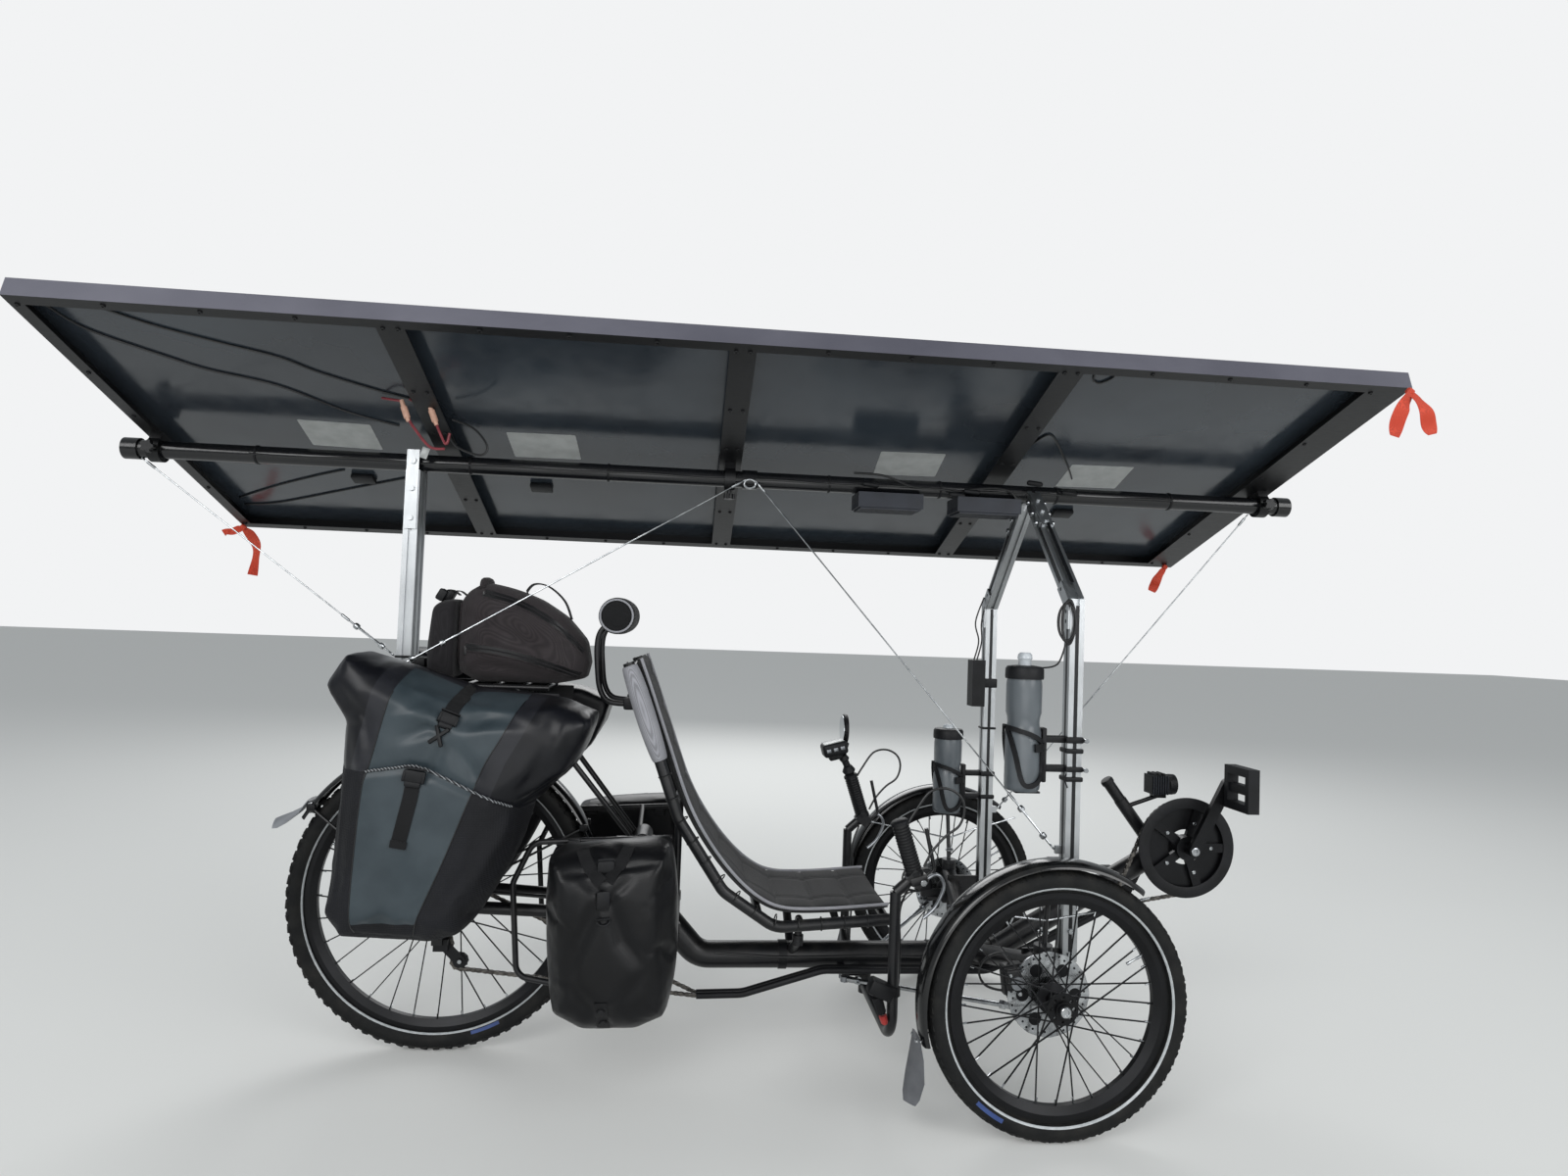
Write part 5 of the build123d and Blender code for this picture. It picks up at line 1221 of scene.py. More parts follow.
def tyreShape(kind):
    spec, centre = tyreSet[kind], wheelSet[kind]["centre"]
    shape = openShape()
    y0, h0, y1, h1 = spec["stripe"]
    side = [(0.435, 0.012), (0.435, h0 * 0.85), (y0 - 0.06, h0 - 0.012), (y0, h0), (y1, h1),
            (0.97, max(0.46, h1 + 0.1)), (1.0, 0.57),
            (0.985, 0.66), (0.93, 0.76), (0.82, 0.855), (0.66, 0.93), (0.48, 0.972), (0.28, 0.992), (0.24, 0.955),
            (0.19, 0.955),
            (0.15, 1.0)]
    height = spec["outer"] - spec["bead"]
    side = [(share * spec["half"], spec["bead"] + rise * height) for share, rise in side]
    profile = [(-along, radius) for along, radius in side] + side[::-1]
    finish = ["reflectiveTape" if j in (3, 2 * len(side) - 5) else "tyreRubber" for j in range(len(profile))]
    turned(shape, profile, centre, (0, 1, 0), finish, 128, closed=True)
    place = wheelPlace(centre)
    for along, radius, tall, around, across, tilt in spec["rows"]:
        for sign in (-1, 1):
            start = 0.0 if sign > 0 else math.pi / spec["blocks"]
            ring(shape, "tyreRubber", studPattern(tall, around, across, -sign * math.radians(tilt)), place,
                 spec["blocks"], radius,
                 sign * along, start + radius * 3, 0.0, 0.22 * sign)
    low, high, (inner, outer), (inLift, outLift) = spec["patch"]
    arc = [math.radians(low + (high - low) * k / 10) for k in range(11)]
    for sign in (-1, 1):
        rings = [[centre + Vector((radius * math.cos(a), sign * lift, radius * math.sin(a))) for radius, lift in
                  ((inner, spec["half"] * (inLift - 0.03)), (outer, spec["half"] * (outLift - 0.03)),
                   (outer, spec["half"] * outLift), (inner, spec["half"] * inLift))]
                 for a in arc]
        loft(shape, rings, "blueRubber")
    return shape


def wheelTrim(kind):  # nipples and valve
    spec = wheelSet[kind]
    shape = openShape()
    ring(shape, "stainlessSteel", pinPattern(0.0019, -0.009, 0.002), wheelPlace(spec["centre"]), 32, spec["rimFoot"],
         0, 0, 0.0015)
    angle = math.radians(spec["valve"])
    spoke = Vector((math.cos(angle), 0, -math.sin(angle)))
    foot = spec["centre"] + spoke * (spec["rimFoot"] + 0.002)
    turned(shape, [(0, 0.0032), (0.012, 0.0032), (0.012, 0.0026), (0.026, 0.0026), (0.028, 0.0036), (0.034, 0.0034),
                   (0.035, 0)], foot, -spoke,
           "stainlessSteel", 10)
    return shape


rotorSet = {"radius": 0.0802, "y": 0.362, "half": 0.00135, "windows": 6, "holes": 36, "holeRadius": 0.0024,
            "arms": 0.0125}


def rotorTrim():  # steel disc, wavy edge, six windows, rows of holes
    centre, shape = wheelSet["front"]["centre"], openShape()
    edge = [(r * math.cos(a), r * math.sin(a)) for a, r in
            [(2 * math.pi * k / 144, rotorSet["radius"] + 0.0007 * math.cos(12 * 2 * math.pi * k / 144))
             for k in range(144)]]
    holes = [circle(0, 0, 0.0165, 32)]
    holes += [circle(0.052 * math.cos(a), 0.052 * math.sin(a), rotorSet["arms"], 20)
              for a in [2 * math.pi * k / rotorSet["windows"] for k in range(rotorSet["windows"])]]
    for k in range(rotorSet["holes"]):
        a, r = 2 * math.pi * (k + 0.5) / rotorSet["holes"], 0.0705 + 0.0035 * (k % 2)
        holes.append(circle(r * math.cos(a), r * math.sin(a), rotorSet["holeRadius"], 8))
    plate(shape, edge, 2 * rotorSet["half"], (centre.x, -rotorSet["y"] + rotorSet["half"], centre.z), (1, 0, 0),
          (0, 0, 1), "stainlessSteel", holes)
    turned(shape, [(0, 0), (0, 0.0235), (0.003, 0.0235), (0.0045, 0.019), (0.0045, 0)],
           (centre.x, -rotorSet["y"] + 0.0005, centre.z), (0, 1, 0), "mouldedNylon", 32)
    ring(shape, "stainlessSteel", pinPattern(0.0026, -0.001, 0.0016, 8),
         wheelPlace((centre.x, -rotorSet["y"] - 0.0018, centre.z)), 6, 0.022)
    turned(shape, [(0, 0), (0, 0.0098), (0.0028, 0.0098), (0.0038, 0.0086), (0.0038, 0.0055), (0.0018, 0.005),
                   (0.0018, 0)],
           (centre.x, centre.y - 0.0405, centre.z), (0, -1, 0), "stainlessSteel", 32)
    return shape


for kind, body in (("front", "front_wheel_SIDE"), ("rear", "rear_wheel")):
    if kind == "front":
        addBoth(tyreShape(kind), "tyreFront", body, stands=("tyre_front",))
        addBoth(wheelTrim(kind), "wheelTrimFront", body)
    else:
        closeShape(tyreShape(kind), "tyreRear", body, ("tyre_rear",))
        closeShape(wheelTrim(kind), "wheelTrimRear", body)
addBoth(rotorTrim(), "rotor", "front_wheel_SIDE")
print("tyres, nipples and rotors made")

# fenders: a thin crowned shell with rolled lips and a soft flap at the low end; angles from +X in degrees
fenderSet = {
    "front": {"centre": Vector((0.606, -0.405, 0.250)), "radius": 0.264, "half": 0.031, "from": 53.0, "to": 195.0,
              "flap": [(0.338, 0.196, 0.026), (0.340, 0.160, 0.027), (0.338, 0.118, 0.0265), (0.332, 0.086, 0.020),
                       (0.329, 0.072, 0.013)],
              "flapFinish": "flapDark", "twist": 1.1},
    "rear": {"centre": Vector((-0.614, 0.0, 0.325)), "radius": 0.339, "half": 0.032, "from": 22.0, "to": 150.0,
             "flap": [(-0.897, 0.530, 0.029), (-0.918, 0.506, 0.030), (-0.944, 0.489, 0.031), (-0.962, 0.480, 0.027),
                      (-0.974, 0.476, 0.018)],
             "flapFinish": "flapPlastic", "twist": 0.5},
}


def fenderShape(kind):
    spec, shape = fenderSet[kind], openShape()
    section = [(-1.0, -0.0075), (-0.97, -0.0035), (-0.80, 0.0015), (-0.45, 0.0040), (0.0, 0.0050), (0.45, 0.0040),
               (0.80, 0.0015), (0.97, -0.0035),
               (1.0, -0.0075), (0.93, -0.0075), (0.90, -0.0040), (0.76, -0.0005), (0.42, 0.0018), (0.0, 0.0028),
               (-0.42, 0.0018),
               (-0.76, -0.0005), (-0.90, -0.0040), (-0.93, -0.0075)]
    rings = []
    for k in range(73):
        a = math.radians(spec["from"] + (spec["to"] - spec["from"]) * k / 72)
        narrow = 1 - 0.35 * max(0.0, 1 - k / 4) ** 2
        rings.append([spec["centre"] + Vector(((spec["radius"] + rise) * math.cos(a), share * narrow * spec["half"],
                (spec["radius"] + rise) * math.sin(a)))
                      for share, rise in section])
    loft(shape, rings, "fenderAbs")
    rings = []
    line = [Vector((x, spec["centre"].y, z)) for x, z, _ in spec["flap"]]
    for i, (point, tangent, _, _) in enumerate(framesAlong(line)):
        out = Vector((tangent.z, 0, -tangent.x))
        half = spec["flap"][i][2]
        across = (Vector((0, 1, 0)) + out * spec["twist"] * i / 4).normalized()
        rings.append([point + across * half * s + out * t for s, t in
                      ((-1, 0), (-0.8, -0.0022), (-0.1, -0.003), (0.1, -0.003), (0.8, -0.0022), (1, 0), (0.8, 0.0022),
                       (0.1, 0.0035), (-0.1, 0.0035), (-0.8, 0.0022))])
    loft(shape, rings, spec["flapFinish"])
    for y in (-0.016, 0.016):  # rivets that hold the flap
        turned(shape, [(-0.005, 0), (-0.005, 0.0035), (0.004, 0.0035), (0.0055, 0.002), (0.0055, 0)],
               line[0] + Vector((0, y, -0.006)),
               (-1, 0, 0.2), "stainlessSteel", 10)
    return shape


fenderFront = fenderShape("front")
tube(fenderFront, [(0.606, -0.334, 0.353), (0.606, -0.345, 0.400), (0.606, -0.366, 0.492), (0.606, -0.374, 0.507)],
     0.005, "powderCoatedSteel", 10)
slab(fenderFront, (0.606, -0.376, 0.508), (0.030, 0.016, 0.012), "mouldedNylon", None, 0.003)
for x, z, y in ((0.40, 0.42, -0.372), (0.80, 0.437, -0.372)):  # thin steel stays to the knuckle's arm
    tube(fenderFront, [(0.606, -0.345, 0.385), (x * 0.4 + 0.606 * 0.6, -0.365, z * 0.4 + 0.385 * 0.6), (x, y, z)],
         0.0022, "stainlessSteel", 8)
addBoth(fenderFront, "fenderFront", "front_knuckle_SIDE", stands=("fender_front",))
fenderRear = fenderShape("rear")
for side in (-1, 1):  # wire stays to the drop-outs
    for high, low in (((-0.888, 0.031, 0.517), (-0.644, 0.0812, 0.340)),
                      ((-0.318, 0.031, 0.482), (-0.584, 0.0812, 0.346))):
        high, low = (Vector((p[0], p[1] * side, p[2])) for p in (high, low))
        tube(fenderRear, [high, high.lerp(low, 0.5), low], 0.0026, "blackSleeve", 8)
        slab(fenderRear, high, (0.018, 0.010, 0.014), "mouldedNylon", None, 0.002)
closeShape(fenderRear, "fenderRear", "chassis", ("rear_fender",))
print("fenders made")

# brakes: caliper on the rotor, a short hose loop above the tie rod's swing, bolts of the knuckle
brakeSet = {"caliper": (0.540, -0.350, 0.2755), "size": (0.043, 0.030, 0.058), "rodInner": (0.273, -0.011, 0.149),
            "rodOuter": (0.558, -0.341, 0.217)}


def brakeShape():
    shape = openShape()
    x, y, z = brakeSet["caliper"]
    turn = leaned(math.radians(-8))
    slab(shape, (x, y + 0.003, z), brakeSet["size"], "mouldedNylon", turn, 0.006, 3)
    slab(shape, (x - 0.004, y - 0.015, z + 0.004), (0.030, 0.012, 0.040), "powderCoatedSteel", turn, 0.004, 3)
    for dy, depth in ((-0.0225, 0.004), (0.019, 0.006)):
        turned(shape, [(-depth, 0), (-depth, 0.0125), (depth * 0.5, 0.0125), (depth, 0.010), (depth, 0)],
               (x, y + dy, z), (0, 1, 0), "greyLever", 24)
    slab(shape, (x + 0.018, y + 0.010, z - 0.030), (0.056, 0.006, 0.018), "greyLever", leaned(0.5), 0.002)
    bolt = boltPattern(0.0042, 0.0036)
    spots(shape, "stainlessSteel", bolt, [((x + 0.012, y - 0.0215, z + 0.022), (0, -1, 0)),
            ((x + 0.006, y - 0.0215, z - 0.020), (0, -1, 0)),
                                          ((x - 0.014, y - 0.0215, z + 0.014), (0, -1, 0)),
                                                  ((0.606, -0.330, 0.360), (0, 0, 1)),
                                          ((0.558, -0.341, 0.2342), (0, 0, 1)),
                                                  ((0.606, -0.3475, 0.242), (0, -1, 0))])
    hose = smoothLine([(x - 0.006, y + 0.006, z + 0.028), (x - 0.022, y + 0.012, z + 0.044),
                       (x - 0.050, y + 0.020, z + 0.030),
                       (x - 0.060, y + 0.024, z + 0.004), (x - 0.048, y + 0.024, z - 0.020),
                       (x - 0.022, y + 0.018, z - 0.028), (x + 0.004, y + 0.013, z - 0.026)], 8)
    tube(shape, hose, hoseRadius, "blackSleeve", 8)
    turned(shape, [(0, 0.0105), (0.004, 0.0105), (0.006, 0.008), (0.009, 0.008), (0.009, 0)], (0.606, -0.330, 0.356),
           (0, 0, 1), "stainlessSteel", 20)
    return shape


addBoth(brakeShape(), "brake", "front_knuckle_SIDE")


def tieRodTrim():  # lock nuts, rubber boots and eyes
    shape = openShape()
    inner, outer = Vector(brakeSet["rodInner"]), Vector(brakeSet["rodOuter"])
    way = (outer - inner).normalized()
    for end, sign in ((inner, 1), (outer, -1)):
        start = end + way * sign * 0.012
        turned(shape, [(0, 0), (0, 0.0078), (0.020, 0.0070), (0.022, 0.0090), (0.030, 0.0090), (0.030, 0)], start,
               way * sign, "stainlessSteel", 6)
        turned(shape, [(-0.0056, 0.0046), (-0.0056, 0.0098), (0.0056, 0.0098), (0.0056, 0.0046)], end, (0, 0, 1),
               "greyLever", 20, closed=True)
    return shape


addBoth(tieRodTrim(), "tieRodTrim", "link_SIDE")
print("brakes and tie rods made")

# drive train: roller chain of inner and outer links by turns, where the CAD band lies; teeth, pulleys, guard
driveSet = {
    "pitch": 0.0127, "linkHeight": 0.0082, "crank": (1.050, 0.461), "axle": (-0.614, 0.325), "guide": (-0.600, 0.240),
            "tension": (-0.562, 0.203),
    "frontTube": (0.880, 0.330), "rearTube": (-0.060, 0.132), "ringWrap": 0.1055, "cogWrap": 0.0605,
            "pulleyWrap": 0.0178,
    "ringY": -0.048, "gearY": -0.045, "driveY": -0.044, "returnY": -0.060,
}


def linkPattern(halfWidth, pitch, height):  # two waisted side plates and a roller, along X
    shape = openShape()
    waist = height * 0.36
    outline = [(-pitch / 2 - height / 2 + 0.0006, 0), (-pitch / 2 - height * 0.3, height * 0.42),
               (-pitch / 2 + height * 0.2, height * 0.45), (0, waist),
               (pitch / 2 - height * 0.2, height * 0.45), (pitch / 2 + height * 0.3, height * 0.42)]
    outline += [(-px, -pz) for px, pz in outline]
    for side in (-1, 1):
        rings = [[(px, side * halfWidth + dy, pz) for px, pz in outline] for dy in (-0.0005, 0.0005)]
        loft(shape, rings, None)
    turned(shape, [(-halfWidth - 0.0009, 0), (-halfWidth - 0.0009, 0.0018), (halfWidth + 0.0009, 0.0018),
                   (halfWidth + 0.0009, 0)], (-pitch / 2, 0, 0), (0, 1, 0), None, 6)
    turned(shape, [(-halfWidth + 0.0007, 0.0038), (halfWidth - 0.0007, 0.0038)], (-pitch / 2, 0, 0), (0, 1, 0), None,
           8)
    return shape


def arcPoints(centre, radius, y, start, sweep, step=5.0):
    count = max(2, int(abs(sweep) / step))
    return [Vector((centre[0] + radius * math.cos(a), y, centre[1] + radius * math.sin(a)))
            for a in [math.radians(start + sweep * k / count) for k in range(count + 1)]]


def awayAngles(centre, radius, point):  # where a tangent from a point meets a circle
    dx, dz = point[0] - centre[0], point[1] - centre[1]
    return math.degrees(math.atan2(dz, dx)), math.degrees(math.acos(radius / math.hypot(dx, dz)))


def crossing(first, firstRadius, second, secondRadius, side):  # tangent that crosses between two circles
    dx, dz = second[0] - first[0], second[1] - first[1]
    return math.degrees(math.atan2(dz, dx) + side * math.acos((firstRadius + secondRadius) / math.hypot(dx, dz)))


def chainPaths():
    d = driveSet
    mouth, spread = awayAngles(d["crank"], d["ringWrap"], d["frontTube"])
    front = [Vector((d["frontTube"][0], d["driveY"], d["frontTube"][1]))]
    front += arcPoints(d["crank"], d["ringWrap"], d["ringY"], mouth - spread, 2 * spread - 360)
    front.append(Vector((d["frontTube"][0], d["returnY"], d["frontTube"][1])))
    tail, tailSpread = awayAngles(d["axle"], d["cogWrap"], d["rearTube"])
    leaveCog = crossing(d["axle"], d["cogWrap"], d["guide"], d["pulleyWrap"], -1)
    leaveGuide = crossing(d["guide"], d["pulleyWrap"], d["tension"], d["pulleyWrap"], 1)
    rear = [Vector((d["rearTube"][0], d["driveY"], d["rearTube"][1]))]
    rear += arcPoints(d["axle"], d["cogWrap"], d["gearY"], tail + tailSpread, leaveCog + 360 - tail - tailSpread)
    rear += arcPoints(d["guide"], d["pulleyWrap"], d["gearY"], leaveCog + 180, leaveGuide - leaveCog - 180, 12)
    rear += arcPoints(d["tension"], d["pulleyWrap"], d["gearY"], leaveGuide + 180, 90 - leaveGuide, 12)
    rear.append(Vector((d["rearTube"][0], d["returnY"], d["rearTube"][1])))
    return front, rear


def chainShape():
    shape = openShape()
    for path in chainPaths():
        base = bpy.data.meshes.new("chainPath")
        base.from_pydata([tuple(p) for p in path], [(i, i + 1) for i in range(len(path) - 1)], [])
        grow(shape, piecesAlongPath, "oiledSteel", {
            "Piece": linkPattern(0.0023, driveSet["pitch"], driveSet["linkHeight"]),
            "Between": linkPattern(0.0034, driveSet["pitch"], driveSet["linkHeight"]), "Pitch": driveSet["pitch"]},
             None, base)
    return shape


def toothPattern(height, around, thick):
    return studPattern(height, around, thick, 0.0, 0.4, 0.001)


closeShape(chainShape(), "chainLinks", "chassis", ("chain",), recalculate=False)
(crankX, crankZ), (axleX, axleZ) = driveSet["crank"], driveSet["axle"]
cogTeeth = openShape()
for count, radius, y in ((28, 0.0585, -0.045), (24, 0.0505, -0.047), (21, 0.0435, -0.049), (18, 0.0375, -0.051)):
    ring(cogTeeth, "oiledSteel", toothPattern(0.0042, 0.0075, 0.0016), wheelPlace((axleX, y, axleZ)), count, radius)
closeShape(cogTeeth, "cogTeeth", "rear_wheel")
crankTrim = openShape()
ring(crankTrim, "oiledSteel", toothPattern(0.0045, 0.0080, 0.0022), wheelPlace((crankX, driveSet["ringY"], crankZ)),
     48, 0.1035)
crankWay = Vector((math.cos(math.radians(63)), 0, math.sin(math.radians(63))))
boltSpots = hoop((crankX, -0.0595, crankZ), (0.058, 0, 0), (0, 0, 0.058), 5)
spots(crankTrim, "stainlessSteel", boltPattern(0.0045, 0.003), [(spot, (0, -1, 0)) for spot in boltSpots])
for side in (-1, 1):  # crank bolts and the arms' bright pedal ends
    hub = Vector((crankX, side * 0.0972, crankZ))
    turned(crankTrim, [(0, 0), (0, 0.0095), (0.0022, 0.0095), (0.0030, 0.0080), (0.0030, 0.0045), (0.001, 0.0045),
                       (0.001, 0)], hub, (0, side, 0), "stainlessSteel", 24)
    tip = hub + crankWay * (-side * 0.170)
    turned(crankTrim, [(0, 0), (0, 0.0085), (0.0012, 0.0085), (0.0012, 0)], tip, (0, side, 0), "greyLever", 20)
turned(crankTrim, [(-0.0012, 0.0895), (-0.0012, 0.1138), (0.0028, 0.1138), (0.0036, 0.1120), (0.0036, 0.0915),
                   (0.0028, 0.0895)], (crankX, -0.0578, crankZ), (0, -1, 0),
       "mouldedNylon", 96, closed=True)
closeShape(crankTrim, "crankTrim", "cranks")
gearTrim = openShape()
for centre in (driveSet["guide"], driveSet["tension"]):
    ring(gearTrim, "mouldedNylon", toothPattern(0.0034, 0.006, 0.002), wheelPlace((centre[0], -0.0455, centre[1])),
         11, 0.0142)
    turned(gearTrim, [(0, 0), (0, 0.0042), (0.003, 0.0042), (0.003, 0)], (centre[0], -0.0545, centre[1]), (0, -1, 0),
           "stainlessSteel", 12)
closeShape(gearTrim, "gearTrim", "chassis")
print("drive train made")

# roof trim, all laid out in the roof's own plane: x, across it towards the low edge, and down from the laminate
roofSet = {
    "laminate": 0.0607, "flange": 0.030, "panelEdges": (-1.280, -0.654, -0.028, 0.598, 1.224), "rim": 0.465,
    "labels": ((-0.888, 0.002, -0.04), (-0.447, 0.003, 0.02), (0.390, -0.004, 0.03), (0.847, 0.008, 0.03)),
           "labelSize": (0.150, 0.112),
    "leads": [
        [(-1.250, -0.415), (-1.217, -0.347), (-1.115, -0.271), (-1.058, -0.235), (-0.945, -0.191), (-0.838, -0.102),
         (-0.748, -0.056)],
        [(-1.181, -0.434), (-1.098, -0.378), (-0.998, -0.333), (-0.906, -0.295), (-0.847, -0.250), (-0.750, -0.195),
         (-0.688, -0.168)],
        [(-1.250, 0.393), (-1.158, 0.373), (-0.969, 0.281), (-0.791, 0.193)],
        [(-1.247, 0.354), (-1.119, 0.270), (-1.002, 0.204), (-0.934, 0.170)],
        [(0.624, -0.161), (0.640, -0.134), (0.670, -0.174), (0.754, -0.052), (0.797, 0.021)]],
    "loops": [[(0.667, -0.433), (0.690, -0.432), (0.706, -0.412), (0.690, -0.386), (0.672, -0.392), (0.664, -0.415)]],
}
roofAcross = Vector((0, math.cos(roofTilt), -math.sin(roofTilt)))
roofNormal = Vector((0, math.sin(roofTilt), math.cos(roofTilt)))


def roofPoint(x, across, down=0.0):
    return Vector((x, 0, ridgeHeight)) + roofAcross * across + roofNormal * (roofSet["laminate"] - down)


def rounded(width, height, radius, turn=0.0):  # outline of a label or a lens
    points = []
    for cx, cy, start in ((1, 1, 0), (-1, 1, 90), (-1, -1, 180), (1, -1, 270)):
        points += [(cx * (width / 2 - radius) + radius * math.cos(math.radians(a)),
                    cy * (height / 2 - radius) + radius * math.sin(math.radians(a)))
                   for a in range(start, start + 91, 18)]
    return [(x * math.cos(turn) - y * math.sin(turn), x * math.sin(turn) + y * math.cos(turn)) for x, y in points]


def roofTrim():
    shape = openShape()
    for x, across, turn in roofSet["labels"]:  # blank silver labels
        plate(shape, rounded(*roofSet["labelSize"], 0.004, turn), 0.0007, roofPoint(x, across, 0.0), (1, 0, 0),
              -roofAcross, "silverLabel")
    for lead in roofSet["leads"] + roofSet["loops"]:
        tube(shape, smoothLine([roofPoint(x, across, 0.0022) for x, across in lead], 8), 0.0021, "blackSleeve", 8)
    edges, places = roofSet["panelEdges"], []
    for k, x in enumerate(edges):  # screws in the ribs' flanges
        for offset in (-0.013, 0.013):
            if (k or offset > 0) and (k < 4 or offset < 0):
                places += [(roofPoint(x + offset, across, roofSet["flange"]), -roofNormal)
                           for across in (-0.452, -0.245, -0.085, 0.085, 0.245, 0.452)]
    for a, b in zip(edges, edges[1:]):
        places += [(roofPoint(a + (b - a) * share, side * roofSet["rim"], roofSet["flange"]), -roofNormal)
                   for share in (0.25, 0.5, 0.75) for side in (-1, 1)]
    spots(shape, "powderCoatedSteel", boltPattern(0.0042, 0.0028), places)
    for x in (-0.900, -0.480, 0.350, 0.845):  # junction boxes' glands beside the labels
        slab(shape, roofPoint(x, 0.205, 0.006), (0.052, 0.034, 0.012), "mouldedNylon",
             Euler((-roofTilt, 0, 0)).to_matrix(), 0.003)
    return shape


closeShape(roofTrim(), "roofTrim", "roof")


# leads that hang beside the ridge tube, as (x, z) lines in two planes, with the sockets of the red ones
wiringSet = {
    "redY": -0.165, "loopY": -0.12, "redRadius": 0.0028,
    "red": [[(-0.6940, 1.3346), (-0.6772, 1.3104), (-0.6464, 1.2759), (-0.6165, 1.2731)],
            [(-0.6389, 1.3309), (-0.6287, 1.3076), (-0.6147, 1.2833), (-0.6081, 1.3057)]],
    "loop": [(-0.6158, 1.3438), (-0.5700, 1.3256), (-0.5423, 1.2903), (-0.5567, 1.2712), (-0.6034, 1.2865),
             (-0.6206, 1.3075)],
    "sockets": (((-0.6996, 1.3496), (-0.6940, 1.3346)), ((-0.6445, 1.3449), (-0.6389, 1.3309))),
}


def inPlane(line, y):
    return [Vector((x, y, z)) for x, z in line]


def wiring():
    shape = openShape()
    for line in wiringSet["red"]:
        tube(shape, smoothLine(inPlane(line, wiringSet["redY"]), 8), wiringSet["redRadius"], "redSleeve", 8)
    tube(shape, smoothLine(inPlane(wiringSet["loop"], wiringSet["loopY"]), 8), hoseRadius, "blackSleeve", 8)
    for socket in wiringSet["sockets"]:
        start, end = inPlane(socket, wiringSet["redY"])
        way = (end - start).normalized()
        turned(shape, [(-0.020, 0), (-0.020, 0.0045), (-0.006, 0.0048), (-0.006, 0.0065), (0.018, 0.0065),
                       (0.018, 0.0045), (0.026, 0.004), (0.026, 0)],
               start, way, "beigeNylon", 14)
        feed = [start - way * 0.018, start - way * 0.024 + Vector((-0.016, 0, -0.004)),
                roofPoint(start.x - 0.05, -0.175, 0.006)]
        tube(shape, smoothLine(feed, 8), 0.0026, "redSleeve", 8)
    return shape


closeShape(wiring(), "roofWiring", "roof")


# ridge tube: leads and plugs beside it, blank tag, ties, eye of the middle stays, fins of both controllers
ridgeSet = {
    "leads": ((-0.034, [(0.2524, 1.2905), (0.3231, 1.2875), (0.3898, 1.2656), (0.4675, 1.2626), (0.5103, 1.2507)]),
              (-0.036, [(0.5157, 1.2643), (0.5694, 1.2712), (0.6191, 1.2653), (0.6380, 1.2325), (0.6201, 1.2076)])),
    "plugs": [(0.2923, 1.2656), (0.6776, 1.2875), (0.7612, 1.2686), (0.4944, 1.2517), (0.5282, 1.2606)],
    "ties": (-1.05, -0.60, -0.30, 0.20, 0.46, 0.74, 1.02), "finRows": (0.338, 0.568), "finFoot": 1.2150,
            "finCount": 11,
}


def ridgeTrim():
    shape = openShape()
    for y, line in ridgeSet["leads"]:
        tube(shape, smoothLine(inPlane(line, y), 8), 0.0026, "blackSleeve", 8)
    for place in inPlane(ridgeSet["plugs"], -0.034):
        turned(shape, [(-0.018, 0), (-0.018, 0.004), (-0.014, 0.0062), (0.014, 0.0062), (0.018, 0.004), (0.018, 0)],
               place, (1, 0, -0.1), "mouldedNylon", 12)
    slab(shape, (-0.6880, -0.05, 1.2818), (0.016, 0.001, 0.024), "silverLabel", leaned(0.3), 0.0003)
    for x in ridgeSet["ties"]:
        turned(shape, [(-0.0022, 0.0192), (-0.0022, 0.0206), (0.0022, 0.0206), (0.0022, 0.0192)], (x, 0, ridgeHeight),
               (1, 0, 0), "mouldedNylon", 32, closed=True)
    tube(shape, [Vector((x, -0.0218, ridgeHeight - 0.002 + 0.002 * math.sin(x * 21)))
                 for x in [-1.06 + 0.04 * k for k in range(53)]], hoseRadius, "blackSleeve", 6)
    eye = hoop((0.017, -0.024, ridgeHeight - 0.012), (0.013, 0, 0), (0, 0, 0.010))
    tube(shape, eye, 0.0026, "stainlessSteel", 8, closed=True)
    fins = [((x, -0.040 + 0.080 * k / (ridgeSet["finCount"] - 1), ridgeSet["finFoot"]), (0, 0, -1))
            for x in ridgeSet["finRows"] for k in range(ridgeSet["finCount"])]
    fin = openShape()
    slab(fin, (0, 0, 0.0025), (0.140, 0.0022, 0.006), None, None, 0)
    spots(shape, "castHeatsink", fin, fins)
    return shape


closeShape(ridgeTrim(), "ridgeTrim", "chassis")
print("roof trim and wiring made")

# stays: wire rope with swaged ends and thimbles, an open turnbuckle near the low end of each
staySet = {
    "runs": [((-1.284, 0, 1.2464), (-0.7442, 0, 0.842)), ((0.004, -0.024, 1.262), (-0.7029, -0.114, 0.824)),
             ((0.030, -0.024, 1.262), (0.6515, -0.262, 0.502)), ((1.226, 0.004, 1.2465), (0.7086, 0.262, 0.480))],
    "rope": 0.0016, "buckleFar": 0.110, "buckleNear": 0.026, "barGap": 0.0052,
}


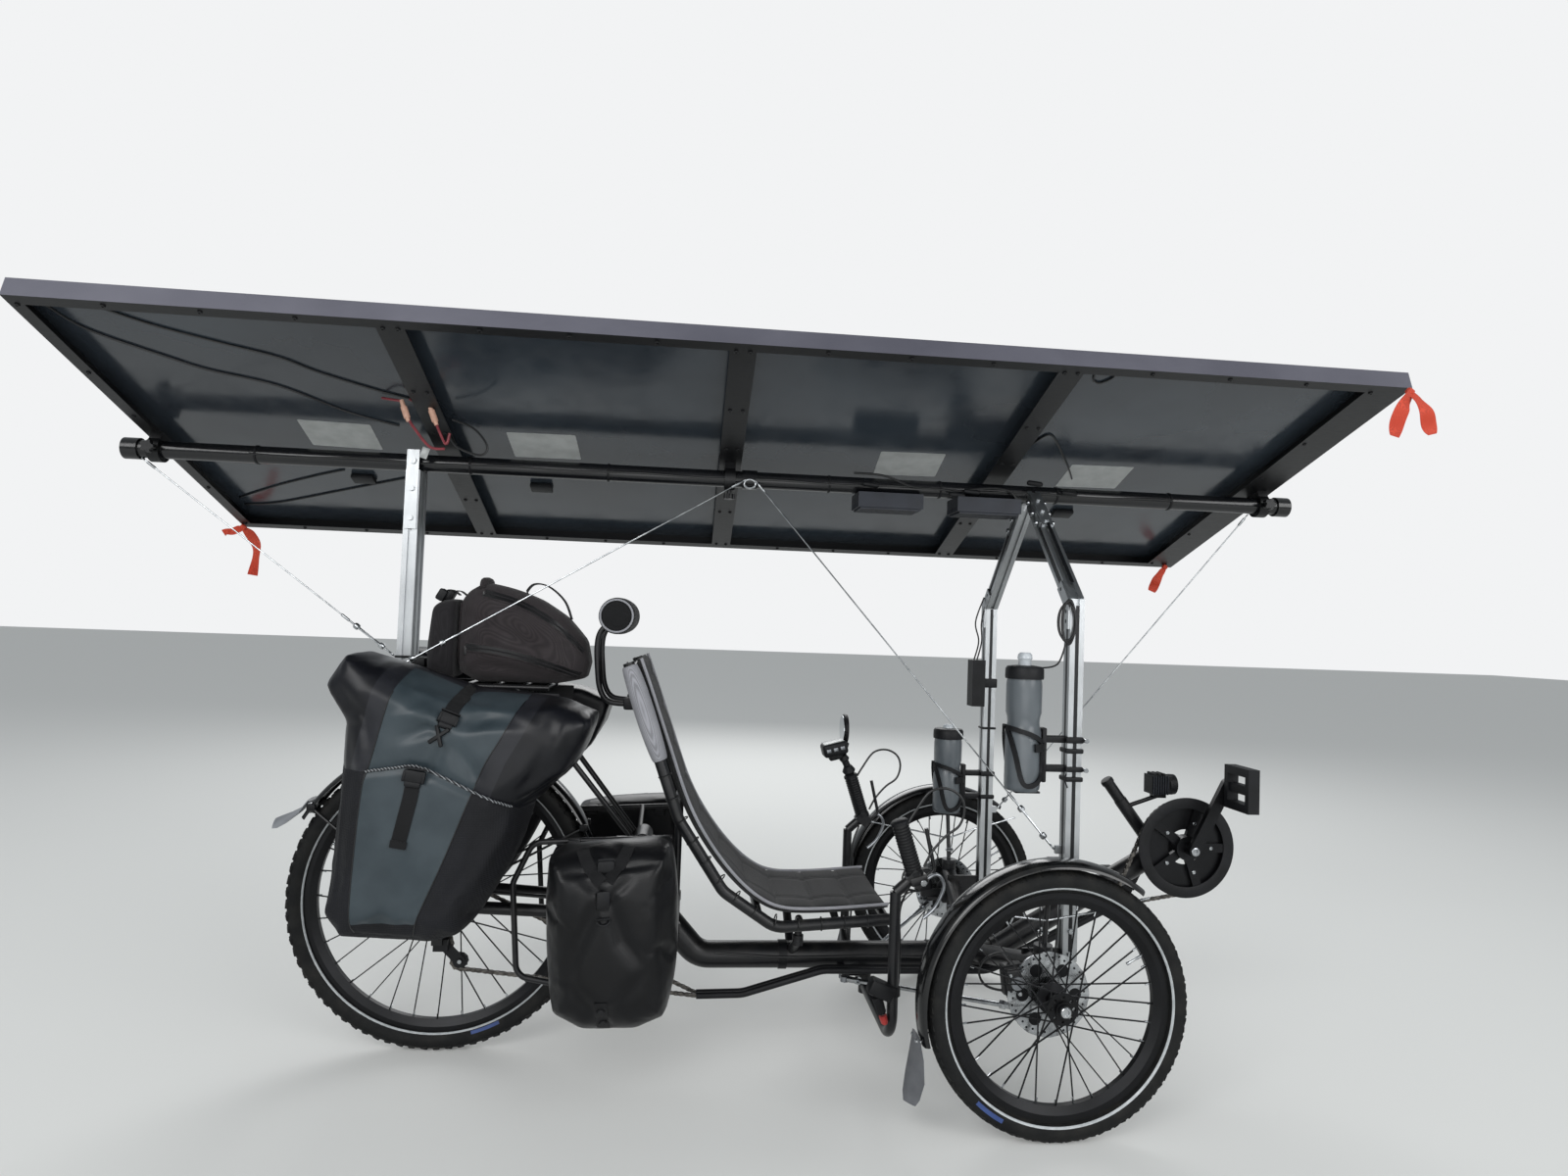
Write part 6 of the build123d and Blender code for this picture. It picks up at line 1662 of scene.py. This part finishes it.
def stayShape():
    shape = openShape()
    for high, low in staySet["runs"]:
        high, low = Vector(high), Vector(low)
        way = (high - low).normalized()
        side = way.cross(Vector((0, 0, 1))).normalized()
        upper, lower = low + way * staySet["buckleFar"], low + way * staySet["buckleNear"]
        tube(shape, [upper, upper.lerp(high, 0.5), high], staySet["rope"], "stainlessSteel", 8)
        for start, direction in ((upper, way), (high, -way)):  # swage sleeve on the rope
            turned(shape, [(0.012, 0), (0.012, 0.0030), (0.032, 0.0030), (0.034, 0.0018), (0.034, 0)], start,
                   direction, "stainlessSteel", 10)
        for s in (-1, 1):  # the two bars of the open body
            offset = side * s * staySet["barGap"]
            tube(shape, [lower + way * 0.008 + offset, upper - way * 0.008 + offset], 0.0017, "stainlessSteel", 8)
        for start, direction in ((lower, way), (upper, -way)):
            turned(shape, [(0.002, 0), (0.002, 0.0052), (0.005, 0.0068), (0.012, 0.0068), (0.014, 0.0050),
                           (0.014, 0)], start, direction, "stainlessSteel", 14)
        for start, end in ((lower - way * 0.014, lower + way * 0.030), (upper + way * 0.010, upper - way * 0.026)):
            tube(shape, [start, end], 0.0021, "stainlessSteel", 8)
        for centre, size in ((lower - way * 0.019, 0.0062), (high, 0.0050)):  # eyes at both ends
            eye = hoop(centre, way * size, side * size * 0.8, 20)
            tube(shape, eye, 0.0015, "stainlessSteel", 8, closed=True)
    return shape


closeShape(stayShape(), "stayCables", "chassis", ("stays",))
print("stays made")

# signal ribbons tied at the roof's corners: the line of each strip, and its width
ribbonSet = {
    "nearFrontA": [(1.262, -0.462, 1.4300), (1.252, -0.468, 1.420), (1.236, -0.474, 1.398), (1.226, -0.472, 1.370),
                   (1.222, -0.470, 1.342)],
    "nearFrontB": [(1.264, -0.460, 1.4300), (1.272, -0.468, 1.416), (1.284, -0.474, 1.392), (1.293, -0.470, 1.368),
                   (1.299, -0.472, 1.350)],
    "farFront": [(1.252, 0.446, 1.142), (1.244, 0.450, 1.128), (1.234, 0.454, 1.108), (1.224, 0.450, 1.090),
                 (1.218, 0.452, 1.074)],
    "farRearA": [(-1.276, 0.446, 1.142), (-1.290, 0.452, 1.139), (-1.306, 0.456, 1.132), (-1.318, 0.452, 1.131),
                 (-1.328, 0.456, 1.127)],
    "farRearB": [(-1.274, 0.446, 1.140), (-1.258, 0.452, 1.124), (-1.244, 0.456, 1.096), (-1.243, 0.452, 1.060),
                 (-1.250, 0.456, 1.020)],
    "nearRear": [(-1.292, -0.452, 1.418), (-1.298, -0.458, 1.412), (-1.304, -0.460, 1.398), (-1.302, -0.458, 1.384),
                 (-1.306, -0.460, 1.372)],
}
ribbonWidths = {"nearFrontA": 0.026, "nearFrontB": 0.026, "farFront": 0.026, "farRearA": 0.018, "farRearB": 0.024,
                "nearRear": 0.020}


def ribbon(name):
    width, line = ribbonWidths[name], smoothLine(ribbonSet[name], 8)
    rings = []
    for i, (point, tangent, _, _) in enumerate(framesAlong(line)):
        share = i / (len(line) - 1)
        across = (Vector((0, -1, 0)).cross(tangent).normalized()
                  + Vector((0, 0.5 * math.sin(7 * share), 0))).normalized()
        across = (across - tangent * across.dot(tangent)).normalized()
        thin = tangent.cross(across) * 0.00022
        half = width / 2 * (0.45 + 0.55 * min(1, share * 5))
        rings.append([point - across * half - thin, point + across * half - thin, point + across * half + thin,
                      point - across * half + thin])
    shape = openShape()
    loft(shape, rings, "signalRibbon")
    strip = closeShape(shape, f"ribbon_{name}", "roof", smoothAngle=60)


for ribbonName in ribbonSet:
    ribbon(ribbonName)
knots = openShape()
for x, y, z in ((1.263, -0.458, 1.434), (1.253, 0.446, 1.146), (-1.275, 0.446, 1.144), (-1.291, -0.450, 1.421)):
    slab(knots, (x, y, z), (0.016, 0.012, 0.014), "signalRibbon", Euler((0.3, 0.5, 0.2)).to_matrix(), 0.005)
closeShape(knots, "ribbonKnots", "roof")
print("ribbons made")

# masts: bolts, clamp bands, painted shade along the slots, a hank of cable and the box's leads
mastSet = {
    "x": 0.680, "y": 0.270, "bend": 1.014, "rearX": -0.716, "rearBolts": (1.207, 1.143, 1.265),
           "legBolts": (0.250, 0.285, 0.325), "footBolts": (0.300, 0.345),
    "bands": ((-1, 0.727, 0.013), (-1, 0.705, 0.010), (-1, 0.668, 0.011), (-1, 0.648, 0.010), (1, 0.690, 0.006),
              (1, 0.572, 0.013), (1, 0.513, 0.011),
              (1, 0.807, 0.024)),
    "slotFace": 0.0151, "slotWidth": 0.0075, "slotShade": 0.0006,
}


def mastTrim():
    shape = openShape()
    places = [((mastSet["rearX"], side * 0.0245, z), (0, side, 0)) for side in (-1, 1) for z in mastSet["rearBolts"]]
    lean = Vector((0, -0.236, 0.231)).normalized()
    for side in (-1, 1):
        way = Vector((0, lean.y * side, lean.z))
        for along in mastSet["legBolts"]:
            foot = Vector((mastSet["x"], side * mastSet["y"], mastSet["bend"])) + way * along
            places += [(foot + Vector((0.0185, 0, 0)), (1, 0, 0)), (foot + Vector((-0.0185, 0, 0)), (-1, 0, 0))]
        places += [((mastSet["x"], side * 0.2855, z), (0, side, 0)) for z in mastSet["footBolts"]]
    spots(shape, "stainlessSteel", boltPattern(0.0062, 0.0045), places)
    for side, z, tall in mastSet["bands"]:
        slab(shape, (mastSet["x"], side * mastSet["y"], z), (0.0375, 0.0375, tall), "mouldedNylon", None, 0.003)
    for z in (0.727, 0.668):  # worm screws of the near clamps
        turned(shape, [(-0.009, 0), (-0.009, 0.0048), (0.009, 0.0048), (0.009, 0)], (0.700, -0.290, z), (0, 1, 0),
               "stainlessSteel", 10)
    tube(shape, smoothLine([(0.662, -0.290, 0.660), (0.658, -0.292, 0.648), (0.664, -0.292, 0.632)], 6), 0.0014,
         "mouldedNylon", 6)
    for side in (-1, 1):  # painted shade: thin dark strips along the extrusions' slots, where the grooves lie in shadow
        way, out = Vector((0, lean.y * side, lean.z)), Vector((0, lean.z * side, -lean.y))
        turn = Matrix(((1, 0, 0), tuple(out), tuple(way))).transposed()
        post = Vector((mastSet["x"], side * mastSet["y"], 0.650))
        leg = Vector((mastSet["x"], side * mastSet["y"], mastSet["bend"])) + way * 0.135
        wide, thin = mastSet["slotWidth"], mastSet["slotShade"]
        for reach in (-mastSet["slotFace"], mastSet["slotFace"]):
            slab(shape, post + Vector((0, reach, 0)), (wide, thin, 0.700), "ribAnodised", None, 0)
            slab(shape, post + Vector((reach, 0, 0)), (thin, wide, 0.700), "ribAnodised", None, 0)
            slab(shape, leg + out * reach, (wide, thin, 0.200), "ribAnodised", turn, 0)
            slab(shape, leg + Vector((reach, 0, 0)), (thin, wide, 0.200), "ribAnodised", turn, 0)
    for k in range(4):  # a hank of cable tied to the near mast
        hank = hoop((0.661 - 0.002 * k, -0.288 - 0.003 * (k % 2), 0.966), (0.013 + 0.002 * k, 0, 0),
                    (0, 0, 0.046 - 0.003 * k), 28)
        tube(shape, hank, 0.0020, "blackSleeve", 6, closed=True)
    tube(shape, smoothLine([(0.655, -0.290, 0.925), (0.640, -0.285, 0.880), (0.612, -0.262, 0.870)], 6), 0.0018,
         "blackSleeve", 6)
    for dx in (0, 0.008):  # leads down to the box on the far mast
        tube(shape, smoothLine([(0.668 - dx, 0.262, 1.030), (0.655 - dx * 2, 0.262, 0.965),
                                (0.658 - dx, 0.266, 0.915), (0.648 - dx, 0.270, 0.866)], 8), 0.0019, "blackSleeve", 6)
    return shape


closeShape(mastTrim(), "mastTrim", "chassis")
print("mast trim made")

# cockpit: grips, clamps, silver levers, cable loops; screen and mirror on the left end
cockpitSet = {
    "gripLow": (0.357, 0.458), "gripHigh": (0.325, 0.554), "gripRadius": 0.0166, "ribs": 15,
    "loop": [(0.342, 0.556), (0.355, 0.578), (0.382, 0.616), (0.415, 0.625), (0.444, 0.612), (0.455, 0.585),
             (0.446, 0.552), (0.418, 0.530), (0.392, 0.500),
             (0.376, 0.470)],
    "lever": [(0.372, 0.440), (0.396, 0.456), (0.410, 0.450), (0.416, 0.432), (0.408, 0.408), (0.396, 0.388),
              (0.376, 0.370)],
    "device": (0.279, 0.280, 0.626), "deviceTilt": -15.0,
}


def gripShape():
    shape = openShape()
    y = -0.280
    low, high = Vector((cockpitSet["gripLow"][0], y, cockpitSet["gripLow"][1])), Vector((cockpitSet["gripHigh"][0], y,
            cockpitSet["gripHigh"][1]))
    way = (high - low).normalized()
    rib = openShape()
    turned(rib, [(-0.0018, 0.0158), (-0.0010, 0.0172), (0.0010, 0.0172), (0.0018, 0.0158)], (0, 0, 0), (0, 0, 1),
           None, 20, closed=True)
    count = cockpitSet["ribs"]
    spots(shape, "softRubber", rib, [(low.lerp(high, 0.08 + 0.84 * k / (count - 1)), way) for k in range(count)])
    turned(shape, [(-0.004, 0.0160), (-0.004, 0.0185), (0.003, 0.0185), (0.003, 0.0160)], low, way, "mouldedNylon",
           24, closed=True)
    turned(shape, [(-0.002, 0.0158), (-0.002, 0.0180), (0.004, 0.0180), (0.007, 0.0150), (0.009, 0), (0.004, 0)],
           high, way, "mouldedNylon", 24)
    tube(shape, smoothLine([(x, y - 0.003, z) for x, z in cockpitSet["loop"]], 6), 0.0026, "blackSleeve", 8)
    lever = smoothLine([(x, y - 0.008, z) for x, z in cockpitSet["lever"]], 6)
    rings = []
    for i, (point, tangent, _, _) in enumerate(framesAlong(lever)):
        flat, share = Vector((0, 1, 0)), i / (len(lever) - 1)
        thin = flat.cross(tangent).normalized()
        half, deep = 0.0050 - 0.0012 * share, 0.0034
        rings.append([point + flat * (half * math.cos(a)) + thin * (deep * math.sin(a))
                      for a in [2 * math.pi * k / 10 for k in range(10)]])
    loft(shape, rings, "greyLever")
    slab(shape, (0.364, y - 0.002, 0.446), (0.036, 0.036, 0.018), "powderCoatedSteel", leaned(-0.3), 0.004)
    turned(shape, [(0, 0), (0, 0.0062), (0.003, 0.0062), (0.004, 0.005), (0.004, 0)], (0.372, y - 0.019, 0.442),
           (0, -1, 0), "stainlessSteel", 16)
    slab(shape, (0.296, y - 0.006, 0.232), (0.052, 0.034, 0.030), "mouldedNylon", leaned(0.4), 0.006)  # low cluster
    turned(shape, [(0, 0), (0, 0.0105), (0.030, 0.0095), (0.034, 0.0075), (0.034, 0)], (0.288, y - 0.008, 0.218),
           (0.35, 0, -1), "softRubber", 18)
    turned(shape, [(0, 0), (0, 0.0080), (0.014, 0.0074), (0.018, 0.0045), (0.018, 0)], (0.3005, y - 0.008, 0.182),
           (0.35, 0, -1), "redNylon", 18)
    turned(shape, [(-0.008, 0.0112), (-0.008, 0.0150), (0.008, 0.0150), (0.008, 0.0112)], (0.321, y, 0.226),
           (0, 0, 1), "mouldedNylon", 20, closed=True)
    hose = smoothLine([(0.350, y + 0.004, 0.430), (0.333, y + 0.010, 0.380), (0.336, y + 0.012, 0.300),
                       (0.334, y + 0.016, 0.220), (0.326, y + 0.050, 0.152),
                       (0.322, y + 0.120, 0.146)], 8)
    tube(shape, hose, hoseRadius, "blackSleeve", 8)
    return shape


addBoth(gripShape(), "gripTrim", "steering_bar")


def deviceShape():
    shape = openShape()
    centre = Vector(cockpitSet["device"])
    turn = leaned(math.radians(cockpitSet["deviceTilt"]))
    slab(shape, centre, (0.064, 0.060, 0.034), "mouldedNylon", turn, 0.008, 3)
    slab(shape, centre + turn @ Vector((0, 0, 0.0175)), (0.052, 0.050, 0.003), "silverLabel", turn, 0.001)
    for k in range(3):
        slab(shape, centre + turn @ Vector((-0.018 + 0.018 * k, -0.0305, 0)), (0.011, 0.003, 0.009), "greyLever",
             turn, 0.001)
    slab(shape, centre + turn @ Vector((-0.004, 0, -0.022)), (0.030, 0.028, 0.014), "mouldedNylon", turn, 0.004)
    stalk = smoothLine([(0.316, 0.280, 0.578), (0.304, 0.280, 0.600), (0.288, 0.281, 0.612)], 6)
    tube(shape, stalk, 0.0090, "mouldedNylon", 14)
    # ball clamps
    for place, size in (((0.319, 0.280, 0.570), 0.017), ((0.306, 0.280, 0.600), 0.013),
                        ((0.312, 0.303, 0.633), 0.010)):
        turned(shape, [(-size, 0), (-size * 0.8, size * 0.6), (0, size), (size * 0.8, size * 0.6), (size, 0)], place,
               (0.3, 0.3, -0.9), "mouldedNylon", 20)
    tube(shape, smoothLine([(0.306, 0.284, 0.600), (0.312, 0.303, 0.633), (0.313, 0.318, 0.655)], 6), 0.0055,
         "mouldedNylon", 10)
    glass = Vector((0.3085, 0.320, 0.672))
    for radius, thick, dx, finish in ((0.0425, 0.008, 0.0, "mouldedNylon"), (0.0385, 0.0012, -0.0046, "mirrorGlass")):
        outline = [(radius * 1.0 * math.cos(a), radius * 0.90 * math.sin(a))
                   for a in [2 * math.pi * k / 48 for k in range(48)]]
        plate(shape, outline, thick, glass + Vector((dx, 0, 0)), (0, 1, 0), (0, 0, 1), finish)
    return shape


closeShape(deviceShape(), "cockpitDevice", "steering_bar", ("cockpit",))
print("cockpit made")

# bottles: blown body with a waist, collar, cap and spout; side-entry cages of flat bars that hug the bottle
bottleSet = {
    "right": {"side": -1, "low": 0.623, "collar": 0.848, "spout": 0.895, "cage": 0.0},
    "left": {"side": 1, "low": 0.470, "collar": 0.660, "spout": 0.690, "cage": -0.155},
    "axis": (0.577, 0.270), "radius": 0.0358,
    "bar": [(0.541, 0.750), (0.552, 0.700), (0.566, 0.642), (0.590, 0.640), (0.606, 0.662), (0.606, 0.700),
            (0.604, 0.722), (0.580, 0.738), (0.541, 0.750)],
}


def bottleShape(spec):
    x, y = bottleSet["axis"][0], bottleSet["axis"][1] * spec["side"]
    shape, full, tall = openShape(), bottleSet["radius"], spec["collar"] - spec["low"]
    body = [(0, 0), (0, full * 0.86), (0.004, full * 0.97), (0.012, full), (tall * 0.52, full),
            (tall * 0.56, full * 0.93), (tall * 0.61, full * 0.89),
            (tall * 0.66, full * 0.93), (tall * 0.70, full), (tall - 0.012, full), (tall, full * 0.96),
            (tall + 0.004, 0)]
    turned(shape, body, (x, y, spec["low"]), (0, 0, 1), "milkyPolypropylene", 40)
    turned(shape, [(0, 0.0345), (0, 0.0382), (0.004, 0.0388), (0.020, 0.0384), (0.025, 0.0350), (0.027, 0.0200),
                   (0.027, 0)], (x, y, spec["collar"]), (0, 0, 1),
           "mouldedNylon", 40)
    high = spec["spout"] - spec["collar"]
    turned(shape, [(0.012, 0), (0.012, 0.0150), (high - 0.010, 0.0125), (high - 0.006, 0.0150),
                   (high + 0.002, 0.0140), (high + 0.006, 0.0100), (high + 0.006, 0)],
           (x, y, spec["collar"]), (0, 0, 1), "spoutPlastic", 28)
    return shape


def cageShape(spec):
    x, y, shape = bottleSet["axis"][0], bottleSet["axis"][1] * spec["side"], openShape()
    hold = bottleSet["radius"] + 0.0012
    for face in (-1, 1):
        points, normals = [], []
        for px, pz in fineLine(bottleSet["bar"], 6):
            dx = max(-hold * 0.98, min(hold * 0.98, px - x))
            out = Vector((dx, face * math.sqrt(hold * hold - dx * dx), 0))
            points.append(Vector((x, y, pz + spec["cage"])) + out)
            normals.append(out.normalized())
        strap(shape, points, normals, 0.0095, 0.0045, "mouldedNylon")
    for face in (-1, 1):  # bridge behind the bottle, and its foot
        arc = [Vector((x + (hold + 0.002) * math.cos(a), y + (hold + 0.002) * math.sin(a), 0.712 + spec["cage"]))
               for a in [face * math.radians(75 * k / 8) for k in range(9)]]
        strap(shape, arc, [(p - Vector((x, y, p.z))).normalized() for p in arc], 0.016, 0.0045, "mouldedNylon")
    slab(shape, (x + hold + 0.005, y, 0.695 + spec["cage"]), (0.010, 0.022, 0.110), "mouldedNylon", None, 0.003)
    slab(shape, (x + 0.010, y, spec["low"] - 0.004), (0.052, 0.016, 0.004), "mouldedNylon", None, 0.001)
    for z in (0.727, 0.668):  # arms to the clamps on the mast
        slab(shape, (0.642, y, z + spec["cage"]), (0.048, 0.018, 0.014), "mouldedNylon", None, 0.003)
    return shape


for side in ("right", "left"):
    spec = bottleSet[side]
    closeShape(bottleShape(spec), f"bottle_{side}Body", "chassis", (f"bottle_{side}",))
    closeShape(cageShape(spec), f"cage_{side}", "chassis", (f"bottle_cage_{side}",))
print("bottles made")

# lamp with cooling ribs, bezel and lens; plug of the spare post; axle nuts, pivot caps, shock spring, rack light
frameSet = {
    "lamp": (1.030, 0, 0.596), "ribStart": 0.988, "ribPitch": 0.0058, "ribs": 7, "post": (0.885, 0, 0.599),
            "postWay": (-0.120, 0, 0.158),
    "nuts": ((-0.614, 0.0762, 0.325, 0.0095), (-0.170, 0.0672, 0.300, 0.0085)),
    "shockFoot": (-0.256, 0, 0.317), "shockHead": (-0.236, 0, 0.436), "springLength": 0.075, "springTurns": 7,
            "springRadius": 0.0180,
    "guides": (0.130, 0.470), "tubeHeight": 0.200,
    "cables": ([(0.470, 0.0325, 0.203), (0.300, 0.0330, 0.206), (0.130, 0.0325, 0.204), (-0.020, 0.040, 0.215)],
               [(0.470, -0.0325, 0.203), (0.300, -0.0330, 0.206), (0.130, -0.0325, 0.204), (-0.020, -0.036, 0.215)]),
}


def frameTrim():
    shape = openShape()
    rib = openShape()
    slab(rib, (0, 0, 0), (0.044, 0.046, 0.0022), None, None, 0)
    spots(shape, "castHeatsink", rib, [((frameSet["ribStart"] + frameSet["ribPitch"] * k, 0, frameSet["lamp"][2]),
                                        (1, 0, 0)) for k in range(frameSet["ribs"])])
    turned(shape, [(0.0, 0.0190), (0.0, 0.0232), (0.006, 0.0240), (0.0175, 0.0235), (0.0185, 0.0205),
                   (0.012, 0.0190)], frameSet["lamp"], (1, 0, 0), "mouldedNylon", 40, closed=True)
    turned(shape, [(0.012, 0), (0.012, 0.0196), (0.014, 0.0190), (0.0168, 0.0100), (0.0172, 0)], frameSet["lamp"],
           (1, 0, 0), "lensGlass", 36)
    turned(shape, [(-0.004, 0), (-0.004, 0.0148), (0.003, 0.0150), (0.007, 0.0125), (0.009, 0)], frameSet["post"],
           frameSet["postWay"], "mouldedNylon", 24)
    for x, y, z, size in frameSet["nuts"]:
        for side in (-1, 1):
            turned(shape, [(-0.001, 0), (-0.001, size + 0.003), (0.001, size + 0.003), (0.001, size), (0.006, size),
                           (0.007, size * 0.8), (0.007, 0)],
                   (x, side * y, z), (0, side, 0), "stainlessSteel", 6)
    start = Vector(frameSet["shockFoot"])
    axis = (Vector(frameSet["shockHead"]) - start).normalized()
    side = Vector((0, 1, 0))
    other = axis.cross(side)
    steps, coil = frameSet["springTurns"] * 16, []
    for k in range(steps + 1):
        a = 2 * math.pi * k / 16
        coil.append(start + axis * (0.024 + frameSet["springLength"] * k / steps)
                    + (side * math.cos(a) + other * math.sin(a)) * frameSet["springRadius"])
    tube(shape, coil, 0.0030, "powderCoatedSteel", 8)
    slab(shape, (-0.716, 0, 0.803), (0.074, 0.078, 0.006), "mouldedNylon", None, 0.002)
    slab(shape, (-0.690, 0, 0.830), (0.036, 0.050, 0.022), "mouldedNylon", None, 0.004)
    slab(shape, (-0.716, 0, 0.842), (0.0365, 0.0665, 0.005), "mouldedNylon", None, 0.002)
    bar = openShape()
    turned(bar, [(-0.009, 0.0292), (-0.009, 0.0312), (0.009, 0.0312), (0.009, 0.0292)], (0, 0, 0), (0, 0, 1), None,
           32, closed=True)
    spots(shape, "mouldedNylon", bar, [((x, 0, frameSet["tubeHeight"]), (1, 0, 0)) for x in frameSet["guides"]])
    for cable in frameSet["cables"]:
        tube(shape, smoothLine(cable, 8), hoseRadius, "blackSleeve", 8)
    return shape


closeShape(frameTrim(), "frameTrim", "chassis")
print("lamp, nuts and cables made")

# floor, light and camera
stageSet = {"floorSize": 60.0, "floorColour": "#cfd0ce", "floorGlow": 0.14}
floorMesh = bpy.data.meshes.new("floor")
reach = stageSet["floorSize"] / 2
floorMesh.from_pydata([(-reach, -reach, 0), (reach, -reach, 0), (reach, reach, 0), (-reach, reach, 0)], [],
                      [(0, 1, 2, 3)])
floorObject = bpy.data.objects.new("floor", floorMesh)
scene.collection.objects.link(floorObject)
floorMaterial, floorTree, floorShader, floorCoords = startMaterial("paleFloor")
floorShader.inputs["Base Color"].default_value = linear(stageSet["floorColour"])
floorShader.inputs["Roughness"].default_value = 0.8
floorShader.inputs["Emission Color"].default_value = linear(stageSet["floorColour"])
floorShader.inputs["Emission Strength"].default_value = stageSet["floorGlow"]
floorMesh.materials.append(floorMaterial)

lamps = [  # place, size, power: two soft banks and a rear fill
    ((-2.6, -4.6, 3.4), 3.2, 160), ((3.4, -4.2, 2.6), 3.0, 115), ((0.5, 4.5, 3.6), 3.6, 120),
         ((0.0, -3.0, 0.5), 2.4, 26)]
for index, (place, size, power) in enumerate(lamps):
    lampData = bpy.data.lights.new(f"softBank{index}", "AREA")
    lampData.energy = power
    lampData.size = size
    lamp = bpy.data.objects.new(f"softBank{index}", lampData)
    lamp.location = place
    lamp.rotation_euler = (Vector((0, 0, 0.6)) - Vector(place)).to_track_quat("-Z", "Y").to_euler()
    scene.collection.objects.link(lamp)

world = bpy.data.worlds.new("paleRoom")
scene.world = world
world.use_nodes = True
worldTree = world.node_tree
worldTree.nodes.clear()
lightPath = addNode(worldTree, "ShaderNodeLightPath")
lit = addNode(worldTree, "ShaderNodeBackground", {"Color": linear("#dfe4e8"), "Strength": 0.55})
seen = addNode(worldTree, "ShaderNodeBackground", {"Color": linear("#f2f3f4"), "Strength": 1.0})
visible = mathNode(worldTree, "MAXIMUM", lightPath.outputs["Is Camera Ray"], lightPath.outputs["Is Transmission Ray"])
mixed = addNode(worldTree, "ShaderNodeMixShader", {0: visible, 1: lit.outputs[0], 2: seen.outputs[0]})
addNode(worldTree, "ShaderNodeOutputWorld", {"Surface": mixed.outputs[0]})
scene.view_settings.view_transform = "Standard"

# the photograph's viewpoint: metres, degrees, focal length in pixels of a 1600 wide frame
viewpoint = {"place": (-0.109, -2.113, 0.940), "yaw": 5.793, "pitch": 2.257, "roll": 2.058, "focal": 950.0}
yaw, pitch, roll = (math.radians(viewpoint[key]) for key in ("yaw", "pitch", "roll"))
forward = Vector((math.sin(yaw) * math.cos(pitch), math.cos(yaw) * math.cos(pitch), math.sin(pitch)))
level = Vector((math.cos(yaw), -math.sin(yaw), 0))
upright = level.cross(forward)
right = level * math.cos(roll) + upright * math.sin(roll)
up = upright * math.cos(roll) - level * math.sin(roll)
cameraData = bpy.data.cameras.new("photoCamera")
cameraData.sensor_width = 36.0
cameraData.lens = 36.0 * viewpoint["focal"] / 1600
cameraData.clip_start = 0.05
camera = bpy.data.objects.new("photoCamera", cameraData)
turn = Matrix((right, up, -forward)).transposed().to_4x4()
camera.matrix_world = Matrix.Translation(viewpoint["place"]) @ turn
scene.collection.objects.link(camera)
scene.camera = camera
print("stage and camera set")
